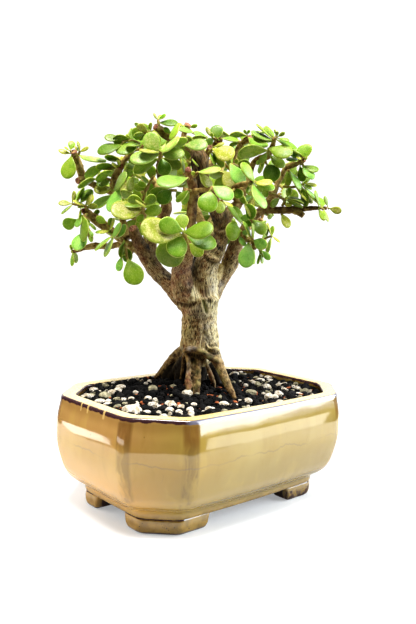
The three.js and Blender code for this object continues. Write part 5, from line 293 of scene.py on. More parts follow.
        [-1.59,-2.6,226.51,-4.56,-3.98,229.24,0.3,0.68,0.67,2.22,0,"y"],
        [-0.74,-2.59,226.01,-5.97,-0.65,222.9,-0.37,-0.93,0.04,4.69,0.06,"d"],
        [3.98,-4.71,226.63,13.78,-9.32,226.6,-0.22,-0.47,0.86,7.15,0,"g"],
    ]),
    "shoot_mid_yellow": ([
        [[-6.13,-3.93,216.33,1.1], [-7.61,-7.95,217.87,0.85], [-8.22,-10.08,218.33,0.72]],
    ], [
        [-8.22,-10.08,218.33,-3.81,-24.61,213.28,-0.84,-0.39,0.37,10.56,0,"y"],
        [-7.79,-10.46,219.41,-4.22,-16.26,221.79,-0.74,-0.19,0.64,3.61,0,"y"],
        [-6.73,-7.91,217.02,-2.81,-15.34,208.41,0.89,-0.06,0.45,7.94,0,"o"],
        [-6.56,-6.25,216.81,-8.05,-11.59,208.86,0.36,-0.81,0.47,6.4,0,"g"],
    ]),
    "shoot_right_crown": ([
        [[22.43,-2.4,224.74,0.9], [21.02,-2.5,226.2,0.77]],
        [[23.78,-6.25,229.68,0.89], [23.84,-6.3,231.05,0.7]],
    ], [
        [21.02,-2.49,226.32,18.22,3.96,224.44,0.42,0.42,0.81,3.64,0,"d"],
        [23.39,-6.24,230.75,13.58,-0.75,230.31,0.15,0.35,0.92,7.42,0,"d"],
        [23.83,-6.3,231.3,20.84,-6.33,234.02,0.42,0.77,0.47,2.03,0,"g"],
        [23.93,-6.38,231.43,23.69,-8.84,234.01,0.73,0.46,0.51,2.03,0,"g"],
        [23.74,-7.94,229.38,23.3,-23.53,222.22,-0.26,-0.4,0.88,11.32,0,"g"],
        [26.29,-6.73,227.07,35.11,0.17,223.63,0.56,-0.81,-0.18,7.73,0,"g"],
    ]),
    "shoot_right_top": ([
        [[23.96,-30.37,224.93,1.04], [21.93,-31.25,225.56,0.97], [23.08,-32.26,226.91,0.91], [23.8,-32.89,227.3,0.67]],
        [[24.54,-26.88,220.02,0.92], [20.54,-28.69,219.89,0.91]],
    ], [
        [21.58,-30.94,225.31,8.27,-25.9,229.22,0,-0.62,0.78,9.74,0,"w"],
        [22.3,-30.29,224.62,11.87,-23.79,226.23,-0.35,-0.71,0.62,8.18,0,"g"],
        [21.65,-31,226.03,12.52,-25.64,234.3,0.31,-0.6,0.74,8.87,0,"g"],
        [21.83,-31.15,226.15,19.09,-26.08,233.6,0.2,-0.77,0.6,6.21,0,"g"],
        [22.36,-31.62,226.77,23,-24.2,234.69,0.18,-0.73,0.66,7.18,0,"g"],
        [24.07,-33.12,227.55,25.71,-37.23,229.9,0.82,0.49,0.28,2.55,0,"y"],
        [23.04,-32.22,228.46,20.85,-32.96,231.42,0.07,-0.98,-0.2,1.88,0,"y"],
        [23.61,-32.72,227.53,22.33,-34.26,230.42,0.62,0.54,0.57,1.82,0,"y"],
        [24.1,-33.15,226.6,26.37,-40.47,224.75,-0.43,-0.34,0.83,3.94,0,"w"],
        [23.48,-32.61,225.74,34.64,-39.75,220.79,-0.07,-0.64,0.76,9.34,0,"d"],
        [20.6,-28.75,220.73,25.56,-43.76,215.99,-0.69,-0.42,0.59,10.89,0,"g"],
        [20.28,-28.47,219.16,2.73,-21.03,216.63,0.12,0.56,0.82,12.69,0,"o"],
        [24.17,-26.55,216.85,29.93,-34.28,209.86,-0.38,-0.76,0.52,7.86,0,"g"],
        [20.03,-28.25,218.31,19.05,-23.39,211.95,0.2,0.79,0.57,5.32,0,"o"],
    ]),
    "shoot_right_upper": ([
        [[45.07,-32.94,216.75,0.94], [44.64,-35.22,218.01,0.81]],
        [[47.44,-32.36,213.81,0.89], [47.66,-33.88,212.73,0.76]],
    ], [
        [44.83,-35.39,218.02,30.63,-29.57,223.51,0.17,-0.43,0.89,10.76,0,"w"],
        [45.69,-37.81,217.06,45.94,-33.7,225.13,-0.82,-0.5,0.28,10.24,1,"g"],
        [44.7,-34.06,217.25,37.88,-36.52,215.72,0.05,-0.61,0.79,3.7,0,"y"],
        [44.78,-33.35,216.94,37.92,-30.45,220.12,-0.22,-0.91,0.35,5.34,0,"b"],
        [44.45,-32.72,215.47,35.27,-30.45,215.05,-0.16,-0.48,0.86,6.25,0,"b"],
        [47.58,-33.8,212.61,52.57,-42.17,209.19,-0.45,-0.55,0.7,6.82,0,"g"],
        [47.29,-33.41,212.23,47.87,-41.91,203.48,-0.29,-0.7,0.66,8.06,0,"b"],
        [46.59,-31.87,212.02,48.79,-33.3,202.64,0.85,0.51,0.12,6.43,0,"d"],
    ]),
    "shoot_right_long": ([
        [[42.79,-25.61,209.44,0.95], [41.61,-27.24,208.6,0.82]],
    ], [
        [42.22,-26.83,209.06,40.46,-37,197.21,0.23,-0.76,0.61,10.37,0,"b"],
        [41.93,-26.42,208.81,41.66,-27.51,199.59,-0.99,0.12,0.02,6.13,0,"o"],
    ]),
    "shoot_right_side": ([
        [[45.87,-19,199.94,0.91], [47.07,-25.38,199.36,0.83], [47.67,-29.9,200.08,0.76], [48.7,-33.47,201,0.76]],
    ], [
        [48.98,-33.71,201.26,53.66,-40.49,200.06,-0.32,-0.38,0.87,5.49,0,"y"],
        [49.01,-33.74,200.51,48.97,-40.36,197.47,-0.32,-0.39,0.86,3.64,0,"w"],
        [48.88,-33.38,199.89,52.14,-44.7,188.23,0.26,-0.66,0.71,10.94,0,"b"],
        [47.66,-28.62,199.01,51.72,-38.84,188.86,0.05,-0.69,0.72,9.87,0,"y"],
        [49.36,-32.17,202.12,59.54,-29.73,206.03,-0.38,0.78,0.49,7.38,0,"d"],
        [48.51,-34.1,201.7,47.09,-38.24,202.49,-0.83,0.36,0.43,2.23,0,"y"],
        [48.48,-32.22,199.91,49.45,-36.93,186.95,0.94,-0.3,0.18,9.12,0,"d"],
    ]),
    "shoot_right_low_twig": ([
        [[38.92,-24.88,186.93,0.89], [39.32,-26.56,190.43,0.89], [34.88,-23.99,193.22,0.89], [29.39,-21.83,195.02,0.82]],
        [[39.81,-24.33,181.81,0.89], [38.9,-24.85,181.38,0.76]],
        [[33.54,-17.49,181.46,0.9], [32.73,-18.11,181.16,0.77]],
    ], [
        [39.95,-27.11,191.58,45.58,-37.38,188.39,0.24,-0.17,0.96,8.01,0,"d"],
        [39.98,-27.14,190.7,45.64,-36.63,186.05,0.47,-0.15,0.87,7.92,0,"d"],
        [40.11,-27.27,192.34,46.89,-35.88,188.89,-0.13,-0.45,0.88,7.59,0,"w"],
        [36.42,-24.8,191.54,30.06,-23.21,186.31,0.11,0.98,0.16,5.54,0,"o"],
        [39.34,-25.65,187.82,41.39,-31.44,187.79,-0.84,-0.3,0.46,3.07,0,"y"],
        [40.41,-27.51,192.23,43.88,-26.57,198.93,-0.59,-0.7,0.4,3.93,0,"g"],
        [39.43,-24.33,182.05,40.37,-29.61,172.95,-0.28,-0.84,0.46,6.97,0,"y"],
        [34.44,-16.61,181.78,41.24,-13.61,179.48,-0.18,0.82,0.54,3.89,0,"g"],
    ]),
    "shoot_right_tip": ([
        [[58.08,-43.04,185.38,0.76], [56.13,-43.32,185.89,0.63], [55.44,-42.71,186.61,0.57]],
        [[60.35,-45.03,186.09,0.63], [60.03,-46.08,186.18,0.51]],
    ], [
        [53.44,-42.69,187.62,44.18,-46.53,195.25,0.52,-0.83,0.21,8.32,0,"g"],
        [56.45,-43,186.66,61.69,-35.83,193.53,-0.12,-0.64,0.76,7.41,0,"g"],
        [54.53,-41.91,185.32,56.05,-45.92,178.2,-0.33,-0.85,0.41,5.49,0,"g"],
        [57.13,-43.3,185.94,60.77,-45.17,177.8,0.33,-0.88,0.35,6.02,0,"g"],
        [59.92,-44.65,187.46,56.6,-44.4,193.76,-0.03,-1,0.02,3.56,0,"g"],
        [60.03,-46.08,186.18,64.3,-52.49,184.28,-0.84,-0.55,-0.03,4.81,0,"y"],
    ]),
    "shoot_center_right": ([
        [[5.13,-33.79,198.73,0.83], [2.84,-35.77,198.2,0.88]],
    ], [
        [3.27,-35.15,198.5,-7.25,-33.9,208.2,0.15,-0.94,0.29,9.48,0,"g"],
        [5.13,-33.79,198.73,6.92,-46.01,197.16,-0.47,-0.18,0.86,8.22,0,"y"],
        [3.3,-36.18,197.29,13.31,-42.31,195.36,-0.31,-0.71,0.64,7.85,0,"g"],
        [1.9,-34.95,196.89,1.75,-45.47,182.78,0.12,-0.8,0.59,11.62,0,"b"],
        [0.15,-33.41,196.12,-2.09,-35.43,191.35,-0.76,-0.38,0.52,2.83,0,"g"],
    ]),
    "shoot_center_blue": ([
        [[19.65,-2.62,211.6,0.96], [11.66,-7.58,211.34,0.88], [5.31,-11.32,210.45,0.8]],
    ], [
        [5.2,-11.22,211.05,11.04,-17.68,197.97,-0.33,-0.9,0.3,10.37,0,"b"],
        [17.03,-4.59,212.46,14.21,-7.43,215.19,0.37,0.43,0.83,2.79,0,"g"],
        [10.92,-8.03,210.62,11.61,-0.64,214.69,0.92,-0.25,0.29,5.58,0,"o"],
    ]),
    "shoot_right_dark": ([
        [[24.78,-21.77,215.1,0.93], [24.27,-23.98,211.83,0.87]],
    ], [
        [24.75,-24.4,211.36,25.85,-30.7,200.98,-0.81,-0.53,0.24,10.9,1,"d"],
        [21.88,-21.15,211.42,19.62,-23.15,205.59,-0.93,0.02,0.36,3.28,0,"w"],
        [23.04,-21.24,214.59,23.21,-16.13,212.03,-0.97,-0.08,-0.22,2.86,0,"w"],
        [23.93,-22.72,212.74,26.67,-14.48,208.37,-0.94,0.34,0.06,6.41,0,"g"],
    ]),
    "shoot_center": ([
        [[-21.25,-25.26,192.63,0.98], [-23.26,-27.49,193.63,0.92], [-25.3,-29.02,191.71,0.85]],
    ], [
        [-25.79,-28.59,191.02,-29.44,-30.71,179.04,-0.59,-0.74,0.31,11.61,1,"g"],
        [-23.1,-27.63,194.2,-17.56,-39.14,186.95,-0.54,-0.62,0.57,9.7,0,"b"],
    ]),
    "shoot_center_top": ([
        [[-24.08,-12.12,200.52,0.94], [-24.81,-15.48,201.99,0.99], [-24.25,-17.3,202.85,0.76]],
    ], [
        [-24.68,-16.19,202.65,-17.92,-28.79,204.21,-0.49,-0.16,0.86,9.49,0,"w"],
        [-24.31,-17.02,202.64,-18.3,-21.5,194.05,-0.1,-0.91,0.4,7.52,0,"y"],
        [-24.52,-14.62,201.5,-29.03,-15.98,202.38,-0.19,0.89,0.41,2.57,0,"y"],
    ]),
    "shoot_right_shade": ([
        [[-3.35,-14.36,184.62,1.03], [-5.71,-16.28,187.41,0.9], [-2.83,-17.48,189.95,0.78], [1.41,-17.21,193.26,0.73], [5.42,-16.74,195.63,0.73]],
    ], [
        [-6.17,-15.88,187.63,-8.98,-20.06,179.76,-0.8,-0.37,0.48,6.17,0,"o"],
        [5.16,-16.66,195.74,6.86,-20.81,190.03,-0.8,-0.57,0.18,6.11,0.49,"d"],
        [-5.17,-16.59,187.44,-1.48,-22.5,184.17,-0.23,-0.58,0.78,3.85,0,"y"],
    ]),
    "shoot_right_blades": ([
        [[17.91,-14.4,171.82,1.07], [13.02,-18.1,173.23,0.93], [10.44,-19.82,174.34,0.8]],
    ], [
        [9.42,-18.92,174.42,-0.71,-16.68,184.6,0.38,-0.75,0.54,9.59,0,"w"],
        [10.34,-19.73,174.7,6.63,-13.81,185.24,0.02,-0.87,0.5,8.34,0,"g"],
        [12.31,-20.5,175.28,9.74,-20.78,180.15,0.58,0.74,0.35,5.31,0.97,"b"],
        [14.9,-17.42,173.31,15.48,-18.99,165.29,0.4,-0.89,0.2,5.41,0,"y"],
    ]),
    "shoot_right_mid_dark": ([
        [[19.26,-15.59,178.12,1.01], [14.01,-18.96,181.88,0.87], [10.55,-21.25,185.9,0.8]],
    ], [
        [10.34,-21.59,186.85,8.88,-31.09,178.03,-0.99,0.07,0.09,8.61,0,"d"],
        [10.95,-20.86,185.33,5.96,-29.39,178.86,0.46,-0.69,0.56,7.79,0,"y"],
        [10.98,-21.62,187.13,11.34,-13.96,191.06,0.94,-0.2,0.29,5.69,0,"d"],
    ]),
    "shoot_right_round_low": ([
        [[13.12,-15.52,168.91,1], [8.57,-19.51,169.62,0.92]],
    ], [
        [8.37,-19.33,170.22,-3.85,-19.4,168.92,0,-1,0.07,11.44,1,"g"],
        [10.59,-17.96,169.2,9.6,-25.15,168.82,-0.97,0.12,0.19,3.63,0,"b"],
        [12.25,-15.09,167.01,10.46,-20.64,160.74,-0.01,-0.75,0.66,5.65,0,"b"],
    ]),
    "shoot_right_lower": ([
        [[9.83,-28.6,164.62,0.91], [8.45,-30.05,166.64,0.85], [9.12,-29.31,171.23,0.73], [11.11,-27.07,176.14,0.67]],
        [[10.11,-26.18,162.29,0.85], [7.35,-27.75,162.73,0.79]],
        [[14.64,-27.51,162.55,0.92], [15.2,-29.33,159.91,0.8], [15.84,-29.89,156.64,0.67]],
        [[22.83,-24.05,163.94,0.75], [24.11,-26.5,166.24,0.75], [25.78,-29.3,167.56,0.62]],
    ], [
        [11.19,-27.13,176.87,12.42,-36.2,168.13,-0.51,-0.63,0.59,8.35,0,"g"],
        [10.28,-29,164.52,12.26,-38.72,160.88,-0.94,-0.27,0.2,7.29,0,"b"],
        [9.74,-29.01,164.99,4.2,-33.46,173.87,0.63,-0.78,0,7.51,0,"w"],
        [8.8,-28.76,164.83,2.34,-27.61,175.37,0.5,-0.77,0.39,8.19,0,"g"],
        [10.42,-28.95,173.09,21.84,-27,175.78,-0.28,0.53,0.8,7.85,0,"d"],
        [9.42,-28.07,173.05,10.07,-22.06,175.77,-0.92,-0.08,0.39,4.24,0,"d"],
        [7.34,-27.74,163.09,3.06,-30.64,147.71,-0.8,-0.51,0.32,10.71,0,"b"],
        [11.12,-25.34,162.18,20.63,-20.39,150.7,0.52,-0.85,0.07,10.37,0,"g"],
        [15.48,-29.57,156.38,13.4,-30.41,149.92,-0.92,0.29,0.26,3.42,0,"g"],
        [15.76,-29.82,156.27,15.27,-32.05,150.36,0.1,-0.93,0.34,3.17,0,"g"],
        [15.19,-28.95,160.76,13.79,-34.38,154.67,0.76,-0.56,0.33,5.46,0,"d"],
        [16.53,-30.5,158.38,18.19,-35.95,152.95,-0.83,-0.5,0.25,4.16,0,"b"],
        [25.71,-29.2,167.56,22.08,-28.67,175.54,0.56,-0.77,0.3,5.8,0,"y"],
        [25.96,-29.46,167.69,27.52,-28.17,173.93,-0.92,-0.28,0.29,3.28,0,"g"],
        [26.06,-29.55,167.45,28.34,-34.21,163.74,0.06,-0.6,0.79,3.19,0,"y"],
        [25.8,-29.16,166.69,21.95,-29.77,156.73,-0.86,0.41,0.31,7.06,0,"w"],
        [24.23,-26.86,167.12,21.71,-28.64,172.95,0.17,0.92,0.35,3.3,0,"k"],
    ]),
    "shoot_front": ([
        [[-24.55,-7.72,159.82,1.31], [-28.5,-12.23,162.74,1.29], [-33.78,-16.91,165.76,1.16], [-37.5,-20.3,167.71,0.91]],
    ], [
        [-37.67,-20.15,168.04,-51.75,-15.77,172.42,-0.29,-0.96,0.01,10.15,0,"g"],
        [-37.08,-17.67,166.23,-60.64,-10.28,169.06,-0.23,-0.89,0.39,16.4,0,"y"],
        [-37.22,-20.32,167.72,-30.53,-38.18,169.12,-0.78,-0.25,0.57,12.62,0,"g"],
        [-31.55,-16.39,165.37,-22.1,-31.34,159.97,-0.51,-0.56,0.66,12.21,0,"d"],
        [-35.07,-15.78,165.14,-43.19,-17.96,153.8,-0.4,-0.81,0.44,12.14,1,"d"],
        [-34.85,-14.42,164.33,-39.9,-4.66,148.53,0.7,0.68,0.2,16.81,1,"o"],
        [-25.22,-11.09,161.4,-19.84,-17.15,154.56,-0.7,-0.71,0.07,7.47,0,"o"],
        [-37.11,-20.65,169.65,-37.09,-16.66,177.74,-0.68,-0.66,0.33,7.75,0.56,"o"],
    ]),
    "shoot_back_left": ([
        [[-9.92,77.93,198.04,1.33], [-13.5,79.75,203.63,1.19], [-17.32,79.11,207.38,0.97]],
        [[-12.47,79.24,201.9,1.12], [-7.72,76,205.99,1.05], [-6.31,72.1,210.02,0.9]],
    ], [
        [-11.21,78.18,203.58,-7.9,73.1,214.59,0.51,0.83,0.23,9.72,0,"d"],
        [-8.98,76.44,204.76,-17.68,76.27,195.17,-0.7,-0.3,0.64,9.06,0,"d"],
        [-16.34,79.29,206.06,-28.35,77.45,212.37,-0.08,0.99,0.14,8.25,0,"d"],
        [-10.94,77.84,202.96,-5.24,70.02,205.05,0.2,0.39,0.9,7.28,0,"d"],
        [-6.2,72.48,210.82,-4.67,77.66,221.98,-0.36,-0.83,0.43,8.79,0,"d"],
        [-6.66,74.77,206.76,2.01,77.59,195.87,0.77,0.06,0.63,10.06,0,"d"],
        [-6.22,74.38,208.05,7.26,76.86,211.55,-0.3,0.42,0.86,9.41,0,"d"],
        [-13.41,79.15,201.92,-26.41,77.48,199.06,-0.19,-0.16,0.97,10.43,0,"d"],
    ]),
    "shoot_back_left_low": ([
        [[-6.15,65.3,178.9,1.32], [-6.15,70.63,177.58,1.19], [-11.17,75.03,179.46,0.98]],
        [[-5.89,70.4,177.87,1.12], [-1.06,71.48,186.9,1.05], [1.48,69.25,193.26,0.91]],
    ], [
        [0.86,69.5,192.03,3.72,62.46,204.12,-0.45,-0.81,-0.37,9.62,0,"d"],
        [-6.49,70.49,177.21,-10.27,77.49,170.95,0.64,0.68,0.37,6.46,0,"d"],
        [-7.48,72.74,178.18,5.07,75.78,174.89,0.16,-0.95,-0.26,9.4,0,"d"],
        [-8.79,73.03,179.28,-12.97,78.13,192.57,0.93,-0.13,0.34,12.11,0,"d"],
        [-1.43,70.88,185.21,10.49,65.09,191.15,-0.53,-0.26,0.81,11.46,0,"d"],
        [-5.26,68.3,178.02,8.42,66.28,176.32,-0.08,-0.91,0.41,10.57,0,"d"],
        [-5.77,69.88,177.01,-0.57,72.08,166.05,0.33,0.88,0.34,8.37,0,"d"],
        [-6.05,70.96,178.95,-19.25,77.95,177.13,0.06,0.36,0.93,10.24,0,"d"],
    ]),
    "shoot_back_center": ([
        [[18.89,53.95,209.86,1.33], [17.43,55.23,214.63,1.19], [12.35,55.71,218.95,0.97]],
        [[17.99,54.74,212.86,1.12], [20.32,50.04,217.3,1.04], [20.83,44.26,220.34,0.9]],
    ], [
        [20.31,46.01,218.87,14.7,50.82,208.61,0.62,0.78,0.03,7.7,0,"d"],
        [18.8,53.62,214.86,22.61,54.9,229.81,-0.03,-1,0.09,10.54,0,"d"],
        [18.07,55.68,212.9,20.83,69.22,209.51,0.23,0.19,0.95,9.7,0,"d"],
        [12.74,56.16,219.37,12.61,63.76,231.32,-0.48,-0.74,0.47,10.4,0,"d"],
        [20.74,45.56,220.45,21.21,42.9,234.02,-0.3,-0.94,-0.17,9.52,0,"d"],
        [19.39,53.71,214.57,31.68,59.11,221.93,-0.06,0.85,-0.52,10.63,0,"d"],
        [18.25,55.28,213.22,26.93,59.13,203.78,0.66,0.26,0.71,8.54,0,"d"],
        [12.74,55.51,219.23,8.26,53.17,233.07,0.9,0.29,0.34,9.79,0,"d"],
    ]),
    "shoot_back_center_low": ([
        [[21.31,42.51,190.97,1.32], [26.42,43.34,194.78,1.19], [31.19,40.49,198.47,0.98]],
        [[25.79,43.23,194.18,1.12], [28.5,45.51,188.05,1.05], [26.09,48.96,182.41,0.92]],
    ], [
        [27.63,48.14,183.77,41.3,51.11,179.2,0.05,0.76,0.65,11.46,0,"d"],
        [30.97,40.39,198.51,37.61,33.23,206.64,0.79,0.6,-0.12,8.37,0,"d"],
        [27.25,47.8,185.94,24.42,58,189.42,-0.77,-0.39,0.5,6.99,0,"d"],
        [26.75,49.3,183.01,36.59,55.56,191.1,-0.01,-0.78,0.62,9.34,0,"d"],
        [25.73,48.83,183.31,14.41,55.68,182.4,-0.06,0.04,1,10.75,0,"d"],
        [24.18,43.76,193.5,25.15,56.56,200.63,-0.42,-0.42,0.81,9.22,0,"d"],
        [26.65,49.17,183.46,27.98,62.86,182.35,0.91,-0.06,0.41,10.09,0,"d"],
        [30.22,41.61,198.03,38.82,45.71,209.92,-0.7,-0.35,0.63,9.82,0,"d"],
    ]),
    "shoot_back_mid": ([
        [[16.3,24.28,173.51,1.27], [20.72,24.39,177.04,1.15], [24.61,24.97,182.61,0.95]],
        [[20.52,24.57,176.77,1.08], [27,24.2,173.96,1.02], [31.47,22.93,171.43,0.89]],
    ], [
        [24.26,25.61,181.25,29.26,37.18,174.91,0.62,0.15,0.77,11.07,0,"d"],
        [32.04,23.21,172.03,43.07,27.16,180.67,-0.56,-0.21,0.8,11.88,0,"d"],
        [31.85,23.3,170.96,41.1,28.1,161.76,0.46,0.51,0.73,11.28,0,"d"],
        [31.18,23.94,171.65,35.95,37.78,169.84,-0.74,0.33,0.58,10.15,0,"d"],
        [23.2,24.56,180.11,34.46,23.07,188.74,-0.58,0.19,0.79,10.32,0,"d"],
        [29.96,23.08,172.89,39.89,16.44,175.56,0.57,0.81,-0.1,9.44,0,"d"],
        [24.43,25.4,182.25,31.58,33.46,190.91,-0.78,0.02,0.62,9.28,0,"d"],
        [23.59,25.24,175.39,28.36,37.42,172.64,0.66,-0.09,0.74,10.28,0,"d"],
    ]),
    "shoot_back_right": ([
        [[72.33,7,199.2,1.33], [73.28,4.83,202.51,1.19], [71.97,1.99,206.8,0.97]],
        [[73.08,5.54,201.55,1.12], [71.73,10.19,205.13,1.06], [66.69,13.29,208.33,0.91]],
    ], [
        [72.38,8.88,205.11,79.65,-0.39,214.7,0.36,0.79,0.49,9.19,0,"d"],
        [73.52,5.67,201.52,81.43,-0.3,195.15,-0.62,-0.78,-0.04,7.61,0,"d"],
        [72.4,3.23,203.77,68.54,-0.05,190.7,0.13,-0.97,0.21,10.1,0,"d"],
        [67.17,13.6,207.84,62.35,24.79,208.49,-0.63,-0.31,0.71,7.62,0,"d"],
        [67.32,12.96,208.89,68.93,12.82,221.85,0.1,0.99,0,8.61,0,"d"],
        [67.69,13.43,207.21,71.16,23.88,196.97,0.97,-0.12,0.21,9.38,0,"d"],
        [73.13,8.49,203.76,83.62,13.14,206.55,0.09,-0.65,0.75,7.31,0,"d"],
        [72.4,2.69,206.14,71.77,-2.23,219.72,0.26,0.9,0.34,11.74,0,"d"],
    ]),
    "shoot_back_right_low": ([
        [[52.74,10.9,181.15,1.31], [56.84,9.97,178.6,1.18], [59.55,7.58,174.58,0.97]],
        [[56.51,10.25,179,1.11], [62.9,15.29,185.91,1.05], [62.04,18.71,192.22,0.99], [58.54,20.45,197.61,0.91]],
    ], [
        [58.63,20.51,196.22,55.13,23.55,186.08,-0.87,-0.46,0.16,7.94,0,"d"],
        [60.59,19.95,195.03,59.56,27.56,204.47,-0.78,-0.53,0.34,9.18,0,"d"],
        [62.92,16.95,188.05,66.21,26.47,193.73,-0.38,-0.37,0.85,8.44,0,"d"],
        [55.34,11.22,179.73,59.42,20.94,179.51,0.47,-0.18,0.86,7.69,0,"d"],
        [60.6,18.92,194.88,57.8,13.72,204.95,-0.11,0.9,0.43,8.63,0,"d"],
        [59.34,8.19,174.23,61.17,13.61,160.43,-0.49,0.83,0.26,11.28,0,"d"],
        [58.76,20.57,195.98,47.99,29.74,191.08,-0.65,-0.44,0.61,9.47,0,"d"],
        [63.32,17.04,188.35,76.29,21.08,182.96,0.39,-0.02,0.92,10.93,0,"d"],
    ]),
    "shoot_back_top": ([
        [[41.66,17.97,228.16,1.22], [43.34,16.5,230.63,1.09], [44.97,12.4,231.37,0.88]],
        [[42.84,16.94,229.94,1.02], [40.93,19.95,231.99,0.95], [38.85,21.77,233.25,0.82]],
    ], [
        [43.39,17.46,229.79,55.07,21.69,233.72,-0.44,0.52,0.73,10.58,0,"d"],
        [38.79,22.24,233.34,32.33,34.73,238.18,0.53,-0.05,0.84,9.81,0,"d"],
        [45.32,13.35,231.61,56.44,11.54,237.79,-0.37,-0.83,0.42,10,0,"d"],
        [43.57,17.13,229.96,47.96,26.95,219.93,0.9,0.05,0.44,11.26,0,"d"],
        [43.4,17.16,231.05,46.16,22.38,238.64,0.02,-0.83,0.56,7.12,0,"d"],
        [44.8,12.82,230.46,43.33,16.06,216.8,-0.01,0.97,0.23,8.64,0,"d"],
        [41.75,19.03,231.47,39.63,26.32,237.47,0.6,-0.4,0.69,6.01,0,"d"],
        [44.48,12.52,231.48,42.71,-0.98,235.94,-0.11,0.32,0.94,10.39,0,"d"],
    ]),
    "shoot_back_top_mid": ([
        [[24.94,18.02,220.08,1.2], [25.39,16.29,214.76,1.06], [21.37,14.5,207.74,0.92]],
        [[25.38,16.31,215.42,1.06], [29.68,13.86,210.43,1], [28.29,9.75,204.18,0.86]],
    ], [
        [28.24,11.44,205.26,22.41,21.16,198.55,0.61,0.66,0.43,10.33,0,"d"],
        [23.15,14.7,209.98,24.65,5.77,198.66,-0.77,-0.55,0.33,10.81,0,"d"],
        [25.69,17.52,216.03,32.72,29,210.04,0.21,0.35,0.91,10.66,0,"d"],
        [28.78,10.07,206.23,31.56,-0.13,216.73,0.54,0.67,0.51,9.62,0,"d"],
        [28.31,12.21,206.88,18.81,23.65,207.32,0.31,0.22,0.93,11.4,0,"d"],
        [28.69,15.15,212.83,38.63,20.65,220.63,-0.61,-0.02,0.79,8.53,0,"d"],
        [22.94,16.12,211.63,16.06,25.55,215.37,0.66,0.19,0.73,7.44,0,"d"],
        [28.3,14.4,212.86,27.84,10.46,227.83,-0.24,0.94,0.24,12.09,0,"d"],
    ]),
    "shoot_back_top_left": ([
        [[-6.43,62.89,222.51,1.23], [-7.51,63.84,225.83,1.09], [-6.69,60.46,229.37,0.88]],
        [[-7.29,63.64,224.9,1.02], [-9.99,67.34,224.23,0.96], [-14.2,68.38,222.5,0.82]],
    ], [
        [-7.19,64.08,225.62,-6.88,72.68,237.9,-0.16,-0.81,0.57,11.42,0,"d"],
        [-6.25,60.62,228.78,3.87,50.83,232.41,-0.71,-0.58,0.4,10.44,0,"d"],
        [-7.82,65.71,225.02,1.48,71.23,230.76,0.19,-0.84,0.5,9.19,0,"d"],
        [-6.94,60.52,230.19,-10.05,60.83,241.47,0.68,0.72,0.17,9.11,0,"d"],
        [-12.21,67.45,224.22,-19.01,61.65,236.67,-0.57,0.82,0.07,11.92,0,"d"],
        [-6.62,64.21,224.39,-0.22,76.7,225.26,0.74,-0.42,0.52,8.75,0,"d"],
        [-9.25,66.59,225.16,-12.31,74.74,235.65,-0.1,-0.8,0.59,8.78,0,"d"],
        [-14.58,68.85,222.93,-24.21,76.85,227.54,0.16,-0.34,0.93,10.21,0,"d"],
    ]),
    "shoot_back_left_mid": ([
        [[-6.43,49.58,201.34,1.21], [-10.67,50.63,202.36,1.07], [-17.1,49.63,201.76,0.93]],
        [[-10.16,50.19,202.25,1.07], [-11.49,52.69,196.43,1.01], [-19.38,52.97,193.22,0.86]],
    ], [
        [-19.81,53.63,193.26,-27.33,62.01,192.85,0.43,0.43,0.79,8.99,0,"d"],
        [-9.03,49.91,202.75,-11.53,46.84,212.37,0.85,0.4,0.35,7.66,0,"d"],
        [-15.12,50.61,202.57,-15.89,58.81,210.4,-0.45,-0.64,0.62,7.89,0,"d"],
        [-11.24,52.53,197.26,-12.95,61.01,184.98,0.97,0.24,0.03,10.4,0,"d"],
        [-11.25,53.1,197.68,-10.44,60.63,203.44,-0.73,-0.36,0.58,6.53,0,"d"],
        [-15.92,53.73,194.79,-14.36,65.05,197.58,-0.35,-0.18,0.92,8.42,0,"d"],
        [-19.17,53.4,194.14,-21.52,59.43,204.37,-0.97,0.02,-0.24,7.74,0,"d"],
        [-13.37,50.57,202.79,-21.26,54.09,211.25,0.01,-0.92,0.39,8.69,0,"d"],
    ]),
    "shoot_back_upper_mid": ([
        [[-2.05,12.45,211.12,1.14], [-1.75,18.84,212.47,1.03], [-0.07,24.02,215.31,0.91]],
        [[-1.81,18.36,212.31,1.03], [-3.1,20.03,207.74,0.9], [-6.22,20.11,204.31,0.83]],
    ], [
        [-5.53,20.62,203.98,2.13,27.4,198.11,0.66,-0.09,0.75,7.61,0,"d"],
        [-1.06,21.44,214.81,-4.22,19.97,229.48,0.81,0.54,0.23,10.57,0,"d"],
        [-5.38,19.83,205.15,-12.42,16.64,196.36,-0.57,-0.52,0.64,9.24,0,"d"],
        [-5.74,20.32,205.7,-5.63,22.7,214.94,0.57,-0.8,0.2,7.49,0,"d"],
        [-0.29,23.41,215.9,-0.93,22.43,230.76,0.87,0.48,0.07,10.61,0,"d"],
        [0.16,23.98,215.97,4.73,27.16,227.75,-0.43,-0.82,0.39,9.99,0,"d"],
        [-1.2,16.32,212.55,9.24,16.05,222.23,-0.62,-0.41,0.66,10.23,0,"d"],
        [-0.39,23.58,215.11,0.78,36.5,223.08,0.33,-0.52,0.79,9.91,0,"d"],
    ]),
}

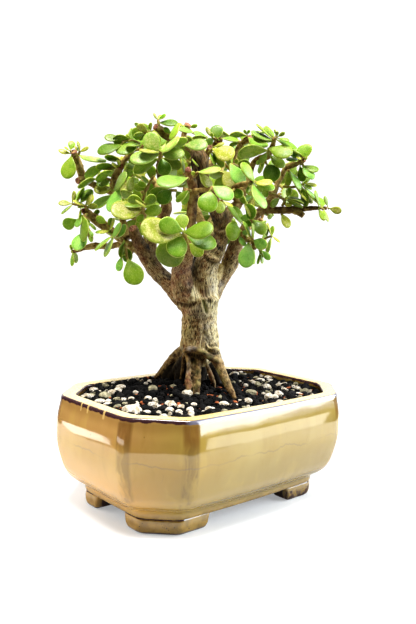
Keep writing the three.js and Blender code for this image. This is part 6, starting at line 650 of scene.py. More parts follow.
# Larger stones and bits in the surface of the soil: x, y, half sizes across, deep and high, turn, kind, lift.
STONES = [
    [-67.94, -16.32, 6.15, 4.92, 3.02, -0.72, "w", 1.2],
    [-71.16, 12.84, 3.82, 3.06, 1.48, -0.72, "w", 0.6],
    [-61.28, 21.82, 3.95, 3.16, 2.3, -0.72, "g", 1.2],
    [-52.84, 27.01, 2.8, 2.24, 2.01, -0.72, "w", 0.6],
    [-58.84, 12.94, 2.4, 1.92, 1.73, -0.72, "g", 0.6],
    [-55.13, 44.25, 3.19, 2.55, 1.84, -0.72, "w", 0.6],
    [-41.04, 34.63, 3.52, 2.82, 1.96, -0.72, "w", 0.6],
    [-22.47, 45.53, 3.02, 2.41, 1.81, -0.72, "w", 1.2],
    [-39.39, 58.4, 2.34, 1.87, 1.56, -0.72, "w", 0.6],
    [-69.76, 6.4, 3.2, 2.56, 0.79, -0.72, "w", 0.6],
    [-56.48, 8.47, 1.79, 1.43, 1.4, -0.72, "w", 0.6],
    [-53.43, 5.59, 2.09, 1.67, 1.29, -0.72, "w", 0.6],
    [-42.97, 15.83, 1.98, 1.58, 1.67, -0.72, "w", 0.6],
    [-46.32, -1.8, 2.38, 1.91, 2.15, -0.72, "w", 0.6],
    [-44.04, -5.72, 1.54, 1.24, 1.6, -0.72, "w", 0.6],
    [-32.9, 11.38, 3.11, 2.49, 2.58, -0.72, "g", 1],
    [-20.97, 35.11, 1.59, 1.27, 1.07, -0.72, "w", 0.6],
    [-62.75, -22.47, 2.79, 2.23, 1.31, -0.72, "w", 0.6],
    [-54.13, -6.59, 1.17, 0.93, 1.05, -0.72, "c", 0.6],
    [-51.41, -29.18, 2.64, 2.11, 2.02, -0.72, "w", 0.6],
    [-48.02, -33.49, 2.24, 1.79, 1.66, -0.72, "w", 0.6],
    [-31.61, -26.92, 1.92, 1.54, 1.31, -0.72, "w", 0.6],
    [-41.04, -34.7, 2.26, 1.81, 1.78, -0.72, "w", 0.6],
    [-31.2, -39.76, 2.28, 1.82, 1.54, -0.72, "w", 0.6],
    [-16.36, -36.18, 3.23, 2.58, 1.59, -0.72, "w", 0.6],
    [-18.32, -32.18, 1.3, 1.04, 0.96, -0.72, "c", 0.6],
    [-23.94, -11.54, 3.52, 2.81, 2.29, -0.72, "w", 1.4],
    [-18.3, -13.82, 1.83, 1.46, 0.82, -0.72, "g", 0.6],
    [-18.24, 9.87, 2.22, 1.78, 1.72, -0.72, "g", 0.6],
    [-32.06, -6.73, 1.33, 1.06, 0.98, -0.72, "g", 0.6],
    [3.05, -36.54, 3.03, 2.42, 2.18, -0.72, "w", 0.6],
    [19.9, -22.05, 3.82, 3.06, 2.41, -0.72, "g", 1.2],
    [21.67, -36.23, 2.99, 2.39, 2.53, -0.72, "w", 1],
    [34.79, -32.1, 3.2, 2.56, 2.65, -0.72, "w", 0.6],
    [49.53, -23.32, 1.99, 1.6, 1.2, -0.72, "w", 0.6],
    [62.61, 11.8, 3.58, 2.86, 1.42, -0.72, "w", 0.6],
    [76.03, 14.75, 3.66, 2.93, 1.78, -0.72, "w", 0.6],
    [44.55, -3.03, 1.77, 1.42, 1.53, -0.72, "g", 0.6],
    [70.85, 38.85, 1.88, 1.51, 1.36, -0.72, "w", 0.6],
    [83.63, 35.66, 3.05, 2.44, 1.78, -0.72, "w", 0.6],
    [52.19, -28.05, 2.32, 1.85, 0.83, -0.72, "g", 0.6],
    [52.23, -34.18, 2.36, 1.89, 0.83, -0.72, "w", 0.6],
    [-9.67, -25.23, 1.21, 0.97, 1.96, -0.72, "g", 0.6],
    [-68.22, 34.6, 2.77, 2.21, 1.11, -0.72, "w", 0.6],
    [-38.12, 48.3, 1.45, 1.16, 0.95, -0.72, "w", 0.6],
    [-49.47, -17.82, 2.01, 1.61, 1.24, -0.72, "w", 0.6],
    [-27.12, 58.9, 2.04, 1.63, 1.23, -0.72, "g", 0.6],
    [85.41, -6.85, 2.44, 1.95, 2.58, -0.72, "k", 2],
    [-43.77, 61.38, 2.67, 2.14, 1.8, -0.72, "k", 1],
    [-10.88, 71.8, 3.55, 2.84, 1.92, -0.72, "k", 1],
    [-29.09, 59, 1.77, 1.41, 1.34, -0.72, "c", 1],
    [-11.5, 53.95, 1.93, 1.55, 0.87, -0.72, "c", 1],
    [-55.37, -9.34, 0.93, 0.74, 0.94, -0.72, "c", 0.6],
    [-23.47, 13.48, 3.17, 1.27, 0.74, -0.72, "c", 0.6],
    [-46.57, -15.91, 1.51, 1.21, 0.84, -0.72, "c", 0.6],
    [6.13, -6.79, 1.92, 0.77, 0.58, -0.72, "c", 0.6],
    [-6.24, -34.88, 1.91, 0.96, 0.86, -0.72, "c", 0.6],
    [21.94, -24.58, 1.27, 0.64, 2.18, -0.72, "c", 0.6],
    [-65.97, 24.46, 0.85, 0.68, 0.65, -0.72, "c", 0.6],
    [-61.14, 16.5, 0.84, 0.67, 0.65, -0.72, "c", 0.6],
]

# Cut ends of branches: name, end (0 first, 1 last), redness.
CUTS = [
    ("branch_left_high", 1, 0.6),
    ("stub_left_high", 1, 0.5),
    ("branch_left_mid", 1, 0.9),
    ("branch_diag_left", 1, 0.8),
    ("limb_farleft", 1, 0.6),
    ("limb_right", 1, 0.6),
    ("stub_top_left2", 1, 0.9),
    ("stub_top_mid", 1, 0.7),
    ("stub_mid_small", 1, 0.6),
    ("branch_upright_thin", 1, 0.8),
    ("branch_right", 1, 0.9),
    ("limb_left", 1, 0.9),
    ("limb_right_back", 1, 0.9),
    ("twig_low_right", 1, 0.1),
]

# Marks on the bark: x, y, z, radius, height, then dark, red, green, grey. The dark along creases, in pits and in the
# knot hole is partly dark bark, partly painted shade.
MARKS = [
    [-12.63, -6.63, 125.78, 0.98, 0.9, 0, 0, 0, 0],
    [-12.13, -6.96, 126.41, 0.98, 0.9, 0, 0, 0, 0],
    [-11.64, -7.3, 127.04, 0.98, 0.9, 0, 0, 0, 0],
    [-11.09, -7.59, 127.66, 0.98, 0.9, 0, 0, 0, 0],
    [-10.52, -7.85, 128.08, 0.98, 0.9, 0, 0, 0, 0],
    [-9.91, -8.07, 128.49, 0.99, 0.9, 0, 0, 0, 0],
    [-9.27, -8.25, 128.9, 0.99, 0.9, 0, 0, 0, 0],
    [-8.33, -8.59, 128.74, 0.99, 0.9, 0, 0, 0, 0],
    [-7.33, -8.86, 128.58, 0.99, 0.9, 0, 0, 0, 0],
    [-6.62, -9.01, 128.06, 0.99, 0.9, 0, 0, 0, 0],
    [-5.88, -9.12, 127.53, 0.99, 0.9, 0, 0, 0, 0],
    [-5.1, -9.2, 126.99, 0.99, 0.9, 0, 0, 0, 0],
    [-4.25, -9.19, 126.66, 0.99, 0.9, 0, 0, 0, 0],
    [-3.38, -9.15, 126.32, 0.99, 0.9, 0, 0, 0, 0],
    [-2.42, -9.02, 125.97, 1, 0.9, 0, 0, 0, 0],
    [-1.32, -8.72, 126.22, 1, 0.9, 0, 0, 0, 0],
    [-0.04, -8.21, 126.46, 1, 0.9, 0, 0, 0, 0],
    [1.56, -7.36, 126.66, 1, 0.9, 0, 0, 0, 0],
    [-7, -9.04, 126.42, 1.05, -0.8, 0.9, 0, 0, 0],
    [-2.52, -9.21, 124.42, 0.93, -0.7, 0.9, 0, 0, 0],
    [-10.06, -7.17, 131.31, 1.11, -0.7, 0.35, 0, 0, 0],
    [-9.37, -7.57, 131.09, 1.11, -0.7, 0.35, 0, 0, 0],
    [-8.65, -7.92, 130.87, 1.11, -0.7, 0.35, 0, 0, 0],
    [-7.88, -8.22, 130.64, 1.11, -0.7, 0.35, 0, 0, 0],
    [-7.04, -8.44, 130.4, 1.11, -0.7, 0.35, 0, 0, 0],
    [-6.24, -8.67, 130.03, 1.11, -0.7, 0.35, 0, 0, 0],
    [-5.38, -8.83, 129.64, 1.11, -0.7, 0.35, 0, 0, 0],
    [-4.42, -8.89, 129.25, 1.12, -0.7, 0.35, 0, 0, 0],
    [-3.41, -8.88, 128.85, 1.12, -0.7, 0.35, 0, 0, 0],
    [-2.25, -8.72, 128.44, 1.12, -0.7, 0.35, 0, 0, 0],
    [-10.24, -8.05, 126.75, 0.92, -0.7, 0, 0, 1, 0],
    [-9.93, -8.2, 125.82, 0.92, -0.7, 0, 0, 1, 0],
    [-9.61, -8.35, 124.9, 0.92, -0.7, 0, 0, 1, 0],
    [-9.3, -8.5, 123.97, 0.92, -0.7, 0, 0, 1, 0],
    [-9.05, -8.63, 123.17, 0.92, -0.7, 0, 0, 1, 0],
    [-8.78, -8.73, 122.36, 0.93, -0.7, 0, 0, 1, 0],
    [-8.47, -8.78, 121.55, 0.93, -0.7, 0, 0, 1, 0],
    [-8.11, -8.78, 120.73, 0.93, -0.7, 0, 0, 1, 0],
    [-7.67, -8.69, 119.9, 0.93, -0.7, 0, 0, 1, 0],
    [-10.91, -7.72, 126.43, 0.62, -0.6, 0.75, 0, 0, 0],
    [-10.73, -7.82, 125.66, 0.62, -0.6, 0.75, 0, 0, 0],
    [-10.54, -7.91, 124.89, 0.62, -0.6, 0.75, 0, 0, 0],
    [-10.35, -8.01, 124.12, 0.62, -0.6, 0.75, 0, 0, 0],
    [-10.16, -8.11, 123.35, 0.62, -0.6, 0.75, 0, 0, 0],
    [-9.86, -8.27, 122.58, 0.62, -0.6, 0.75, 0, 0, 0],
    [-9.52, -8.38, 121.8, 0.62, -0.6, 0.75, 0, 0, 0],
    [-9.14, -8.45, 121.02, 0.62, -0.6, 0.75, 0, 0, 0],
    [-8.72, -8.46, 120.23, 0.62, -0.6, 0.75, 0, 0, 0],
    [-11.85, -7.14, 125.8, 0.86, 0.5, 0, 0, 0, 0],
    [-11.63, -7.27, 125.03, 0.86, 0.5, 0, 0, 0, 0],
    [-11.41, -7.39, 124.26, 0.86, 0.5, 0, 0, 0, 0],
    [-11.18, -7.52, 123.49, 0.86, 0.5, 0, 0, 0, 0],
    [-10.97, -7.66, 122.72, 0.86, 0.5, 0, 0, 0, 0],
    [-10.73, -7.77, 121.95, 0.86, 0.5, 0, 0, 0, 0],
    [-10.45, -7.84, 121.17, 0.86, 0.5, 0, 0, 0, 0],
    [-10.13, -7.86, 120.38, 0.86, 0.5, 0, 0, 0, 0],
    [-9.78, -7.83, 119.59, 0.86, 0.5, 0, 0, 0, 0],
    [-7.67, -8.54, 119.07, 0.74, -0.6, 0.9, 0, 0, 0],
    [-19.47, 6.43, 124.32, 1.37, -1, 0.62, 0.3, 0, 0],
    [-19.38, 5.13, 124.05, 1.37, -1, 0.62, 0.3, 0, 0],
    [-19.05, 4.14, 123.75, 1.37, -1, 0.62, 0.3, 0, 0],
    [-18.62, 3.27, 123.43, 1.36, -1, 0.62, 0.3, 0, 0],
    [-18.14, 2.48, 123.11, 1.36, -1, 0.62, 0.3, 0, 0],
    [-17.61, 1.74, 122.77, 1.36, -1, 0.62, 0.3, 0, 0],
    [-17.15, 0.93, 122.83, 1.36, -1, 0.62, 0.3, 0, 0],
    [-16.67, 0.16, 122.88, 1.36, -1, 0.62, 0.3, 0, 0],
    [-16.38, -0.85, 122.95, 1.36, -1, 0.62, 0.3, 0, 0],
    [-16.05, -1.81, 123.02, 1.36, -1, 0.62, 0.3, 0, 0],
    [-15.64, -2.67, 123.08, 1.36, -1, 0.62, 0.3, 0, 0],
    [-15.3, -3.39, 123.62, 1.36, -1, 0.62, 0.3, 0, 0],
    [-14.92, -4.06, 124.16, 1.35, -1, 0.62, 0.3, 0, 0],
    [-14.49, -4.68, 124.69, 1.35, -1, 0.62, 0.3, 0, 0],
    [-14.03, -5.26, 125.22, 1.35, -1, 0.62, 0.3, 0, 0],
    [-13.54, -5.8, 125.74, 1.35, -1, 0.62, 0.3, 0, 0],
    [-13.26, -6.15, 126.38, 1.35, -1, 0.62, 0.3, 0, 0],
    [-12.92, -6.44, 127.01, 1.35, -1, 0.62, 0.3, 0, 0],
    [-12.55, -6.69, 127.63, 1.35, -1, 0.62, 0.3, 0, 0],
    [-12.15, -6.91, 128.25, 1.35, -1, 0.62, 0.3, 0, 0],
    [-21.02, 0.86, 132.22, 0.8, -0.5, 0.5, 0, 0, 0],
    [-20.39, 0.17, 132.18, 0.8, -0.5, 0.5, 0, 0, 0],
    [-19.68, -0.42, 132.13, 0.8, -0.5, 0.5, 0, 0, 0],
    [-18.9, -0.93, 132.07, 0.8, -0.5, 0.5, 0, 0, 0],
    [-18.05, -1.34, 132, 0.8, -0.5, 0.5, 0, 0, 0],
    [-17.36, -1.64, 132.44, 0.8, -0.5, 0.5, 0, 0, 0],
    [-16.6, -1.86, 132.87, 0.8, -0.5, 0.5, 0, 0, 0],
    [-15.72, -1.95, 133.29, 0.8, -0.5, 0.5, 0, 0, 0],
    [-14.74, -1.91, 133.7, 0.8, -0.5, 0.5, 0, 0, 0],
    [-13.68, -1.78, 134.11, 0.8, -0.5, 0.5, 0, 0, 0],
    [-20.02, -0.73, 134.76, 0.92, 0.35, 0, 0, 0, 0],
    [-19.2, -1.17, 134.78, 0.92, 0.35, 0, 0, 0, 0],
    [-18.3, -1.53, 134.79, 0.92, 0.35, 0, 0, 0, 0],
    [-17.32, -1.79, 134.79, 0.92, 0.35, 0, 0, 0, 0],
    [-16.2, -1.89, 134.78, 0.92, 0.35, 0, 0, 0, 0],
    [-23.14, -1.29, 143.99, 2.43, 0.15, 0, 0.9, 0, 0],
    [-23.68, 2.66, 137.68, 2.15, 0.15, 0, 0.6, 0, 0],
    [-20.36, -1.05, 137.24, 1.84, 0.15, 0, 0.6, 0, 0],
    [-22.14, 2.43, 132.75, 2.46, 0.15, 0, 0.5, 0, 0],
    [-18.36, -2.31, 140.97, 1.53, 0.15, 0, 0.4, 0, 0],
    [-24.77, -2.13, 149.47, 1.81, 0.15, 0, 0.5, 0, 0],
    [-21.19, 5.42, 128.19, 1.86, 0.15, 0, 0.5, 0, 0],
    [-16.56, 2.92, 120.14, 2.49, 0.15, 0, 0.45, 0, 0],
    [-15.81, -1.96, 121.79, 1.85, 0.15, 0, 0.4, 0, 0],
    [-25.18, 2.09, 146.27, 1.52, 0.15, 0, 0.4, 0, 0],
    [-5.91, -3.22, 154.91, 0.99, 0.8, 0, 0.25, 0, 0],
    [-5.68, -4.11, 154.44, 0.99, 0.8, 0, 0.25, 0, 0],
    [-5.36, -4.9, 153.97, 0.99, 0.8, 0, 0.25, 0, 0],
    [-4.95, -5.58, 153.5, 0.99, 0.8, 0, 0.25, 0, 0],
    [-4.48, -6.2, 153.04, 0.99, 0.8, 0, 0.25, 0, 0],
    [-3.92, -6.7, 152.56, 0.99, 0.8, 0, 0.25, 0, 0],
    [-3.14, -7.23, 152.43, 0.99, 0.8, 0, 0.25, 0, 0],
    [-2.29, -7.68, 152.3, 0.99, 0.8, 0, 0.25, 0, 0],
    [-1.32, -8, 152.17, 0.99, 0.8, 0, 0.25, 0, 0],
    [-0.29, -8.25, 152.03, 0.99, 0.8, 0, 0.25, 0, 0],
    [0.52, -8.56, 152.57, 0.99, 0.8, 0, 0.25, 0, 0],
    [1.44, -8.76, 153.1, 1, 0.8, 0, 0.25, 0, 0],
    [2.57, -8.72, 153.63, 1, 0.8, 0, 0.25, 0, 0],
    [-6.07, -4.46, 152.47, 0.93, -0.7, 0.7, 0, 0, 0],
    [-5.64, -5.12, 152, 0.93, -0.7, 0.7, 0, 0, 0],
    [-5.16, -5.73, 151.53, 0.93, -0.7, 0.7, 0, 0, 0],
    [-4.59, -6.22, 151.06, 0.93, -0.7, 0.7, 0, 0, 0],
    [-3.95, -6.64, 150.58, 0.93, -0.7, 0.7, 0, 0, 0],
    [-3.23, -6.97, 150.1, 0.93, -0.7, 0.7, 0, 0, 0],
    [-2.26, -7.29, 149.97, 0.93, -0.7, 0.7, 0, 0, 0],
    [-1.22, -7.53, 149.83, 0.93, -0.7, 0.7, 0, 0, 0],
    [-0.03, -7.6, 149.68, 0.93, -0.7, 0.7, 0, 0, 0],
    [1.37, -7.45, 149.53, 0.94, -0.7, 0.7, 0, 0, 0],
    [2.58, -7.32, 150.05, 0.94, -0.7, 0.7, 0, 0, 0],
    [4.28, -6.67, 150.56, 0.94, -0.7, 0.7, 0, 0, 0],
    [12.07, 0.66, 150.9, 0.96, -0.7, 0.7, 0, 0, 0],
    [0.19, -9.71, 159.01, 1.18, -1.6, 1, 0, 0, 0],
    [-1.14, -8.7, 158.83, 0.93, 0.6, 0, 0.3, 0, 0],
    [-0.72, -8.95, 157.31, 0.93, 0.6, 0, 0.3, 0, 0],
    [0.92, -9.47, 156.73, 0.93, 0.6, 0, 0.3, 0, 0],
    [1.93, -10.14, 158.31, 0.93, 0.6, 0, 0.3, 0, 0],
    [0.18, -9.65, 160.85, 0.93, 0.6, 0, 0.3, 0, 0],
    [-0.63, -5.85, 172.08, 0.75, -0.5, 0.5, 0, 0, 0],
    [-0.48, -6.95, 171.57, 0.74, -0.5, 0.5, 0, 0, 0],
    [-0.21, -7.9, 171.07, 0.74, -0.5, 0.5, 0, 0, 0],
    [0.23, -8.68, 170.58, 0.74, -0.5, 0.5, 0, 0, 0],
    [0.73, -9.27, 170.67, 0.74, -0.5, 0.5, 0, 0, 0],
    [1.28, -9.82, 170.77, 0.74, -0.5, 0.5, 0, 0, 0],
    [1.97, -10.2, 170.87, 0.74, -0.5, 0.5, 0, 0, 0],
    [2.73, -10.51, 170.98, 0.74, -0.5, 0.5, 0, 0, 0],
    [-0.31, -4.67, 169.62, 0.75, 0.5, 0, 0, 0, 0],
    [-0.55, -6.13, 169.31, 0.75, 0.5, 0, 0, 0, 0],
    [-0.43, -7.16, 169.01, 0.74, 0.5, 0, 0, 0, 0],
    [-0.15, -8.02, 168.71, 0.74, 0.5, 0, 0, 0, 0],
    [0.27, -8.73, 168.42, 0.74, 0.5, 0, 0, 0, 0],
    [0.74, -9.35, 168.6, 0.74, 0.5, 0, 0, 0, 0],
    [1.33, -9.85, 168.77, 0.74, 0.5, 0, 0, 0, 0],
    [2.03, -10.22, 168.95, 0.74, 0.5, 0, 0, 0, 0],
    [2.8, -10.52, 169.14, 0.74, 0.5, 0, 0, 0, 0],
    [-7.35, -7.79, 131.91, 2.47, 0.1, 0, 0, 0, 0.8],
    [-1.56, -6.75, 134.22, 2.81, 0.1, 0, 0, 0, 0.8],
    [-3.26, -6.55, 139.22, 2.49, 0.1, 0, 0, 0, 0.5],
    [0.96, -6.9, 130.42, 1.88, 0.1, 0, 0, 0, 0.7],
    [9.31, -2.11, 136.29, 2.24, 0.1, 0, 0, 0, 0.8],
    [7.2, -2.71, 132.53, 1.91, 0.1, 0, 0, 0, 0.7],
    [-2.77, -6.72, 144.2, 2.49, 0.1, 0, 0, 0, 0.4],
    [-7.17, -8.55, 110.2, 2.48, 0.1, 0, 0, 0, 0.5],
    [-2.33, -8.56, 113.08, 2.5, 0.1, 0, 0, 0, 0.4],
    [-6.89, -9.48, 103.41, 2.48, 0.1, 0, 0, 0, 0.5],
    [-18.2, -4.92, 97.09, 1.97, 0.1, 0, 0, 0, 0.9],
    [-16.05, -7.13, 97.53, 1.35, 0.1, 0, 0, 0, 0.9],
    [-4.83, -13.14, 94.97, 1.24, 0.1, 0, 0, 0, 0.5],
    [-20.04, -5.82, 82.76, 1.48, 0.1, 0, 0, 0, 0.35],
    [-18.79, -4.11, 87.37, 1.36, 0.1, 0, 0, 0, 0.35],
    [-9.74, -7.45, 116.45, 1.42, -0.3, 0.22, 0, 0, 0],
    [-9.61, -7.45, 115.47, 1.42, -0.3, 0.22, 0, 0, 0],
    [-9.47, -7.44, 114.48, 1.42, -0.3, 0.22, 0, 0, 0],
    [-9.33, -7.44, 113.5, 1.42, -0.3, 0.22, 0, 0, 0],
    [-9.28, -7.52, 112.52, 1.42, -0.3, 0.22, 0, 0, 0],
    [-9.23, -7.62, 111.55, 1.42, -0.3, 0.22, 0, 0, 0],
    [-9.18, -7.71, 110.58, 1.42, -0.3, 0.22, 0, 0, 0],
    [-9.13, -7.81, 109.61, 1.42, -0.3, 0.22, 0, 0, 0],
    [-9.21, -7.84, 108.68, 1.42, -0.3, 0.22, 0, 0, 0],
    [-9.29, -7.88, 107.75, 1.42, -0.3, 0.22, 0, 0, 0],
    [-9.37, -7.92, 106.82, 1.42, -0.3, 0.22, 0, 0, 0],
    [-9.47, -7.99, 105.9, 1.42, -0.3, 0.22, 0, 0, 0],
    [-9.58, -8.06, 104.98, 1.42, -0.3, 0.22, 0, 0, 0],
    [-9.69, -8.12, 104.06, 1.42, -0.3, 0.22, 0, 0, 0],
    [-9.79, -8.19, 103.14, 1.42, -0.3, 0.22, 0, 0, 0],
    [-9.93, -8.3, 102.22, 1.42, -0.3, 0.22, 0, 0, 0],
    [-10.18, -8.25, 101.36, 1.42, -0.3, 0.22, 0, 0, 0],
    [-10.39, -8.15, 100.49, 1.42, -0.3, 0.22, 0, 0, 0],
    [-10.62, -8.08, 99.62, 1.42, -0.3, 0.22, 0, 0, 0],
    [-10.84, -7.99, 98.75, 1.42, -0.3, 0.22, 0, 0, 0],
    [-11.1, -7.95, 97.89, 1.42, -0.3, 0.22, 0, 0, 0],
    [-9.35, -7.89, 107.13, 0.68, -0.5, 0.8, 0, 0, 0],
    [-8.91, -8.23, 106.36, 0.68, -0.5, 0.8, 0, 0, 0],
    [-8.44, -8.56, 105.59, 0.68, -0.5, 0.8, 0, 0, 0],
    [-7.97, -8.88, 104.82, 0.68, -0.5, 0.8, 0, 0, 0],
    [-7.48, -9.18, 104.04, 0.68, -0.5, 0.8, 0, 0, 0],
    [-7.02, -9.43, 103.42, 0.68, -0.5, 0.8, 0, 0, 0],
    [-6.58, -9.71, 102.79, 0.68, -0.5, 0.8, 0, 0, 0],
    [-6.1, -9.94, 102.16, 0.68, -0.5, 0.8, 0, 0, 0],
    [-5.54, -10.09, 101.52, 0.68, -0.5, 0.8, 0, 0, 0],
    [-4.97, -10.22, 100.87, 0.68, -0.5, 0.8, 0, 0, 0],
    [-8.78, -8.84, 102.84, 0.81, -0.5, 0.6, 0, 0, 0],
    [-8.38, -9.17, 102.1, 0.81, -0.5, 0.6, 0, 0, 0],
    [-7.93, -9.44, 101.35, 0.81, -0.5, 0.6, 0, 0, 0],
    [-7.44, -9.66, 100.59, 0.81, -0.5, 0.6, 0, 0, 0],
    [-6.95, -9.89, 99.84, 0.81, -0.5, 0.6, 0, 0, 0],
    [-6.41, -10.07, 99.07, 0.81, -0.5, 0.6, 0, 0, 0],
    [-5.76, -10.3, 98.42, 0.81, -0.5, 0.6, 0, 0, 0],
    [-5.48, -10.94, 97.86, 0.81, -0.5, 0.6, 0, 0, 0],
    [-5.16, -11.55, 97.29, 0.81, -0.5, 0.6, 0, 0, 0],
    [-14.9, -1.12, 115.45, 0.62, -0.35, 0.7, 0, 0, 0],
    [-12.86, -4.69, 110.72, 0.62, -0.35, 0.7, 0, 0, 0],
    [-15.18, 0.08, 105.95, 0.62, -0.35, 0.7, 0, 0, 0],
    [-13.76, -4.15, 103.22, 0.62, -0.35, 0.7, 0, 0, 0],
    [-15.34, 2, 109.52, 0.62, -0.35, 0.7, 0, 0, 0],
    [-11.55, -5.9, 113.27, 0.62, -0.35, 0.7, 0, 0, 0],
    [-5.18, -9.25, 107.04, 0.62, -0.35, 0.7, 0, 0, 0],
    [-4.17, -10.21, 102.07, 0.62, -0.35, 0.7, 0, 0, 0],
    [-12.31, -6.32, 102.14, 0.62, -0.35, 0.7, 0, 0, 0],
    [-14.81, -2.64, 99.98, 0.62, -0.35, 0.7, 0, 0, 0],
    [-7.29, -8.44, 115.81, 0.62, -0.35, 0.7, 0, 0, 0],
    [-3.82, -9.03, 119.46, 0.62, -0.35, 0.7, 0, 0, 0],
    [-8.38, -9.54, 97.89, 0.93, 0.9, 0, 0, 0, 0],
    [-7.64, -9.88, 97.57, 0.93, 0.9, 0, 0, 0, 0],
    [-6.85, -10.18, 97.23, 0.93, 0.9, 0, 0, 0, 0],
    [-6.15, -10.57, 96.92, 0.93, 0.9, 0, 0, 0, 0],
    [-5.72, -11.27, 96.67, 0.93, 0.9, 0, 0, 0, 0],
    [-5.25, -11.91, 96.51, 0.93, 0.9, 0, 0, 0, 0],
    [-4.69, -12.46, 96.34, 0.93, 0.9, 0, 0, 0, 0],
    [-4.08, -12.95, 96.15, 0.93, 0.9, 0, 0, 0, 0],
    [-3.37, -13.33, 95.94, 0.93, 0.9, 0, 0, 0, 0],
    [-2.18, -13.39, 96.11, 0.93, 0.9, 0, 0, 0, 0],
    [-0.51, -12.93, 96.17, 0.94, 0.9, 0, 0, 0, 0],
    [-7.08, -10.08, 94.73, 0.87, -0.7, 0.95, 0, 0, 0],
    [-6.49, -10.83, 94.47, 0.87, -0.7, 0.95, 0, 0, 0],
    [-6.11, -11.82, 94.26, 0.87, -0.7, 0.95, 0, 0, 0],
    [-5.64, -12.7, 94.03, 0.87, -0.7, 0.95, 0, 0, 0],
    [-5.12, -13.52, 93.79, 0.87, -0.7, 0.95, 0, 0, 0],
    [-4.4, -14.11, 93.97, 0.87, -0.7, 0.95, 0, 0, 0],
    [-3.48, -14.46, 94.1, 0.87, -0.7, 0.95, 0, 0, 0],
    [-2.36, -14.6, 94.18, 0.87, -0.7, 0.95, 0, 0, 0],
    [-0.79, -14.26, 94.17, 0.87, -0.7, 0.95, 0, 0, 0],
    [-13.89, -10.35, 95.93, 1.84, 0.1, 0, 0, 0.45, 0],
    [-11.53, -12.39, 94.47, 1.84, 0.1, 0, 0, 0.45, 0],
    [-8.73, -13.95, 92.28, 1.85, 0.1, 0, 0, 0.45, 0],
    [-5.72, -16.21, 90.47, 1.85, 0.1, 0, 0, 0.45, 0],
    [-12.15, -11.29, 92.81, 1.35, 0, 0, 0.7, 0, 0],
    [-7.47, -14.5, 89.76, 1.54, 0, 0, 0.7, 0, 0],
    [-6.24, -15.03, 88.48, 1.23, 0, 0, 0.7, 0, 0],
    [-17.82, -2.69, 93.02, 0.87, -0.3, 0.8, 0, 0, 0],
    [-17.26, -3.37, 92.94, 0.87, -0.3, 0.8, 0, 0, 0],
    [-16.42, -3.72, 92.8, 0.87, -0.3, 0.8, 0, 0, 0],
    [-14.53, -2.82, 92.39, 0.87, -0.3, 0.8, 0, 0, 0],
    [-14.09, -3.66, 92.34, 0.87, -0.3, 0.8, 0, 0, 0],
    [-13.64, -4.48, 92.3, 0.87, -0.3, 0.8, 0, 0, 0],
    [-13.09, -5.18, 92.1, 0.87, -0.3, 0.8, 0, 0, 0],
    [-12.92, -6.34, 91.99, 0.87, -0.3, 0.8, 0, 0, 0],
    [-12.53, -7.22, 91.84, 0.87, -0.3, 0.8, 0, 0, 0],
    [-11.83, -7.74, 91.6, 0.87, -0.3, 0.8, 0, 0, 0],
    [-10.76, -7.84, 91.27, 0.87, -0.3, 0.8, 0, 0, 0],
    [-13.08, -4.95, 88.23, 1.86, 0, 0, 0, 0.5, 0],
    [-14.57, -8.88, 82.7, 1.85, 0, 0, 0, 0.5, 0],
    [-16.11, -11.89, 77.12, 1.84, 0, 0, 0, 0.5, 0],
    [-17.41, -11.68, 73.5, 1.53, 0, 0, 0, 0.5, 0],
    [-4.81, -17.37, 83.08, 2.16, 0, 0, 0, 0.5, 0],
    [-4.33, -21.68, 77.5, 2.15, 0, 0, 0, 0.5, 0],
    [-21.72, -9.01, 78.48, 1.83, 0, 0, 0.65, 0, 0],
    [-22.15, -11.57, 75.26, 1.52, 0, 0, 0.65, 0, 0],
    [-19.64, -7.3, 81.71, 1.53, 0, 0, 0.65, 0, 0],
    [-0.78, -5.48, 79.51, 1.9, 0, 0, 0.65, 0, 0],
    [0.43, -5.24, 75.48, 1.27, 0, 0, 0.65, 0, 0],
    [-15.28, -11.81, 78.26, 0.8, -0.7, 1, 0, 0, 0],
    [-13.89, -3.11, 90.55, 0.56, -0.4, 0.8, 0, 0, 0],
    [-14.02, -3.34, 89.65, 0.56, -0.4, 0.8, 0, 0, 0],
    [-14.15, -3.56, 88.75, 0.56, -0.4, 0.8, 0, 0, 0],
    [-14.35, -3.87, 87.87, 0.56, -0.4, 0.8, 0, 0, 0],
    [-14.55, -4.19, 86.99, 0.56, -0.4, 0.8, 0, 0, 0],
    [-14.75, -4.51, 86.12, 0.56, -0.4, 0.8, 0, 0, 0],
    [-14.95, -4.82, 85.24, 0.56, -0.4, 0.8, 0, 0, 0],
    [-15.16, -5.14, 84.37, 0.56, -0.4, 0.8, 0, 0, 0],
    [-15.36, -5.46, 83.49, 0.56, -0.4, 0.8, 0, 0, 0],
    [-15.55, -5.73, 82.58, 0.56, -0.4, 0.8, 0, 0, 0],
    [-15.77, -6.05, 81.67, 0.56, -0.4, 0.8, 0, 0, 0],
    [-16.02, -6.39, 80.78, 0.56, -0.4, 0.8, 0, 0, 0],
    [-16.24, -6.7, 79.88, 0.56, -0.4, 0.8, 0, 0, 0],
    [-16.49, -7.06, 78.99, 0.56, -0.4, 0.8, 0, 0, 0],
    [-16.71, -7.37, 78.09, 0.56, -0.4, 0.8, 0, 0, 0],
    [-16.96, -7.72, 77.2, 0.55, -0.4, 0.8, 0, 0, 0],
    [-17.2, -8.05, 76.31, 0.55, -0.4, 0.8, 0, 0, 0],
    [-17.48, -8.43, 75.44, 0.55, -0.4, 0.8, 0, 0, 0],
]


# ---------------------------------------------------------------- numbers
def unit(v):
    v = np.asarray(v, float)
    return v / np.maximum(np.linalg.norm(v, axis=-1, keepdims=True), 1e-12)


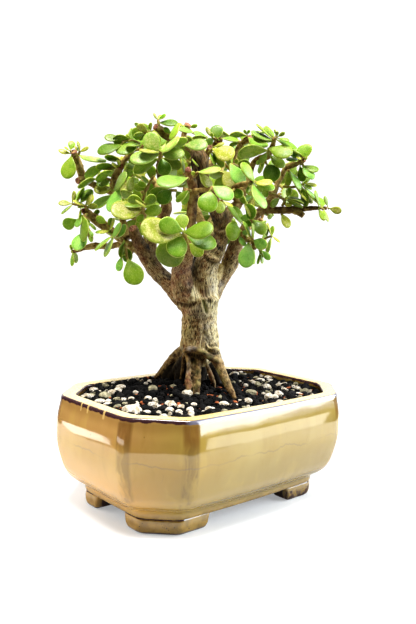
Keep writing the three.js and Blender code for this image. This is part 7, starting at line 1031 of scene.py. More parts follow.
def cell(ix, iy, iz, seed):
    with np.errstate(over="ignore"):
        h = (
            ix.astype(np.uint32) * np.uint32(374761393)
            + iy.astype(np.uint32) * np.uint32(668265263)
            + iz.astype(np.uint32) * np.uint32(2246822519)
            + np.uint32((seed * 3266489917 + 374761) & 0xFFFFFFFF)
        )
        h = (h ^ (h >> np.uint32(13))) * np.uint32(1274126177)
        h = (h ^ (h >> np.uint32(15))) * np.uint32(2246822519)
        h = h ^ (h >> np.uint32(16))
    return h.astype(np.float64) / 2147483647.5 - 1.0


def vnoise(p, scale=1.0, seed=0):
    """Smooth value noise from -1 to 1 at points p, with cells of the given size."""
    q = np.asarray(p, float) / scale
    i = np.floor(q).astype(np.int64)
    f = q - i
    f = f * f * f * (f * (f * 6 - 15) + 10)
    out = 0
    for dx in (0, 1):
        for dy in (0, 1):
            for dz in (0, 1):
                w = (
                    (f[..., 0] if dx else 1 - f[..., 0])
                    * (f[..., 1] if dy else 1 - f[..., 1])
                    * (f[..., 2] if dz else 1 - f[..., 2])
                )
                out = out + w * cell(i[..., 0] + dx, i[..., 1] + dy, i[..., 2] + dz, seed)
    return out


def fbm(p, scale, octaves=3, seed=0):
    out, amp, total = 0, 1.0, 0.0
    for k in range(octaves):
        out = out + amp * vnoise(p, scale, seed + 17 * k)
        total += amp
        amp *= 0.5
        scale *= 0.5
    return out / total


def hermite(xs, ys, x):
    """Smooth curve through the points (xs, ys)."""
    xs, ys = np.asarray(xs, float), np.asarray(ys, float)
    d = np.diff(ys) / np.diff(xs)
    m = np.concatenate([[d[0]], (d[1:] + d[:-1]) / 2, [d[-1]]])
    for k in range(len(d)):  # keep it monotone
        if d[k] == 0:
            m[k] = m[k + 1] = 0
        else:
            a, b = m[k] / d[k], m[k + 1] / d[k]
            s = a * a + b * b
            if s > 9:
                m[k], m[k + 1] = 3 * a / math.sqrt(s) * d[k], 3 * b / math.sqrt(s) * d[k]
    x = np.asarray(x, float)
    k = np.clip(np.searchsorted(xs, x, side="right") - 1, 0, len(xs) - 2)
    h = xs[k + 1] - xs[k]
    t = np.clip((x - xs[k]) / h, 0, 1)
    return (
        (2 * t**3 - 3 * t**2 + 1) * ys[k]
        + (t**3 - 2 * t**2 + t) * h * m[k]
        + (-2 * t**3 + 3 * t**2) * ys[k + 1]
        + (t**3 - t**2) * h * m[k + 1]
    )


def along(points, step):
    """A smooth line through rows of x, y, z, r, with a point about every step."""
    p = np.asarray(points, float)
    if len(p) == 2:
        p = np.array([p[0], (p[0] + p[1]) / 2, p[1]])
    ext = np.vstack([2 * p[0] - p[1], p, 2 * p[-1] - p[-2]])
    out = []
    for i in range(1, len(ext) - 2):
        a, b, c, d = ext[i - 1 : i + 3]
        n = max(2, int(round(np.linalg.norm((c - b)[:3]) / step)))
        t = np.linspace(0, 1, n, endpoint=False)[:, None]
        q = 0.5 * (2 * b + (c - a) * t + (2 * a - 5 * b + 4 * c - d) * t**2 + (3 * b - a - 3 * c + d) * t**3)
        q[:, 3] = np.clip(q[:, 3], min(b[3], c[3]) * 0.92, max(b[3], c[3]) * 1.05)
        out.append(q)
    out.append(p[-1:])
    return np.vstack(out)


def frames(p):
    """Tangent and two side directions along a line, carried without twist."""
    t = unit(np.gradient(p, axis=0))
    u = np.zeros_like(t)
    s = np.cross([0.31, 0.23, 0.92], t[0])
    u[0] = unit(s)
    for i in range(1, len(t)):
        u[i] = unit(u[i - 1] - t[i] * (u[i - 1] @ t[i]))
    return t, u, np.cross(t, u)


# ---------------------------------------------------------------- meshes
SIZES = {"tone": 4, "leaf": 3, "bark": 3, "info": 3, "paint": 4, "glaze": 3, "grain": 3, "bare": 1, "pale": 1}


class Build:
    """Collects vertices, faces, face materials and point attributes of one object."""

    def __init__(self, *names):
        self.v, self.f, self.m, self.n = [], [], [], 0
        self.names = names
        self.a = {k: [] for k in names}

    def add(self, verts, faces, mat=0, **attrs):
        verts = np.asarray(verts, float).reshape(-1, 3)
        self.v.append(verts)
        for f in faces:
            f = np.asarray(f, np.int64)
            if len(f):
                self.f.append(f + self.n)
                self.m.append(np.full(len(f), mat, np.int32))
        for k in self.names:
            val = np.asarray(attrs.get(k, 0.0), float)
            if val.ndim < 2:
                val = val.reshape(1, -1)
            self.a[k].append(np.broadcast_to(val, (len(verts), SIZES[k])).copy())
        self.n += len(verts)

    def make(self, name, materials, smooth=True):
        verts = (np.vstack(self.v) + MIDDLE) * MM
        sizes = np.concatenate([np.full(len(f), f.shape[1]) for f in self.f])
        loops = np.concatenate([f.ravel() for f in self.f]).astype(np.int32)
        starts = np.concatenate([[0], np.cumsum(sizes)[:-1]]).astype(np.int32)
        me = bpy.data.meshes.new(name)
        me.vertices.add(len(verts))
        me.vertices.foreach_set("co", verts.astype(np.float32).ravel())
        me.loops.add(len(loops))
        me.loops.foreach_set("vertex_index", loops)
        me.polygons.add(len(sizes))
        me.polygons.foreach_set("loop_start", starts)
        me.polygons.foreach_set("material_index", np.concatenate(self.m))
        for mat in materials:
            me.materials.append(mat)
        me.update(calc_edges=True)
        me.validate()
        me.polygons.foreach_set("use_smooth", np.full(len(me.polygons), smooth))
        for k in self.names:
            val = np.vstack(self.a[k]).astype(np.float32)
            kind = {1: "FLOAT", 3: "FLOAT_VECTOR", 4: "FLOAT_COLOR"}[val.shape[1]]
            at = me.attributes.new(k, kind, "POINT")
            at.data.foreach_set({1: "value", 3: "vector", 4: "color"}[val.shape[1]], val.ravel())
        ob = bpy.data.objects.new(name, me)
        bpy.context.scene.collection.objects.link(ob)
        return ob


def grid_faces(rows, cols, closed=True):
    """Quads of a grid of rows x cols points; closed wraps the columns round."""
    i, j = np.meshgrid(np.arange(rows - 1), np.arange(cols if closed else cols - 1), indexing="ij")
    k = (j + 1) % cols
    return np.stack([i * cols + j, i * cols + k, (i + 1) * cols + k, (i + 1) * cols + j], -1).reshape(-1, 4)


def fan(ring, centre, flip=False):
    ring = np.asarray(ring)
    nxt = np.roll(ring, -1)
    c = np.full(len(ring), centre)
    return np.stack([c, nxt, ring] if flip else [c, ring, nxt], -1)


def piece(ob, slot_name, *nodes):
    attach(ob, "root")
    if nodes:
        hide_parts(*nodes)
    return ob


# ---------------------------------------------------------------- materials
def lin(r, g, b):
    """A colour given as 0 to 255 screen values, as linear light."""
    out = []
    for c in (r, g, b):
        c /= 255
        out.append(c / 12.92 if c <= 0.04045 else ((c + 0.055) / 1.055) ** 2.4)
    return (*out, 1.0)


class Nodes:
    """A short way to write a material's nodes."""

    def __init__(self, name):
        self.mat = bpy.data.materials.new(name)
        self.mat.use_nodes = True
        self.t = self.mat.node_tree
        self.t.nodes.clear()
        self.out = self.t.nodes.new("ShaderNodeOutputMaterial")
        self.bsdf = self.t.nodes.new("ShaderNodeBsdfPrincipled")
        self.t.links.new(self.bsdf.outputs[0], self.out.inputs[0])
        self.coord = self.t.nodes.new("ShaderNodeTexCoord").outputs["Object"]

    def put(self, socket, value):
        if isinstance(value, bpy.types.NodeSocket):
            self.t.links.new(value, socket)
        elif value is not None:
            socket.default_value = value

    def set(self, **values):
        for k, v in values.items():
            self.put(self.bsdf.inputs[k.replace("_", " ")], v)

    def attr(self, name, output="Fac"):
        n = self.t.nodes.new("ShaderNodeAttribute")
        n.attribute_name = name
        return n.outputs[output]

    def split(self, vector):
        n = self.t.nodes.new("ShaderNodeSeparateXYZ")
        self.put(n.inputs[0], vector)
        return n.outputs[0], n.outputs[1], n.outputs[2]

    def math(self, op, a, b=None, c=None, clamp=False):
        n = self.t.nodes.new("ShaderNodeMath")
        n.operation = op
        n.use_clamp = clamp
        for s, v in zip(n.inputs, (a, b, c)):
            self.put(s, v)
        return n.outputs[0]

    def ramp(self, x, lo, hi, a=0.0, b=1.0, smooth=True):
        """a where x is at lo, b where it is at hi."""
        n = self.t.nodes.new("ShaderNodeMapRange")
        n.interpolation_type = "SMOOTHSTEP" if smooth else "LINEAR"
        for s, v in zip(n.inputs, (x, lo, hi, a, b)):
            self.put(s, v)
        return n.outputs[0]

    def mix(self, fac, a, b, mode="MIX"):
        n = self.t.nodes.new("ShaderNodeMix")
        n.data_type = "RGBA"
        n.blend_type = mode
        n.clamp_factor = True
        self.put(n.inputs[0], fac)
        self.put(n.inputs[6], a)
        self.put(n.inputs[7], b)
        return n.outputs[2]

    def scale(self, vector, s):
        n = self.t.nodes.new("ShaderNodeVectorMath")
        n.operation = "MULTIPLY"
        self.put(n.inputs[0], vector)
        n.inputs[1].default_value = s
        return n.outputs[0]

    def shift(self, vector, by, amount):
        """vector moved by a noise colour, less its middle."""
        a = self.t.nodes.new("ShaderNodeVectorMath")
        a.operation = "SUBTRACT"
        self.put(a.inputs[0], by)
        a.inputs[1].default_value = (0.5, 0.5, 0.5)
        b = self.t.nodes.new("ShaderNodeVectorMath")
        b.operation = "MULTIPLY_ADD"
        self.put(b.inputs[0], a.outputs[0])
        b.inputs[1].default_value = (amount,) * 3
        self.put(b.inputs[2], vector)
        return b.outputs[0]

    def noise(self, vector, size, detail=3.0, rough=0.55, distortion=0.0, colour=False):
        """Noise with features about `size` long, in the vector's units."""
        n = self.t.nodes.new("ShaderNodeTexNoise")
        self.put(n.inputs["Vector"], vector)
        n.inputs["Scale"].default_value = 1.0 / size
        n.inputs["Detail"].default_value = detail
        n.inputs["Roughness"].default_value = rough
        n.inputs["Distortion"].default_value = distortion
        return n.outputs["Color" if colour else "Fac"]

    def cells(self, vector, size, feature="F1", output="Distance"):
        n = self.t.nodes.new("ShaderNodeTexVoronoi")
        n.feature = feature
        self.put(n.inputs["Vector"], vector)
        n.inputs["Scale"].default_value = 1.0 / size
        return n.outputs[output]

    def bump(self, height, distance, strength=1.0, before=None):
        n = self.t.nodes.new("ShaderNodeBump")
        n.inputs["Strength"].default_value = strength
        n.inputs["Distance"].default_value = distance
        self.put(n.inputs["Height"], height)
        if before is not None:
            self.put(n.inputs["Normal"], before)
        return n.outputs[0]


def leaf_material():
    """tone: random, yellow (partly painted light), blue, dark (painted shade). leaf: place along, nearness to the
    margin, upper face.
    """
    m = Nodes("leaf_flesh")
    tone = m.attr("tone", "Color")
    rnd, yellow, blue = m.split(tone)
    dark = m.attr("tone", "Alpha")
    at, edge, upper = m.split(m.attr("leaf", "Vector"))
    # yellow tone: partly the colour of young leaves, partly painted light on leaves that sit in light; dark tone:
    # painted shade on leaves in shade
    c = m.mix(yellow, lin(96, 156, 12), lin(174, 176, 54))
    c = m.mix(blue, c, lin(132, 184, 84))
    c = m.mix(dark, c, lin(48, 90, 2))
    under = m.ramp(upper, 0.1, -0.3)
    c = m.mix(m.math("MULTIPLY", under, 0.5), c, lin(132, 164, 40))
    blotch = m.noise(m.coord, 0.0042, 3.0)
    c = m.mix(m.ramp(blotch, 0.40, 0.72, 0.0, 0.30), c, m.mix(0.5, c, lin(192, 188, 96)))
    c = m.mix(m.ramp(blotch, 0.52, 0.25, 0.0, 0.36), c, lin(60, 110, 6))
    speck = m.noise(m.coord, 0.0007, 3.0, 0.65)
    c = m.mix(m.ramp(speck, 0.50, 0.70, 0.0, 0.28), c, lin(200, 198, 120))
    c = m.mix(m.ramp(speck, 0.50, 0.30, 0.0, 0.28), c, lin(52, 84, 10))
    # painted highlight: pale yellow, speckled middles on the upper faces of the yellower leaves
    painted_highlight = m.math("MULTIPLY", m.ramp(yellow, 0.35, 0.9), m.math("MULTIPLY", m.ramp(edge, 0.75, 0.1), m.ramp(upper, 0.2, 0.7)))
    painted_highlight = m.math("MULTIPLY", painted_highlight, m.ramp(m.math("ADD", m.noise(m.coord, 0.0036, 2.0), m.math("MULTIPLY", m.math("SUBTRACT", speck, 0.5), 0.5)), 0.38, 0.62))
    c = m.mix(m.math("MULTIPLY", painted_highlight, 0.85), c, m.mix(m.ramp(speck, 0.42, 0.6), lin(178, 172, 92), lin(214, 208, 142)))
    # a yellower foot, and a pale margin that is a painted highlight along the edge
    c = m.mix(m.ramp(at, 0.16, 0.0, 0.0, 0.6), c, lin(186, 190, 84))
    rim = m.ramp(edge, 0.70, 0.97)
    c = m.mix(m.math("MULTIPLY", rim, 0.75), c, lin(198, 206, 104))
    red = m.math("MULTIPLY", m.ramp(edge, 0.86, 1.0), m.ramp(rnd, 0.66, 0.95, 0.0, 0.5))
    c = m.mix(red, c, lin(196, 120, 84))
    v = m.math("MULTIPLY_ADD", rnd, 0.46, 0.74)
    shade = m.t.nodes.new("ShaderNodeHueSaturation")
    m.put(shade.inputs["Value"], v)
    m.put(shade.inputs["Color"], c)
    m.set(Base_Color=shade.outputs[0])
    m.set(Roughness=m.ramp(m.noise(m.coord, 0.003, 2.0), 0.3, 0.7, 0.32, 0.50), Specular_IOR_Level=0.4)
    m.set(IOR=1.45)
    m.set(Subsurface_Weight=0.25, Subsurface_Radius=(0.8, 1.0, 0.2), Subsurface_Scale=0.0018)
    h = m.noise(m.coord, 0.0016, 2.0)
    n1 = m.bump(h, 0.00014, 0.6)
    m.set(Normal=m.bump(speck, 0.00010, 0.6, n1))
    return m.mat


def twig_material():
    """Young wood: green-brown, ringed, redder at the nodes. bark: cos, sin and length in mm."""
    m = Nodes("young_twig")
    b = m.attr("bark", "Vector")
    n1 = m.noise(b, 2.2, 3.0)
    n2 = m.noise(m.scale(b, (1.0, 1.0, 2.2)), 0.7, 2.0)
    c = m.mix(m.ramp(n1, 0.35, 0.65), lin(142, 112, 50), lin(164, 158, 72))
    c = m.mix(m.ramp(n2, 0.5, 0.75, 0.0, 0.5), c, lin(84, 54, 32))
    c = m.mix(m.ramp(m.noise(b, 5.0, 1.0), 0.55, 0.75, 0.0, 0.5), c, lin(150, 84, 58))
    m.set(Base_Color=c, Roughness=0.62)
    m.set(Normal=m.bump(n2, 0.00025, 0.9))
    return m.mat


def bark_material():
    """bark: cos, sin and a third of the length, in mm. info: radius, cut face, redness of the cut.
    paint: dark (dark bark marks, and painted shade in creases, hollows and on shaded sides), red, green, grey."""
    m = Nodes("bark")
    b = m.attr("bark", "Vector")
    radius, cut, red = m.split(m.attr("info", "Vector"))
    p_dark_and_shade, p_red, p_green = m.split(m.attr("paint", "Color"))
    p_grey = m.attr("paint", "Alpha")
    pale = m.attr("pale", "Fac")
    warp = m.noise(b, 3.0, 2.0, colour=True)
    bw = m.shift(b, warp, 1.2)
    big = m.noise(m.coord, 0.009, 3.0)
    mid = m.noise(m.coord, 0.0028, 4.0, 0.62)
    dash = m.noise(m.scale(bw, (1.15, 1.15, 0.62)), 0.80, 3.0, 0.58)
    fine = m.noise(m.scale(bw, (1.15, 1.15, 0.75)), 0.42, 3.0, 0.60)
    wrinkle = m.noise(m.scale(bw, (0.35, 0.35, 3.2)), 1.1, 3.0, 0.6)
    c = m.mix(m.ramp(big, 0.36, 0.62), lin(140, 100, 56), lin(170, 148, 98))
    c = m.mix(m.ramp(mid, 0.47, 0.66, 0.0, 0.8), c, lin(204, 184, 130))
    c = m.mix(m.ramp(mid, 0.48, 0.30, 0.0, 0.80), c, lin(92, 54, 22))
    # lichen-grey, olive and pinkish patches
    c = m.mix(m.ramp(m.noise(m.coord, 0.0125, 2.0), 0.57, 0.70, 0.0, 0.5), c, lin(158, 150, 136))
    c = m.mix(m.ramp(m.noise(m.shift(m.coord, warp, 0.003), 0.008, 2.0), 0.58, 0.70, 0.0, 0.45), c, lin(150, 142, 70))
    c = m.mix(m.ramp(m.noise(m.shift(m.coord, warp, 0.004), 0.0102, 2.0), 0.61, 0.72, 0.0, 0.5), c, lin(158, 98, 76))
    # painted light: the bark is paler, in patches, on the side that faces the key light
    lit_paint = m.math("MULTIPLY", pale, m.ramp(m.noise(m.coord, 0.006, 3.0), 0.34, 0.56, 0.45, 1.0))
    c = m.mix(m.math("MULTIPLY", lit_paint, 0.75), c, m.mix(m.ramp(mid, 0.36, 0.60), lin(198, 182, 132), lin(234, 226, 188)))
    # dark dashes along the grain, fine specks and a few wrinkles across it
    c = m.mix(m.ramp(dash, 0.525, 0.60, 0.0, 0.90), c, lin(38, 24, 12))
    c = m.mix(m.ramp(fine, 0.53, 0.60, 0.0, 0.88), c, lin(26, 17, 9))
    c = m.mix(m.ramp(fine, 0.47, 0.38, 0.0, 0.70), c, lin(220, 202, 146))
    c = m.mix(m.ramp(wrinkle, 0.62, 0.72, 0.0, 0.4), c, lin(70, 48, 28))
    # wood high up, inside the canopy, is darker brown: partly its own bark, partly painted shade under the leaves. Thin
    # wood is browner.
    high = m.split(m.coord)[2]
    c = m.mix(m.ramp(high, 0.150, 0.180, 0.0, 0.65), c, m.mix(m.ramp(dash, 0.42, 0.56), lin(116, 80, 44), lin(50, 32, 18)))
    young = m.ramp(high, 0.100, 0.130)
    c = m.mix(m.ramp(radius, 5.5, 2.2, 0.0, 0.75), c, m.mix(m.ramp(mid, 0.36, 0.64), m.mix(young, lin(66, 42, 22), lin(112, 86, 38)), m.mix(young, lin(150, 118, 68), lin(178, 154, 84))))
    c = m.mix(m.math("MULTIPLY", p_red, 0.7), c, m.mix(m.ramp(fine, 0.4, 0.62), lin(166, 92, 66), lin(104, 52, 36)))
    c = m.mix(m.math("MULTIPLY", p_green, 0.8), c, m.mix(m.ramp(dash, 0.42, 0.6), lin(176, 186, 108), lin(92, 92, 44)))
    c = m.mix(m.math("MULTIPLY", p_grey, 0.75), c, m.mix(m.ramp(dash, 0.45, 0.6), lin(196, 190, 182), lin(92, 84, 76)))
    # dark paint: dark bark marks, plus painted shade in creases, in the hollow under the trunk and on the shaded sides
    # of limbs
    c = m.mix(m.math("MULTIPLY", p_dark_and_shade, 0.97), c, lin(15, 10, 6))
    face = m.mix(red, lin(158, 118, 78), lin(170, 104, 84))
    face = m.mix(m.ramp(m.noise(m.coord, 0.0012, 3.0, 0.65), 0.44, 0.58, 0.0, 0.85), face, lin(84, 40, 28))
    face = m.mix(m.ramp(fine, 0.46, 0.38, 0.0, 0.6), face, lin(208, 168, 140))
    c = m.mix(cut, c, face)
    m.set(Base_Color=c)
    m.set(Roughness=m.ramp(mid, 0.3, 0.7, 0.92, 0.62))
    m.set(IOR=1.4)
    n1 = m.bump(mid, 0.0008, 0.7)
    n2 = m.bump(dash, 0.0006, -0.8, n1)
    n3 = m.bump(wrinkle, 0.0005, -0.5, n2)
    m.set(Normal=m.bump(fine, 0.0003, -0.7, n3))
    return m.mat


def glaze_material():
    """glaze: rim and foot edges where it thins, corners, rim top; height is Z."""
    m = Nodes("glaze")
    thin, corner, top = m.split(m.attr("glaze", "Vector"))
    bare = m.attr("bare", "Fac")
    x, y, z = m.split(m.coord)
    warp = m.noise(m.coord, 0.012, 3.0, colour=True)
    pw = m.shift(m.coord, warp, 0.006)
    flat = m.scale(m.coord, (1, 1, 0.0))
    cloud = m.noise(m.coord, 0.045, 3.0)
    flow = m.noise(m.scale(pw, (1.0, 1.0, 0.30)), 0.012, 3.0)
    c = m.mix(m.ramp(cloud, 0.35, 0.65), lin(182, 147, 78), lin(170, 133, 62))
    # the left-hand and chamfered sides are a little pinker than the front: partly the glaze's own colour, partly
    # painted light
    turn = m.math("MULTIPLY_ADD", x, -8.0, m.math("MULTIPLY", y, 5.0))
    c = m.mix(m.ramp(turn, -0.15, 0.55, 0.75, 0.0), c, m.mix(m.ramp(cloud, 0.35, 0.65), lin(168, 150, 88), lin(156, 134, 70)))
    # a little greener and deeper above, pinker below: partly the glaze's own colour, partly painted reflection of the
    # darker room above and the pale floor below
    level = m.math("MULTIPLY_ADD", m.noise(flat, 0.03, 2.0), 0.008, z)
    c = m.mix(m.ramp(level, 0.046, 0.064, 0.0, 0.60), c, m.mix(m.ramp(turn, 0.1, 0.5), lin(150, 130, 66), lin(164, 124, 78)))
    c = m.mix(m.ramp(level, 0.048, 0.028, 0.0, 0.75), c, m.mix(m.ramp(turn, 0.1, 0.5), lin(147, 123, 54), lin(186, 138, 66)))
    c = m.mix(m.ramp(flow, 0.52, 0.72, 0.0, 0.22), c, lin(196, 168, 82))
    c = m.mix(m.ramp(flow, 0.48, 0.28, 0.0, 0.30), c, lin(136, 108, 44))
    # greyer, darker runs beside the upright corners
    run_n = m.noise(m.scale(pw, (1.0, 1.0, 0.12)), 0.005, 2.0)
    cn = m.math("MULTIPLY", m.math("MULTIPLY", corner, m.ramp(run_n, 0.40, 0.62)), m.ramp(z, 0.016, 0.024))
    c = m.mix(m.math("MULTIPLY", cn, 0.55), c, lin(112, 90, 50))
    # darker brown at the tops of the upright corners and in a band just under the rim
    c = m.mix(m.math("MULTIPLY", m.math("MULTIPLY", corner, m.ramp(z, 0.050, 0.060)), 0.62), c, lin(112, 70, 26))
    c = m.mix(m.math("MULTIPLY", m.ramp(level, 0.064, 0.070), 0.40), c, lin(112, 82, 34))
    # a wavy run line round the pot, at about 44 mm
    w = m.math("MULTIPLY_ADD", m.noise(flat, 0.020, 4.0, 0.6), -0.012, z)
    off = m.math("ABSOLUTE", m.math("SUBTRACT", w, 0.0385))
    run = m.math("MULTIPLY", m.ramp(off, 0.00075, 0.0001), m.ramp(m.noise(m.coord, 0.024, 1.0), 0.38, 0.56, 0.05, 0.45))
    c = m.mix(run, c, lin(122, 104, 78))
    c = m.mix(m.ramp(z, 0.0135, 0.0100, 0.0, 0.75), c, m.mix(m.ramp(m.noise(m.coord, 0.006, 3.0), 0.35, 0.65), lin(152, 119, 47), lin(116, 89, 33)))
    # dark specks, close together in places on the feet
    crumb = m.cells(m.coord, 0.0016)
    cs = m.math("MULTIPLY", m.ramp(crumb, 0.26, 0.18), m.math("MULTIPLY", m.ramp(m.noise(m.coord, 0.007, 2.0), 0.56, 0.66), m.ramp(z, 0.0085, 0.0055)))
    c = m.mix(m.math("MULTIPLY", cs, 0.9), c, lin(26, 18, 16))
    # rim top
    c = m.mix(top, c, m.mix(m.ramp(m.noise(m.coord, 0.0012, 3.0, 0.6), 0.4, 0.62), lin(232, 208, 146), lin(214, 184, 112)))
    # crackle and specks
    crack = m.cells(m.shift(m.coord, warp, 0.012), 0.024, "DISTANCE_TO_EDGE")
    cr = m.math("MULTIPLY", m.ramp(crack, 0.012, 0.002), m.ramp(m.noise(m.coord, 0.014, 1.0), 0.60, 0.72, 0.0, 0.35))
    c = m.mix(cr, c, lin(132, 106, 70))
    spot = m.cells(m.coord, 0.0055)
    sp = m.math("MULTIPLY", m.ramp(spot, 0.085, 0.05), m.ramp(m.noise(m.coord, 0.011, 1.0), 0.58, 0.68))
    c = m.mix(m.math("MULTIPLY", sp, 0.8), c, lin(44, 34, 30))
    # dark purple-brown line along the edges; along the top of the front face it is milky lavender instead, a painted
    # reflection
    tn = m.ramp(m.math("ADD", thin, m.math("MULTIPLY", m.math("SUBTRACT", m.noise(m.coord, 0.0045, 3.0), 0.5), 1.1)), 0.48, 0.66)
    c = m.mix(tn, c, m.mix(m.math("MULTIPLY", m.ramp(y, -0.0665, -0.0690), m.ramp(z, 0.060, 0.066)), lin(60, 32, 34), lin(104, 100, 112)))
    # three runs of the rim's glaze across that line, on the left-hand side
    for at, wide in ((-0.00205, 0.0009), (-0.00905, 0.0010), (-0.02555, 0.0012)):
        run_y = m.math("ABSOLUTE", m.math("SUBTRACT", m.math("MULTIPLY_ADD", m.math("SUBTRACT", m.noise(m.coord, 0.004, 2.0), 0.5), 0.0012, y), at))
        drip = m.math("MULTIPLY", m.ramp(run_y, wide, wide * 0.5), m.math("MULTIPLY", m.ramp(z, 0.0645, 0.0655), m.ramp(x, -0.080, -0.082)))
        c = m.mix(m.math("MULTIPLY", drip, 0.8), c, lin(198, 168, 104))
    clay = m.mix(m.ramp(m.noise(m.coord, 0.002, 3.0), 0.35, 0.65), lin(30, 14, 10), lin(62, 28, 18))
    bn = m.ramp(m.math("ADD", bare, m.math("MULTIPLY", m.math("SUBTRACT", m.noise(m.coord, 0.005, 3.0), 0.5), 0.8)), 0.45, 0.6)
    c = m.mix(bn, c, clay)
    m.set(Base_Color=c)
    rough = m.math("ADD", m.ramp(m.noise(m.coord, 0.02, 3.0), 0.3, 0.7, 0.05, 0.10), m.ramp(z, 0.0575, 0.063, 0.0, 0.10))
    rough = m.math("MAXIMUM", rough, m.math("MAXIMUM", m.math("MULTIPLY", top, 0.42), m.math("MULTIPLY", thin, 0.20)))
    m.set(Roughness=m.math("MAXIMUM", rough, m.math("MULTIPLY", bn, 0.8)))
    m.set(IOR=1.6)
    m.set(Coat_Weight=m.math("SUBTRACT", 0.7, m.math("MULTIPLY", bn, 0.7)), Coat_Roughness=0.05)
    n1 = m.bump(m.noise(m.scale(m.coord, (1, 1, 0.7)), 0.030, 2.0), 0.0010, 0.35)
    n2 = m.bump(m.noise(m.coord, 0.0058, 2.0), 0.00008, 0.25, n1)
    m.set(Normal=m.bump(m.math("ADD", cr, run), 0.0002, -0.5, n2))
    return m.mat


def rock_material(name, dark, pale, spots, size, rough=0.92, pits=0.0007, gloss=0.5):
    """grain: random, shade."""
    m = Nodes(name)
    rnd, shade, _ = m.split(m.attr("grain", "Vector"))
    a = m.noise(m.coord, size, 4.0, 0.6)
    c = m.mix(m.ramp(a, 0.34, 0.66), dark, pale)
    c = m.mix(m.ramp(m.noise(m.coord, size * 0.35, 2.0), 0.58, 0.72, 0.0, 0.6), c, spots)
    hs = m.t.nodes.new("ShaderNodeHueSaturation")
    m.put(hs.inputs["Value"], shade)
    m.put(hs.inputs["Color"], c)
    m.set(Base_Color=hs.outputs[0], Roughness=rough, IOR=1.45, Specular_IOR_Level=gloss)
    pit = m.cells(m.coord, size * 0.45)
    m.set(Normal=m.bump(m.math("ADD", m.math("MULTIPLY", a, 1.2), pit), pits, 0.7))
    return m.mat


def mesh_plastic():
    m = Nodes("screen_plastic")
    a = m.noise(m.coord, 0.0015, 3.0)
    m.set(Base_Color=m.mix(a, lin(20, 22, 22), lin(44, 46, 44)))
    m.set(Roughness=m.ramp(a, 0.3, 0.7, 0.4, 0.6), Normal=m.bump(a, 0.0002, 0.4))
    return m.mat


LEAF, TWIG, BARK, GLAZE = leaf_material(), twig_material(), bark_material(), glaze_material()
PUMICE = rock_material("pumice", lin(168, 152, 124), lin(236, 228, 214), lin(122, 98, 72), 0.0024, 0.92, 0.0010)
CLAY = rock_material("dark_granules", lin(5, 5, 5), lin(26, 24, 23), lin(60, 54, 50), 0.0020, 0.95, 0.0009, 0.25)
CHIP = rock_material("bark_chips", lin(120, 56, 26), lin(196, 112, 62), lin(80, 40, 24), 0.0020, 0.8)
GREY = rock_material("grey_grit", lin(116, 108, 84), lin(176, 168, 138), lin(84, 78, 60), 0.0022)
PEAT = rock_material("fine_soil", lin(4, 4, 4), lin(18, 15, 13), lin(44, 36, 30), 0.0012, 0.95, 0.0009, 0.2)


# ---------------------------------------------------------------- leaves
SLIM = ([0, 0.1, 0.22, 0.36, 0.5, 0.62, 0.74, 0.85, 0.93, 0.98, 1], [0.09, 0.26, 0.52, 0.80, 0.96, 1, 0.95, 0.78, 0.54, 0.28, 0.0])
ROUND = ([0, 0.1, 0.22, 0.36, 0.5, 0.62, 0.74, 0.85, 0.93, 0.98, 1], [0.12, 0.44, 0.72, 0.91, 0.99, 1, 0.94, 0.79, 0.56, 0.30, 0.0])
THICK = ([0, 0.06, 0.16, 0.3, 0.5, 0.7, 0.85, 0.94, 0.985, 1], [0.36, 0.44, 0.62, 0.86, 1, 0.98, 0.84, 0.62, 0.36, 0.05])
STATIONS = np.array([0, 0.035, 0.085, 0.15, 0.235, 0.33, 0.43, 0.53, 0.63, 0.725, 0.81, 0.88, 0.935, 0.972, 0.993])
AROUND = 16
# tones are partly the leaves' own colour, partly painted light and shade: y and w are lighter and yellower for leaves
# in light, w also with a painted sheen, d and k darker for leaves in shade
TONES = {  # yellow, blue, dark
    "y": (0.95, 0.0, 0.0), "w": (0.55, 0.55, 0.0), "g": (0.32, 0.0, 0.06), "b": (0.15, 0.75, 0.0),
    "o": (0.45, 0.0, 0.22), "d": (0.18, 0.0, 0.38), "k": (0.1, 0.0, 0.75),
}


def leaf_grid():
    rows = len(STATIONS)
    f = grid_faces(rows, AROUND)
    ends = np.vstack([
        fan(np.arange(AROUND), rows * AROUND, flip=True),
        fan(np.arange(AROUND) + (rows - 1) * AROUND, rows * AROUND + 1),
    ])
    return f, ends


LEAF_QUADS, LEAF_ENDS = leaf_grid()
PHI = np.arange(AROUND) * 2 * np.pi / AROUND
ACROSS = np.sign(np.cos(PHI)) * np.abs(np.cos(PHI)) ** 0.82
UPDOWN = np.sign(np.sin(PHI)) * np.abs(np.sin(PHI)) ** 0.92


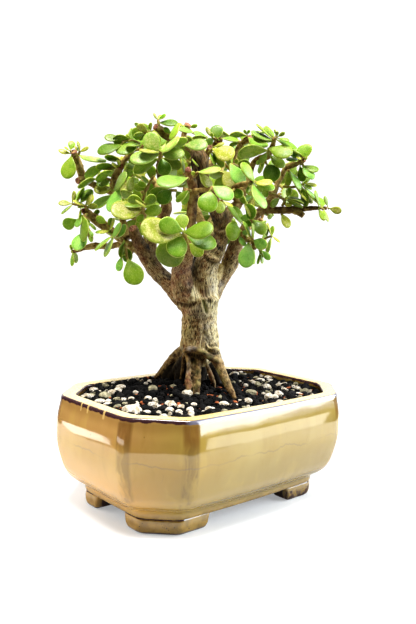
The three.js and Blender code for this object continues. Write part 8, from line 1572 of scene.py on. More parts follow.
def add_leaf(b, row, root, rnd, tone):
    """One fleshy leaf: cupped, a little bent, thick to the rounded margin, on a short stalk from root."""
    B, T, N = np.array(row[0:3]), np.array(row[3:6]), np.array(row[6:9])
    width, k = row[9], row[10]
    a = T - B
    length = np.linalg.norm(a)
    a = a / length
    n = unit(N - a * (N @ a))
    w = np.cross(a, n)
    th = min(2.5, 0.13 * width + 0.55)
    t = STATIONS
    half = width / 2 * ((1 - k) * hermite(*SLIM, t) + k * hermite(*ROUND, t))
    thick = th / 2 * hermite(*THICK, t)
    thick = np.minimum(thick, np.maximum(half * 0.95, 0.3))
    bend = length * rnd["bend"] * (4 * t * (1 - t)) + length * rnd["droop"] * t * t
    side = length * rnd["side"] * np.sin(np.pi * t)
    cup = width * rnd["cup"] * np.sin(np.pi * np.clip(t * 1.08, 0, 1))
    lop = 1 + rnd["lop"] * np.sign(ACROSS)
    x = half[:, None] * ACROSS[None] * lop[None]
    z = thick[:, None] * UPDOWN[None] + cup[:, None] * (ACROSS[None] ** 2 - 0.35) + bend[:, None]
    z = z + rnd["wave"] * width * np.sin(t * 5.0 + rnd["phase"])[:, None] * np.sign(ACROSS)[None] * ACROSS[None] ** 2
    P = (
        B[None, None]
        + a * (t * length)[:, None, None]
        + w * (x + side[:, None])[..., None]
        + n * z[..., None]
    ).reshape(-1, 3)
    tip = B + a * length + n * (length * rnd["droop"])
    foot = B - a * 0.05
    verts = np.vstack([P, foot, tip])
    info = np.zeros((len(verts), 3))
    info[:-2, 0] = np.repeat(t, AROUND)
    margin = np.minimum(half[:, None] * (1 - np.abs(ACROSS))[None], ((1 - t) * length)[:, None])
    info[:-2, 1] = (1 - np.clip(margin / 1.5, 0, 1)).ravel()
    info[:-2, 2] = np.tile(UPDOWN, len(t))
    info[-1] = (1, 1, 0)
    b.add(verts, [LEAF_QUADS, LEAF_ENDS], 0, tone=tone, leaf=info)
    # stalk
    q = np.array(root)
    r = max(0.38, min(0.62, half[0] * 1.05))
    gap = np.linalg.norm(B - q)
    back = min(gap * 0.5, 1.6)
    pts = np.array([[*q, r * 1.05], [*((q + B - a * back) / 2), r], [*(B - a * 0.3 * back), r * 0.95], [*(B + a * 0.04 * length), r * 0.8]])
    p = along(pts, 1.2)
    c, tri, _, _ = tube(p[:, :3], p[:, 3], 8)
    info = np.tile([0.0, 0.3, 0.0], (len(c), 1))
    b.add(c, tri, 0, tone=tone, leaf=info)


def tube(p, r, sides, flat_ends=True):
    """A closed tube: vertices, faces, angle and place along it."""
    t, u, w = frames(p)
    ang = np.arange(sides) * 2 * np.pi / sides
    ring = np.cos(ang)[None, :, None] * u[:, None] + np.sin(ang)[None, :, None] * w[:, None]
    rr = r if np.ndim(r) == 2 else np.repeat(np.asarray(r)[:, None], sides, 1)
    v = p[:, None] + ring * rr[..., None]
    rows = len(p)
    v = np.vstack([v.reshape(-1, 3), p[0] - t[0] * 0.0, p[-1] + t[-1] * 0.0])
    f = [grid_faces(rows, sides), np.vstack([fan(np.arange(sides), rows * sides, flip=True), fan(np.arange(sides) + (rows - 1) * sides, rows * sides + 1)])]
    s = np.concatenate([[0], np.cumsum(np.linalg.norm(np.diff(p, axis=0), axis=1))])
    return v, f, np.concatenate([np.tile(ang, rows), [0, 0]]), np.concatenate([np.repeat(s, sides), [s[0], s[-1]]])


def nearest_on(p, lines):
    """Nearest point to p on the surfaces round lines of x, y, z, r: distance to the surface, and the point on the line."""
    best = (1e9, None)
    for line in lines:
        a, b = line[:-1], line[1:]
        ab = b[:, :3] - a[:, :3]
        t = np.clip(((p - a[:, :3]) * ab).sum(1) / np.maximum((ab * ab).sum(1), 1e-9), 0, 1)
        q = a[:, :3] + ab * t[:, None]
        d = np.linalg.norm(p - q, axis=1) - (a[:, 3] * (1 - t) + b[:, 3] * t)
        i = int(np.argmin(d))
        if d[i] < best[0]:
            best = (d[i], q[i])
    return best


def add_twig(b, points, young=0):
    """A ringed twig with little swellings where leaves stood."""
    p = along(points, 0.8)
    s = np.concatenate([[0], np.cumsum(np.linalg.norm(np.diff(p[:, :3], axis=0), axis=1))])
    phase = float(np.abs(points[0][0] * 7.3 + points[0][1] * 3.1)) % 1.0
    node = (s / 4.6 + phase) % 1.0
    r = p[:, 3] * (1.0 + 0.22 * np.exp(-(((node - 0.5) / 0.10) ** 2)))
    r[-1] *= 0.75
    sides = 10
    ang = np.arange(sides) * 2 * np.pi / sides
    q = np.stack([np.cos(ang)[None] * np.ones((len(p), 1)), np.sin(ang)[None] * np.ones((len(p), 1)), (s / 1.5)[:, None] * np.ones((1, sides))], -1)
    rr = r[:, None] * (1 + 0.10 * vnoise(q + points[0][0], 0.8, 5))
    v, f, a, l = tube(p[:, :3], rr, sides)
    rad = float(np.mean(p[:, 3]))
    bark = np.stack([np.cos(a) * rad, np.sin(a) * rad, l + points[0][2]], -1)
    b.add(v, f, 1, bark=bark, tone=(0.5, 0.5, 0.0, 0.0), leaf=(0.5, 0.0, 0.0))


def build_shoots():
    woods = [np.array(w, float) for w in WOOD.values()]
    for name, (stems, leaves) in SHOOTS.items():
        b = Build("tone", "leaf", "bark")
        r = np.random.default_rng(sum(map(ord, name)) * 7 + 3)
        for s in stems:
            add_twig(b, s)
        lines = [np.array(s, float) for s in stems]
        for row in leaves:
            foot = np.array(row[0:3])
            d, q = nearest_on(foot, lines)
            dw, qw = nearest_on(foot, woods)
            if dw < d - 0.3:
                d, q = dw, qw
            # start the stalk just under the skin of what carries the leaf
            tone = row[11]
            if name.startswith("shoot_back"):
                tone = r.choice(["g", "y", "o", "g", "d", "w"])
            yb = np.clip(np.array(TONES[tone]) + r.normal(0, 0.06, 3) * (1, 0.4, 0.5), 0, 1)
            rnd = {
                "bend": r.normal(0.015, 0.02), "droop": r.normal(0.0, 0.012), "side": r.normal(0, 0.012),
                "cup": r.uniform(-0.015, 0.065), "lop": r.normal(0, 0.035), "wave": r.normal(0, 0.012), "phase": r.uniform(0, 6),
            }
            colour = np.tile([r.uniform(0, 1), yb[0], yb[1], yb[2]], (1, 1))
            add_leaf(b, row, q, rnd, colour)
        ob = b.make(name.replace("shoot_", "leaves_"), [LEAF, TWIG])
        piece(ob, "leaf", name)


# ---------------------------------------------------------------- wood
THIN = 2.9  # wood that starts thinner than this is modelled as ringed twigs of its own


def wood_lines():
    out = {}
    for name, w in WOOD.items():
        out[name] = along(w, 1.0)
    return out


def nearest_wood(P, lines):
    """For each point: nearest line's number, place along, angle, local radius, distance to the axis."""
    A, B, R0, R1, S0, K, U, W, L = [], [], [], [], [], [], [], [], []
    for k, (name, p) in enumerate(lines.items()):
        t, u, w = frames(p[:, :3])
        s = np.concatenate([[0], np.cumsum(np.linalg.norm(np.diff(p[:, :3], axis=0), axis=1))])
        A.append(p[:-1, :3]); B.append(p[1:, :3]); R0.append(p[:-1, 3]); R1.append(p[1:, 3])
        S0.append(s[:-1]); L.append(np.diff(s)); K.append(np.full(len(p) - 1, k)); U.append(u[:-1]); W.append(w[:-1])
    A, B, R0, R1, S0, K, U, W, L = (np.concatenate(x) for x in (A, B, R0, R1, S0, K, U, W, L))
    out = [np.zeros(len(P), int)] + [np.zeros(len(P)) for _ in range(4)]
    for i in range(0, len(P), 4000):
        p = P[i : i + 4000, None]
        ab = (B - A)[None]
        t = np.clip(((p - A[None]) * ab).sum(-1) / np.maximum((ab * ab).sum(-1), 1e-9), 0, 1)
        q = A[None] + ab * t[..., None]
        d = np.linalg.norm(p - q, axis=-1)
        r = R0 + (R1 - R0) * t
        j = np.argmin(d - r, axis=1)
        rows = np.arange(len(j))
        off = p[:, 0] - q[rows, j]
        ang = np.arctan2((off * W[j]).sum(-1), (off * U[j]).sum(-1))
        sl = slice(i, i + len(j))
        out[0][sl], out[1][sl], out[2][sl], out[3][sl], out[4][sl] = K[j], S0[j] + L[j] * t[rows, j], ang, r[rows, j], d[rows, j]
    return out


def build_wood():
    lines = wood_lines()
    thick = {n: p for n, p in lines.items() if p[0, 3] >= THIN or n[:4] in ("root", "heel")}
    ends = {(n, e): red for n, e, red in CUTS}
    # one closed skin round the thick wood
    b = Build()
    for n, p in thick.items():
        v, f, _, _ = tube(p[:, :3], p[:, 3] + 0.12, 14)
        b.add(v, f)
    ob = b.make("wood_skin", [])
    rm = ob.modifiers.new("skin", "REMESH")
    rm.mode = "VOXEL"
    rm.voxel_size = 0.00075
    rm.adaptivity = 0
    sm = ob.modifiers.new("soft", "SMOOTH")
    sm.factor, sm.iterations = 0.5, 4
    dg = bpy.context.evaluated_depsgraph_get()
    me = bpy.data.meshes.new_from_object(ob.evaluated_get(dg))
    bpy.data.objects.remove(ob)
    n = len(me.vertices)
    P = np.zeros(n * 3)
    me.vertices.foreach_get("co", P)
    N = np.zeros(n * 3)
    me.vertices.foreach_get("normal", N)
    P, N = P.reshape(-1, 3) / MM - MIDDLE, N.reshape(-1, 3)
    k, s, ang, r, d = nearest_wood(P, thick)
    bark = np.stack([np.cos(ang) * np.maximum(r, 1.5), np.sin(ang) * np.maximum(r, 1.5), s / 3 + k * 29.0], -1)
    big = np.clip((r - 2.0) / 6.0, 0, 1)
    lump = fbm(P, 9.0, 2, 3) * (0.35 + 0.75 * big)
    ridge = (1 - np.abs(fbm(bark * [1, 1, 0.55], 2.3, 2, 9))) ** 2
    ring = fbm(np.stack([np.cos(ang), np.sin(ang), s / 2.2 + k * 13.0], -1), 1.0, 2, 21)
    rough = fbm(P, 1.7, 2, 31)
    dd = lump * 0.8 + (ridge - 0.6) * (0.16 + 0.30 * big) + ring * (0.22 + 0.16 * big) + rough * 0.18
    paint = np.zeros((n, 4))
    names = list(thick)
    # painted shade: the wood that fills the hollow under the trunk is painted near black; all the wood is also darker
    # towards the soil, below 82 mm
    hollow_shade = np.array([1.0 if x.startswith("heel") else 0.0 for x in names])[k]
    low = np.clip((82.0 - P[:, 2]) / 9.0, 0, 1) * 0.45
    mottle = 0.6 + 0.5 * vnoise(P, 2.6, 77)
    paint[:, 0] = np.maximum(hollow_shade, low * mottle)
    # the painted shade in the hollow under the trunk is kept only where the wood faces the front
    inner = np.array([x.startswith("heel") for x in names])[k]
    facing = np.clip(N @ np.array([-0.66, -0.7513, 0.0]) * 2.2 + 0.35, 0.2, 1.0)
    paint[:, 0] = np.where(inner, np.minimum(paint[:, 0], facing), paint[:, 0])
    tint = {"limb_farleft": (0.45, 0.55), "limb_left": (0.10, 0.62), "limb_right_back": (0.40, 0.25), "limb_up_left": (0.40, 0.3)}
    dark_by, red_by = (np.array([tint.get(x, (0.0, 0.0))[i] for x in names])[k] for i in (0, 1))
    paint[:, 0] = np.maximum(paint[:, 0], dark_by * mottle * np.clip((P[:, 2] - 120) / 12, 0, 1))
    paint[:, 1] = red_by * (0.55 + 0.6 * vnoise(P, 5.0, 78)) * np.clip((P[:, 2] - 121) / 8, 0, 1)
    # painted shade: the left-hand side of the right limb, facing away from the light, is painted dark
    shady = np.clip(N @ np.array([-0.75, 0.60, -0.15]) + 0.12, 0, 1) * (np.array([x == "limb_right" for x in names])[k])
    paint[:, 0] = np.maximum(paint[:, 0], shady * (0.65 + 0.45 * vnoise(P, 2.0, 79)) * np.clip((P[:, 2] - 118) / 8, 0, 1))
    # painted shade on the sides of the left and far-left limbs that face up and to the right
    painted_limb_shade = np.clip(N @ np.array([0.526, -0.462, 0.70]) * 2.0 + 0.05, 0, 1) * (np.array([x in ("limb_left", "limb_farleft") for x in names])[k])
    paint[:, 0] = np.maximum(paint[:, 0], painted_limb_shade * (0.6 + 0.5 * vnoise(P, 2.4, 80)) * np.clip((P[:, 2] - 112) / 8, 0, 1))
    # old root bark in darker and lighter patches
    roots = np.array([x.startswith("root") for x in names])[k]
    paint[:, 0] = np.maximum(paint[:, 0], roots * np.clip(vnoise(P, 2.3, 91) * 1.3, 0, 0.6))
    for x, y, z, rad, high, *colours in MARKS:
        g = np.exp(-(((P - [x, y, z]) / rad) ** 2).sum(1))
        dd = dd + high * g
        paint = np.maximum(paint, g[:, None] * np.array(colours)[None])
    # painted light: the bark is painted paler on the side that faces the key light, on the trunk and lower limbs
    lit_side = np.clip(N @ np.array([0.66, -0.70, 0.25]) * 1.5 - 0.15, 0, 1)
    pale = lit_side * np.clip((P[:, 2] - 74) / 8, 0, 1) * np.clip((168 - P[:, 2]) / 25, 0, 1)
    pale = pale * np.array([0.35 if x in ("limb_right_back", "limb_left", "limb_farleft") else 0.8 if x.startswith("root") else 1.0 for x in names])[k]
    P = P + N * dd[:, None]
    faces = np.zeros(len(me.loops), np.int32)
    me.loops.foreach_get("vertex_index", faces)
    quads = faces.reshape(-1, 4)
    info = np.zeros((n, 3))
    info[:, 0] = r
    for (name, e), red in ends.items():
        if name in thick:
            p = thick[name]
            c = p[-1 if e else 0]
            t = unit(c[:3] - p[-3 if e else 2][:3])
            rel = P - c[:3]
            h = rel @ t
            flat = (h > -0.45) & (np.linalg.norm(rel, axis=1) < c[3] * 1.25 + 0.4)
            info[flat, 1], info[flat, 2] = 1.0, red
    out = Build("bark", "info", "paint", "pale")
    out.add(P, [quads], 0, bark=bark, info=info, paint=paint, pale=pale[:, None])
    # thin branches: ringed, with cut faces at their ends
    for name, p in lines.items():
        if name in thick:
            continue
        q = p.copy()
        s = np.concatenate([[0], np.cumsum(np.linalg.norm(np.diff(q[:, :3], axis=0), axis=1))])
        collar = 1 + 0.35 * np.exp(-s / 1.8)
        node = (s / 5.2 + 0.37 * len(name)) % 1.0
        rad = q[:, 3] * collar * (1 + 0.13 * np.exp(-(((node - 0.5) / 0.12) ** 2)))
        sides = 14
        a = np.arange(sides) * 2 * np.pi / sides
        g = np.stack([np.cos(a)[None] * q[:, 3:4] + 0 * a, np.sin(a)[None] * q[:, 3:4], (s / 3)[:, None] + 0 * a[None]], -1)
        rr = rad[:, None] * (1 + 0.09 * fbm(g + len(name) * 3.7, 1.1, 2, 13) + 0.05 * vnoise(g * [1, 1, 3.0], 0.8, 41))
        v, f, aa, l = tube(q[:, :3], rr, sides)
        bk = np.stack([np.cos(aa) * 2, np.sin(aa) * 2, l / 3 + len(name) * 11.0], -1)
        inf = np.zeros((len(v), 3))
        inf[:, 0] = np.concatenate([np.repeat(q[:, 3], sides), [q[0, 3], q[-1, 3]]])
        out.add(v, f, 0, bark=bk, info=inf)
        if (name, 1) in ends:
            t, u, w = frames(q[:, :3])
            c, rd = q[-1, :3], rad[-1]
            rings = []
            for k2, (rs, h) in enumerate([(1.02, -0.25), (1.0, 0.10), (0.82, 0.30), (0.5, 0.10), (0.2, -0.1)]):
                wob = 1 + 0.10 * vnoise(np.stack([np.cos(a) * 1.3, np.sin(a) * 1.3, 0 * a + k2 + len(name)], -1), 0.7, 3)
                rings.append(c + (u[-1] * np.cos(a)[:, None] + w[-1] * np.sin(a)[:, None]) * (rd * rs * wob)[:, None] + t[-1] * h)
            v = np.vstack(rings + [[c + t[-1] * 0.02]])
            f = [grid_faces(5, sides), fan(np.arange(sides) + 4 * sides, 5 * sides)]
            inf = np.tile([2.0, 1.0, ends[(name, 1)]], (len(v), 1))
            inf[: sides, 1] = 0.0
            bk = (v - c) * 1.0 + len(name)
            out.add(v, f, 0, bark=bk, info=inf)
    ob = out.make("tree_wood", [BARK])
    piece(ob, "bark", "trunk")
    bpy.data.meshes.remove(me)
    return thick


# ---------------------------------------------------------------- pot
LENGTH, WIDTH, CUT = 170.0, 118.2, 25.0
OUTSIDE = [
    (9.0, -16.6), (9.05, -15.4), (9.35, -14.35), (10.0, -13.9), (12.4, -13.6), (13.2, -13.2), (14.2, -12.4),
    (15.5, -11), (18.3, -6.5), (23, -2.6), (30, 0), (40.4, 2.3), (49, 2.7), (57.7, 2.3), (64, 1.15), (67.2, 0.45),
]
RIM = [(68.1, 0.28), (68.8, 0.0), (69.2, -0.55), (69.33, -1.3), (69.42, -3.2), (69.45, -5.0), (69.38, -6.8), (69.2, -7.7), (68.75, -8.3), (68.0, -8.5)]
INSIDE = [(66, -8.3), (60, -6), (49, -5), (36, -6.6), (26, -10.5), (20, -15), (16.5, -20.5), (15.2, -24.5), (15.0, -28.5)]


def ring_at(out, soften=2.3, feet=False):
    """The pot's outline at one level: an oblong with cut corners, bowed sides and softened angles."""
    a, b = LENGTH / 2 + out, WIDTH / 2 + out
    c = CUT + out * (2 - math.sqrt(2))
    corner = [(-a + c, -b), (a - c, -b), (a, -b + c), (a, b - c), (a - c, b), (-a + c, b), (-a, b - c), (-a, -b + c)]
    counts = [30, 8, 18, 8, 30, 8, 18, 8]
    bows = [(1.6, (0, -1)), None, (0.6, (1, 0)), None, (1.6, (0, 1)), None, (0.6, (-1, 0)), None]
    pts, near = [], []
    for i in range(8):
        p0, p1, p2 = (np.array(corner[j % 8]) for j in (i, i + 1, i + 2))
        d = unit(p1 - p0)
        e = unit(p2 - p1)
        L = np.linalg.norm(p1 - p0)
        tau = min(soften, L / 3)
        t = np.linspace(tau / L, 1 - tau / L, counts[i])
        q = p0 + (p1 - p0) * t[:, None]
        if bows[i]:
            q = q + np.array(bows[i][1]) * (bows[i][0] * (1 - (2 * t - 1) ** 2))[:, None]
        near += list(np.minimum(t, 1 - t) * L)
        pts.append(q)
        s = np.linspace(0, 1, 7)[1:-1][:, None]
        A, C = q[-1], p1 + e * tau
        if bows[(i + 1) % 8]:
            L2 = np.linalg.norm(p2 - p1)
            C = C + np.array(bows[(i + 1) % 8][1]) * bows[(i + 1) % 8][0] * (1 - (2 * tau / L2 - 1) ** 2)
        pts.append(A * (1 - s) ** 2 + p1 * 2 * s * (1 - s) + C * s**2)
        near += [0.0] * 5
    return np.vstack(pts), np.array(near)


def build_pot():
    b = Build("glaze", "bare")
    zs = np.concatenate([[9.0, 9.05, 9.35, 10.0, 10.8, 11.6, 12.4, 12.9, 13.2, 13.7, 14.2], np.arange(15.0, 67.3, 1.5)])
    outs = hermite([p[0] for p in OUTSIDE], [p[1] for p in OUTSIDE], zs)
    levels = [(z, o, "o") for z, o in zip(zs, outs)]
    levels += [(z, o, "r") for z, o in RIM]
    zi = np.concatenate([[66, 64, 62], np.arange(60, 20, -4), [20, 18, 16.5, 15.6, 15.2, 15.0]])
    oi = hermite([p[0] for p in INSIDE][::-1], [p[1] for p in INSIDE][::-1], zi)
    levels += [(z, o, "i") for z, o in zip(zi, oi)]
    V, G, BR = [], [], []
    for z, o, part in levels:
        ring, near = ring_at(o, soften=5.5 if part == "o" else 4.5 if part == "r" else 3.0)
        P = np.column_stack([ring, np.full(len(ring), z)])
        wob = vnoise(P, 46, 4) * 0.28 + vnoise(P, 17, 5) * 0.10
        P[:, :2] += unit(P[:, :2]) * (wob * min(1.0, (z - 9) / 6 + 0.1))[:, None]
        if part != "o":
            P[:, 2] += vnoise(P * [1, 1, 0], 38, 8) * 0.16
        thin = 0.0
        if part == "r":
            outer = math.exp(-(((o - 0.1) / 0.9) ** 2)) if o > -2.5 else 0.0
            inner = math.exp(-(((o + 8.3) / 0.55) ** 2))
            thin = max(outer, inner)
        elif part == "o":
            thin = max(math.exp(-(((z - 68.4) / 1.35) ** 2)), 0.0)
        elif part == "i":
            thin = 0.7 * math.exp(-(((z - 68.2) / 1.4) ** 2))
        top = 1.0 if part == "r" and -7.9 < o < -0.9 else 0.0
        cornering = np.exp(-((near / 3.2) ** 2)) * (0.2 if part == "r" else 1.0)
        g = np.column_stack([np.full(len(ring), thin), cornering, np.full(len(ring), top)])
        V.append(P)
        G.append(g)
        bare = 0.0 if z > 10 else 0.35
        BR.append(np.full(len(ring), 1.0 if (part == "i" and z < 58) else bare))
    cols = len(V[0])
    b.add(np.vstack(V), [grid_faces(len(V), cols)], 0, glaze=np.vstack(G), bare=np.concatenate(BR)[:, None])
    # the flat underside and inside floor, each with two drain holes
    hole = [(sx * 38 + 6 * math.cos(k * math.tau / 24), 6 * math.sin(k * math.tau / 24)) for sx in (-1, 1) for k in range(24)]
    for loop, z, flip, dark in ((V[0], 9.0, True, 1.0), (V[-1], 15.0, False, 1.0)):
        outer = [Vector((p[0], p[1], z)) for p in loop]
        hs = [[Vector((x, y, z)) for x, y in hole[i * 24 : (i + 1) * 24]] for i in (0, 1)]
        tris = tessellate_polygon([outer, *hs])
        pts = np.array([*[(p[0], p[1], z) for p in loop], *[(x, y, z) for x, y in hole]])
        f = np.array([list(t) for t in tris])
        nrm = np.cross(pts[f[:, 1]] - pts[f[:, 0]], pts[f[:, 2]] - pts[f[:, 0]])[:, 2]
        wrong = (nrm > 0) if flip else (nrm < 0)
        f[wrong] = f[wrong][:, ::-1]
        b.add(pts, [f], 0, glaze=(0.0, 0.0, 0.0), bare=dark)
    for i in (0, 1):
        ring = hole[i * 24 : (i + 1) * 24]
        pts = np.array([(x, y, 9.0) for x, y in ring] + [(x, y, 15.0) for x, y in ring])
        f = grid_faces(2, 24)[:, ::-1]
        b.add(pts, [f], 0, glaze=(0.0, 0.0, 0.0), bare=1.0)
    # four L-shaped feet
    for sx in (-1, 1):
        for sy in (-1, 1):
            loops, edge = [], []
            for z, o, grow, thin, bare in (
                (10.6, -15.2, 3.2, 0.0, 0.0), (9.5, -14.9, 2.6, 0.85, 0.0), (8.9, -14.6, 1.7, 0.9, 0.0), (8.2, -14.4, 0.9, 0.05, 0.0),
                (6.6, -14.2, 0.35, 0.0, 0.0), (5.0, -14.2, 0.0, 0.0, 0.0), (3.6, -14.35, -0.3, 0.0, 0.0), (2.2, -14.7, -0.8, 0.2, 0.1),
                (1.3, -15.1, -1.2, 0.75, 0.2), (0.6, -15.7, -1.8, 1.0, 0.3), (0.1, -16.5, -2.6, 0.8, 1.0), (0.0, -17.4, -3.4, 0.0, 1.0),
            ):
                a, bb = LENGTH / 2 + o, WIDTH / 2 + o
                c = CUT + o * (2 - math.sqrt(2))
                gx, gy = 33.0 - grow, 15.0 - grow
                ix, iy = 56.5 - grow * 0.4, 30.6 - grow * 0.4
                poly = [(gx, -bb), (a - c, -bb), (a, -bb + c), (a, -gy), (ix, -gy), (ix, -iy), (gx, -iy)]
                rad = [1.6, 3.2, 3.2, 1.6, 1.6, 2.5, 1.6]
                pts = []
                for j in range(7):
                    p0, p1, p2 = (np.array(poly[m % 7]) for m in (j - 1, j, j + 1))
                    s = np.linspace(0, 1, 6)[:, None]
                    A = p1 + unit(p0 - p1) * rad[j]
                    C = p1 + unit(p2 - p1) * rad[j]
                    pts.append(A * (1 - s) ** 2 + p1 * 2 * s * (1 - s) + C * s**2)
                    n = 5
                    q = np.array(poly[(j + 1) % 7])
                    D = q + unit(p1 - q) * rad[(j + 1) % 7]
                    t = np.linspace(0, 1, n + 2)[1:-1][:, None]
                    pts.append(C * (1 - t) + D * t)
                pts = np.vstack(pts)
                P = np.column_stack([pts[:, 0] * sx, pts[:, 1] * -sy * -1, np.full(len(pts), z)])
                P[:, 1] = pts[:, 1] * (1 if sy < 0 else -1)
                P[:, :2] += unit(P[:, :2]) * (vnoise(P, 12, 6) * 0.18)[:, None]
                loops.append(P)
                inward = np.clip((a + bb - c - np.abs(pts[:, 0]) - np.abs(pts[:, 1])) / 6.0 - 0.5, 0, 1)
                inward = np.minimum(inward, np.clip(np.minimum(a - np.abs(pts[:, 0]), bb - np.abs(pts[:, 1])) / 4.0 - 0.4, 0, 1))
                patchy = 0.5 if (sx > 0 and sy < 0 and z < 8) else 0.0
                edge.append(np.column_stack([np.full(len(P), thin), np.zeros(len(P)), np.zeros(len(P)), np.maximum(np.maximum(bare, patchy), inward * 0.9)]))
            cols = len(loops[0])
            centre = loops[-1].mean(0)
            v = np.vstack([*loops])
            f = grid_faces(len(loops), cols)
            base = loops[-1]
            tris = np.array([list(t) for t in tessellate_polygon([[Vector(p) for p in base]])]) + (len(loops) - 1) * cols
            roof = np.array([list(t) for t in tessellate_polygon([[Vector(p) for p in loops[0]]])])
            # faces point outwards whichever way the loop runs
            area = np.sum(base[:, 0] * np.roll(base[:, 1], -1) - np.roll(base[:, 0], -1) * base[:, 1])
            if area > 0:
                f = f[:, ::-1]
            def facing(tri, down):
                nrm = np.cross(v[tri[:, 1]] - v[tri[:, 0]], v[tri[:, 2]] - v[tri[:, 0]])[:, 2]
                bad = (nrm > 0) if down else (nrm < 0)
                tri[bad] = tri[bad][:, ::-1]
                return tri
            e = np.vstack(edge)
            b.add(v, [f, facing(tris, True), facing(roof, False)], 0, glaze=e[:, :3], bare=e[:, 3:])
    ob = b.make("glazed_pot", [GLAZE])
    piece(ob, "glaze", "pot")


# ---------------------------------------------------------------- soil
MOUND = (-7.6, 5.83)
HEAP = (60.57, 30.5)


def soil_top(x, y):
    m = np.exp(-(((x - MOUND[0]) / 40) ** 2 + ((y - MOUND[1]) / 32) ** 2))
    heel = np.exp(-(((x - MOUND[0] - 2) / 13) ** 2 + ((y - MOUND[1] + 2) / 13) ** 2))
    back = np.exp(-(((y - 52) / 15) ** 2)) / (1 + np.exp((-52 - x) / 4)) / (1 + np.exp((x - 62) / 4))
    heap = np.exp(-(((x - HEAP[0]) / 17) ** 2 + ((y - HEAP[1]) / 12) ** 2))
    return (
        65.6 + 5.0 * m + 2.2 * heel + 2.6 * back + 2.2 * heap + 1.4 * (-y - x * 0.6) * 0.01
        + 0.5 * np.sin(x * 0.31 + 1.3) * np.cos(y * 0.37 - 0.4) + 0.35 * np.sin(x * 0.13 - y * 0.21 + 2.1)
    )


def in_pot(x, y, out):
    a, b = LENGTH / 2 + out, WIDTH / 2 + out
    c = CUT + out * (2 - math.sqrt(2))
    return (np.abs(x) < a) & (np.abs(y) < b) & (np.abs(x) + np.abs(y) < a + b - c)


def sphere(level):
    import bmesh

    bm = bmesh.new()
    bmesh.ops.create_icosphere(bm, subdivisions=level, radius=1.0)
    v = np.array([x.co[:] for x in bm.verts])
    f = np.array([[q.index for q in p.verts] for p in bm.faces])
    bm.free()
    return v, f


SPHERES = {k: sphere(k) for k in (1, 2, 3, 4)}


def rock(level, size, seed, facets=7, lumpy=0.16, keep=0.72):
    """A broken, slightly rounded stone with half sizes `size`."""
    r = np.random.default_rng(seed)
    v, f = SPHERES[level]
    p = v * (1 + lumpy * fbm(v + r.uniform(-50, 50, 3), 0.9, 2, seed % 97))[:, None]
    for _ in range(facets):
        n = unit(r.normal(size=3))
        h = r.uniform(keep, 0.98)
        over = np.maximum(p @ n - h, 0)
        p = p - n * (over * 0.9)[:, None]
    p = p * (1 + 0.045 * fbm(v * 3 + seed, 0.7, 2, 5))[:, None]
    p = p / np.abs(p).max(0) * np.asarray(size)
    return p, f


def turned(p, r, tilt=0.5, turn=None):
    a = r.uniform(0, math.tau) if turn is None else turn
    q = Matrix.Rotation(a, 3, "Z") @ Matrix.Rotation(r.normal(0, tilt), 3, "X") @ Matrix.Rotation(r.normal(0, tilt), 3, "Y")
    return p @ np.array(q).T


def build_soil():
    # body of the soil: a fine rough surface on a closed block
    nx, ny = 150, 104
    u = np.linspace(-1, 1, nx)
    v = np.linspace(-1, 1, ny)
    U, W = np.meshgrid(u, v, indexing="ij")

    def place(z, rough):
        o = float(hermite([15, 20, 26, 36, 49, 60, 68, 69.3], [-25, -15, -10.5, -6.6, -5, -6, -7.8, -8.6], z if z < 90 else 65.0)) - 0.5
        a, b = LENGTH / 2 + o, WIDTH / 2 + o
        c = CUT + o * (2 - math.sqrt(2))
        m = np.maximum(np.maximum(np.abs(U), np.abs(W)), 1e-6)
        ex, ey = np.abs(U) / m * a, np.abs(W) / m * b
        s = np.where(ex + ey > a + b - c, (a + b - c) / (ex + ey), 1.0)
        return U * a * s, W * b * s

    x, y = place(100, True)
    q = np.stack([x, y, 0 * x], -1)
    z = soil_top(x, y) - 0.9 + 0.75 * fbm(q, 3.4, 3, 2) + 0.35 * fbm(q, 1.1, 2, 7)
    top = np.stack([x, y, z], -1)
    b = Build("grain")
    layers = [top.reshape(-1, 3)]
    b.add(layers[0], [grid_faces(nx, ny, closed=False)[:, ::-1]], 0, grain=(0.5, 1.0, 0))
    rim = np.concatenate([np.arange(nx) * ny, (nx - 1) * ny + np.arange(1, ny), (np.arange(nx - 2, -1, -1)) * ny + ny - 1, np.arange(ny - 2, 0, -1)])
    loops = [layers[0][rim]]
    for zz in (60.0, 49.0, 36.0, 26.0, 20.0, 16.6):
        xx, yy = place(zz, False)
        loops.append(np.stack([xx, yy, 0 * xx + zz], -1).reshape(-1, 3)[rim])
    n = len(rim)
    verts = np.vstack(loops)
    verts = np.vstack([verts, loops[-1].mean(0)[None]])
    b.add(verts, [grid_faces(len(loops), n), fan(np.arange(n) + (len(loops) - 1) * n, len(loops) * n)], 0, grain=(0.5, 1.0, 0))
    ob = b.make("soil_body", [PEAT])
    piece(ob, "soil", "soil")
    return ob


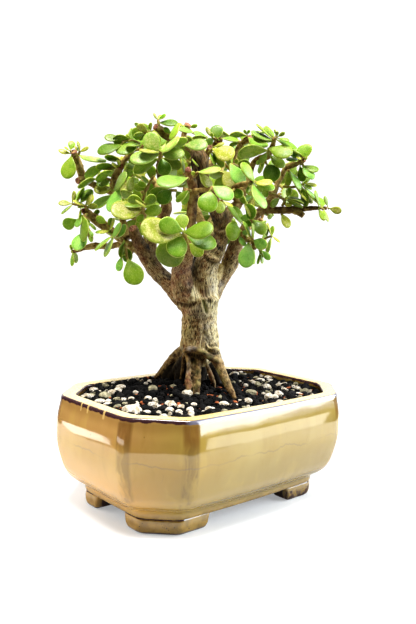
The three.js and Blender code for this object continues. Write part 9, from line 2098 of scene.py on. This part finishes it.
def build_granules():
    r = np.random.default_rng(23)
    woods = [along(w, 2.0) for n, w in WOOD.items() if n.startswith("root") or n == "trunk"]
    A = np.concatenate([w[:-1] for w in woods])
    # every stone lies on the soil inside the rim
    stones = []
    for s in STONES:
        x, y, size = s[0], s[1], max(s[2], s[3])
        while not in_pot(x, y, -8.4 - size * 0.75):
            x, y = x * 0.985, y * 0.985
        if math.hypot(x - s[0], y - s[1]) < 6.5:
            stones.append((x, y, *s[2:]))
    taken = [(s[0], s[1], max(s[2], s[3]) * 0.85) for s in stones]  # x, y, radius

    def free(x, y, z, rad, slack):
        t = np.array(taken)
        if np.any(np.hypot(t[:, 0] - x, t[:, 1] - y) < (t[:, 2] + rad) * slack):
            return False
        return not np.any(np.linalg.norm(A[:, :3] - [x, y, z], axis=1) < A[:, 3] + rad * 0.7)

    black, white, chips, grey = Build("grain"), Build("grain"), Build("grain"), Build("grain")
    kinds = {"k": black, "w": white, "c": chips, "g": grey}
    # stones that the photograph shows one by one
    for i, (x, y, sx, sy, sz, turn, kind, lift) in enumerate(stones):
        flat = kind == "c"
        p, f = rock(3 if kind != "w" or max(sx, sy) < 4 else 4, (sx, sy, sz), 100 + i, 4 if kind == "w" else 9, 0.12 if kind == "w" else 0.2, 0.86 if kind == "w" else 0.7)
        p = turned(p, r, 0.12, turn)
        z = float(soil_top(x, y)) + lift
        shade = r.uniform(0.92, 1.08)
        kinds[kind].add(p + [x, y, z], [f], 0, grain=(r.uniform(), shade, 0))
    # the rest, coarse to fine
    plan = [
        (520, 2.6, 3.9, 0.80, "kkkkkkkwwg"),
        (1500, 1.6, 2.6, 0.80, "kkkkkkkkkkwwgc"),
        (5200, 0.9, 1.6, 0.78, "kkkkkkkkkkkkkkwgc"),
    ]
    for count, lo, hi, slack, mixed in plan:
        for _ in range(count):
            x, y = r.uniform(-77, 77), r.uniform(-51, 51)
            s = r.uniform(lo, hi)
            turn, kind, seed = r.uniform(0, math.tau), mixed[r.integers(len(mixed))], int(r.integers(1 << 30))
            near = math.hypot(x - MOUND[0], y - MOUND[1])
            if kind in "wg" and r.uniform() > np.clip((near - 33) / 24, 0.0, 0.85):
                kind = "k"
            if not in_pot(x, y, -7.6 - s * 0.75):
                continue
            z = float(soil_top(x, y))
            if not free(x, y, z, s * 0.8, slack):
                continue
            taken.append((x, y, s * 0.8))
            shape = np.array([1.0, r.uniform(0.62, 0.95), r.uniform(0.55, 0.85)]) * s
            if kind == "c":
                shape = np.array([1.35, 0.42, 0.26]) * s
            p, f = rock(1 if s < 1.3 else 2, shape, seed % 9973, 6 if kind != "k" else 4, 0.2 if kind != "k" else 0.42, 0.66)
            p = turned(p, r, 0.35, turn)
            shade = {"k": r.uniform(0.35, 1.6), "w": r.uniform(0.72, 1.06), "g": r.uniform(0.6, 1.1), "c": r.uniform(0.6, 1.1)}[kind]
            kinds[kind].add(p + [x, y, z + s * r.uniform(-0.25, 0.35)], [f], 0, grain=(r.uniform(), shade, 0))
    piece(black.make("dark_granules", [CLAY], smooth=True), "soil")
    ob = white.make("pumice_stones", [PUMICE])
    piece(ob, "pumice", *[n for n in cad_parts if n.startswith("pumice_stone")])
    piece(chips.make("bark_chips", [CHIP]), "bark")
    piece(grey.make("grey_grit", [GREY]), "soil")
    return len(taken)


# ---------------------------------------------------------------- stage
def camera():
    az, el, roll = math.radians(-41.30), math.radians(5.44), math.radians(1.69)
    back = Vector((math.sin(az) * math.cos(el), -math.cos(az) * math.cos(el), math.sin(el)))
    right = Vector((math.cos(az), math.sin(az), 0))
    up = back.cross(right)
    target = Vector((0.6 * math.cos(az), 0.6 * math.sin(az), 118.5))
    pos = (target + back * 434.6 + Vector(MIDDLE)) * MM
    r2 = right * math.cos(roll) + up * math.sin(roll)
    u2 = -right * math.sin(roll) + up * math.cos(roll)
    data = bpy.data.cameras.new("camera")
    data.sensor_width = 36.0
    data.lens = 684 / 624 * 36
    data.clip_start, data.clip_end = 0.01, 50
    cam = bpy.data.objects.new("camera", data)
    cam.matrix_world = Matrix(((r2.x, u2.x, back.x, pos.x), (r2.y, u2.y, back.y, pos.y), (r2.z, u2.z, back.z, pos.z), (0, 0, 0, 1)))
    bpy.context.scene.collection.objects.link(cam)
    bpy.context.scene.camera = cam


def area(name, where, towards, size, power, colour=(1, 1, 1), glossy=1.0):
    data = bpy.data.lights.new(name, "AREA")
    data.shape = "RECTANGLE"
    data.size, data.size_y = size
    data.energy = power
    data.color = colour
    ob = bpy.data.objects.new(name, data)
    ob.location = where
    ob.rotation_euler = (Vector(towards) - Vector(where)).to_track_quat("-Z", "Y").to_euler()
    ob.visible_camera = False
    bpy.context.scene.collection.objects.link(ob)
    return ob


def stage():
    m = Nodes("pale_floor")
    x, y, z = m.split(m.coord)
    y = m.math("ADD", y, -MIDDLE[1] * MM)
    # side: to the camera's right; depth: towards the camera
    side = m.math("ADD", m.math("MULTIPLY", x, 0.7513), m.math("MULTIPLY", y, -0.660))
    away = m.math("SQRT", m.math("ADD", m.math("MULTIPLY", x, x), m.math("MULTIPLY", y, y)))
    path = m.t.nodes.new("ShaderNodeLightPath")
    bounce = path.outputs["Is Diffuse Ray"]
    pale = m.mix(m.noise(m.coord, 0.9, 2.0), (0.66, 0.675, 0.69, 1), (0.68, 0.685, 0.69, 1))
    pale = m.mix(path.outputs["Is Glossy Ray"], pale, (0.55, 0.50, 0.43, 1))
    m.set(Base_Color=m.mix(bounce, pale, m.mix(m.ramp(side, -0.06, 0.10), (0.70, 0.70, 0.70, 1), (0.16, 0.16, 0.16, 1))), Roughness=0.6, IOR=1.3)
    seen = m.math("MAXIMUM", m.ramp(away, 0.17, 0.262, 0.30, 0.98), m.ramp(side, -0.045, -0.12, 0.30, 0.62))
    felt = m.ramp(side, -0.20, 0.02, 0.55, 0.0)
    seen = m.math("MULTIPLY", seen, m.math("MULTIPLY_ADD", path.outputs["Is Glossy Ray"], -0.42, 1.0))
    glow = m.math("ADD", m.math("MULTIPLY", m.math("SUBTRACT", 1.0, bounce), seen), m.math("MULTIPLY", bounce, felt))
    m.set(Emission_Color=m.mix(path.outputs["Is Glossy Ray"], (0.97, 0.985, 1.0, 1), (1.0, 0.93, 0.80, 1)), Emission_Strength=glow)
    b = Build()
    n = 72
    ang = np.arange(n) * 2 * np.pi / n
    edge = np.interp(
        np.degrees(ang),
        [0, 100, 130, 132, 139, 149, 180, 205, 213, 216, 220, 240, 270, 287, 299, 310, 322, 360],
        [330, 310, 305, 285, 244, 240, 260, 290, 292, 276, 292, 270, 245, 235, 254, 301, 333, 330],
    )
    v = np.vstack([np.column_stack([np.cos(ang) * edge * q, np.sin(ang) * edge * q, 0 * ang]) for q in (0.25, 0.5, 0.75, 1.0)] + [[[0, 0, 0]]])
    b.add(v, [grid_faces(4, n), fan(np.arange(n), 4 * n)[:, ::-1]])
    floor = b.make("floor", [m.mat])
    floor.data.flip_normals()

    w = bpy.data.worlds.new("studio")
    bpy.context.scene.world = w
    w.use_nodes = True
    t = w.node_tree
    t.nodes.clear()
    link = t.links.new
    out = t.nodes.new("ShaderNodeOutputWorld")
    path = t.nodes.new("ShaderNodeLightPath")

    def back(colour, strength):
        n = t.nodes.new("ShaderNodeBackground")
        n.inputs[0].default_value = (*colour, 1)
        if isinstance(strength, float):
            n.inputs[1].default_value = strength
        else:
            link(strength, n.inputs[1])
        return n.outputs[0]

    def either(fac, a, b):
        n = t.nodes.new("ShaderNodeMixShader")
        link(fac, n.inputs[0])
        link(a, n.inputs[1])
        link(b, n.inputs[2])
        return n.outputs[0]

    sep = t.nodes.new("ShaderNodeSeparateXYZ")
    link(t.nodes.new("ShaderNodeTexCoord").outputs["Generated"], sep.inputs[0])
    ramp = t.nodes.new("ShaderNodeMapRange")
    ramp.interpolation_type = "SMOOTHSTEP"
    for q, val in zip(ramp.inputs, (None, 0.10, 0.95, 0.06, 0.42)):
        if val is not None:
            q.default_value = val
    link(sep.outputs[2], ramp.inputs[0])
    # the white backdrop stands behind the pot, seen from the camera
    dot = t.nodes.new("ShaderNodeVectorMath")
    dot.operation = "DOT_PRODUCT"
    link(sep.inputs[0].links[0].from_socket, dot.inputs[0])
    dot.inputs[1].default_value = (0.660, 0.7513, 0.0)
    wide = t.nodes.new("ShaderNodeMapRange")
    wide.interpolation_type = "SMOOTHSTEP"
    link(dot.outputs["Value"], wide.inputs[0])
    for q, val in zip(wide.inputs, (None, 0.45, 0.85, 0.0, 1.0)):
        if val is not None:
            q.default_value = val

    def backed(base, more):
        n = t.nodes.new("ShaderNodeMath")
        n.operation = "MULTIPLY_ADD"
        link(wide.outputs[0], n.inputs[0])
        n.inputs[1].default_value = more
        if isinstance(base, float):
            n.inputs[2].default_value = base
        else:
            link(base, n.inputs[2])
        return n.outputs[0]

    room = either(path.outputs["Is Glossy Ray"], back((0.95, 0.97, 1.0), backed(0.05, 0.40)), back((0.96, 0.98, 1.0), backed(ramp.outputs[0], 0.90)))
    link(either(path.outputs["Is Camera Ray"], room, back((1, 1, 1), 1.0)), out.inputs[0])

    rf = np.array([0.790, -0.613])  # a little to the right of what the front face mirrors
    toward = np.array([-0.660, -0.751])
    area("overhead", (toward[0] * 0.35, toward[1] * 0.35, 1.25), (0, 0, 0.12), (0.50, 0.50), 26)
    area("right_window", (*(rf * 1.5), 0.62), (0, 0, 0.1), (1.6, 1.05), 48, (0.90, 0.96, 1.0))
    area("left_window", (-0.99, 1.127, 0.60), (0, 0, 0.1), (1.3, 0.9), 21, (1.0, 0.98, 0.92)).visible_glossy = False
    # low strips, mirrored in the pot's upper sides
    area("right_strip", (0.4175, -0.4895, -0.030), (-0.0925, 0.3705, -0.030), (0.287, 0.125), 0.36, (1.0, 0.97, 0.86))
    area("left_strip", (-0.406, 0.494, -0.0765), (-0.05, 0.0, 0.03), (0.14, 0.050), 0.085, (1.0, 0.96, 0.88))
    area("corner_strip", (-0.645, 0.160, -0.006), (-0.08, -0.04, 0.057), (0.42, 0.07), 0.26, (1.0, 0.96, 0.88))
    vs = bpy.context.scene.view_settings
    vs.view_transform = "Standard"
    vs.look = "Medium High Contrast"
    vs.exposure = 0.0
    vs.gamma = 1.0


camera()
stage()
build_pot()
build_soil()
build_granules()
build_wood()
build_shoots()
for name in ("drain_screen_left", "drain_screen_right"):
    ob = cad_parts[name]
    ob.data.materials.clear()
    ob.data.materials.append(mesh_plastic())
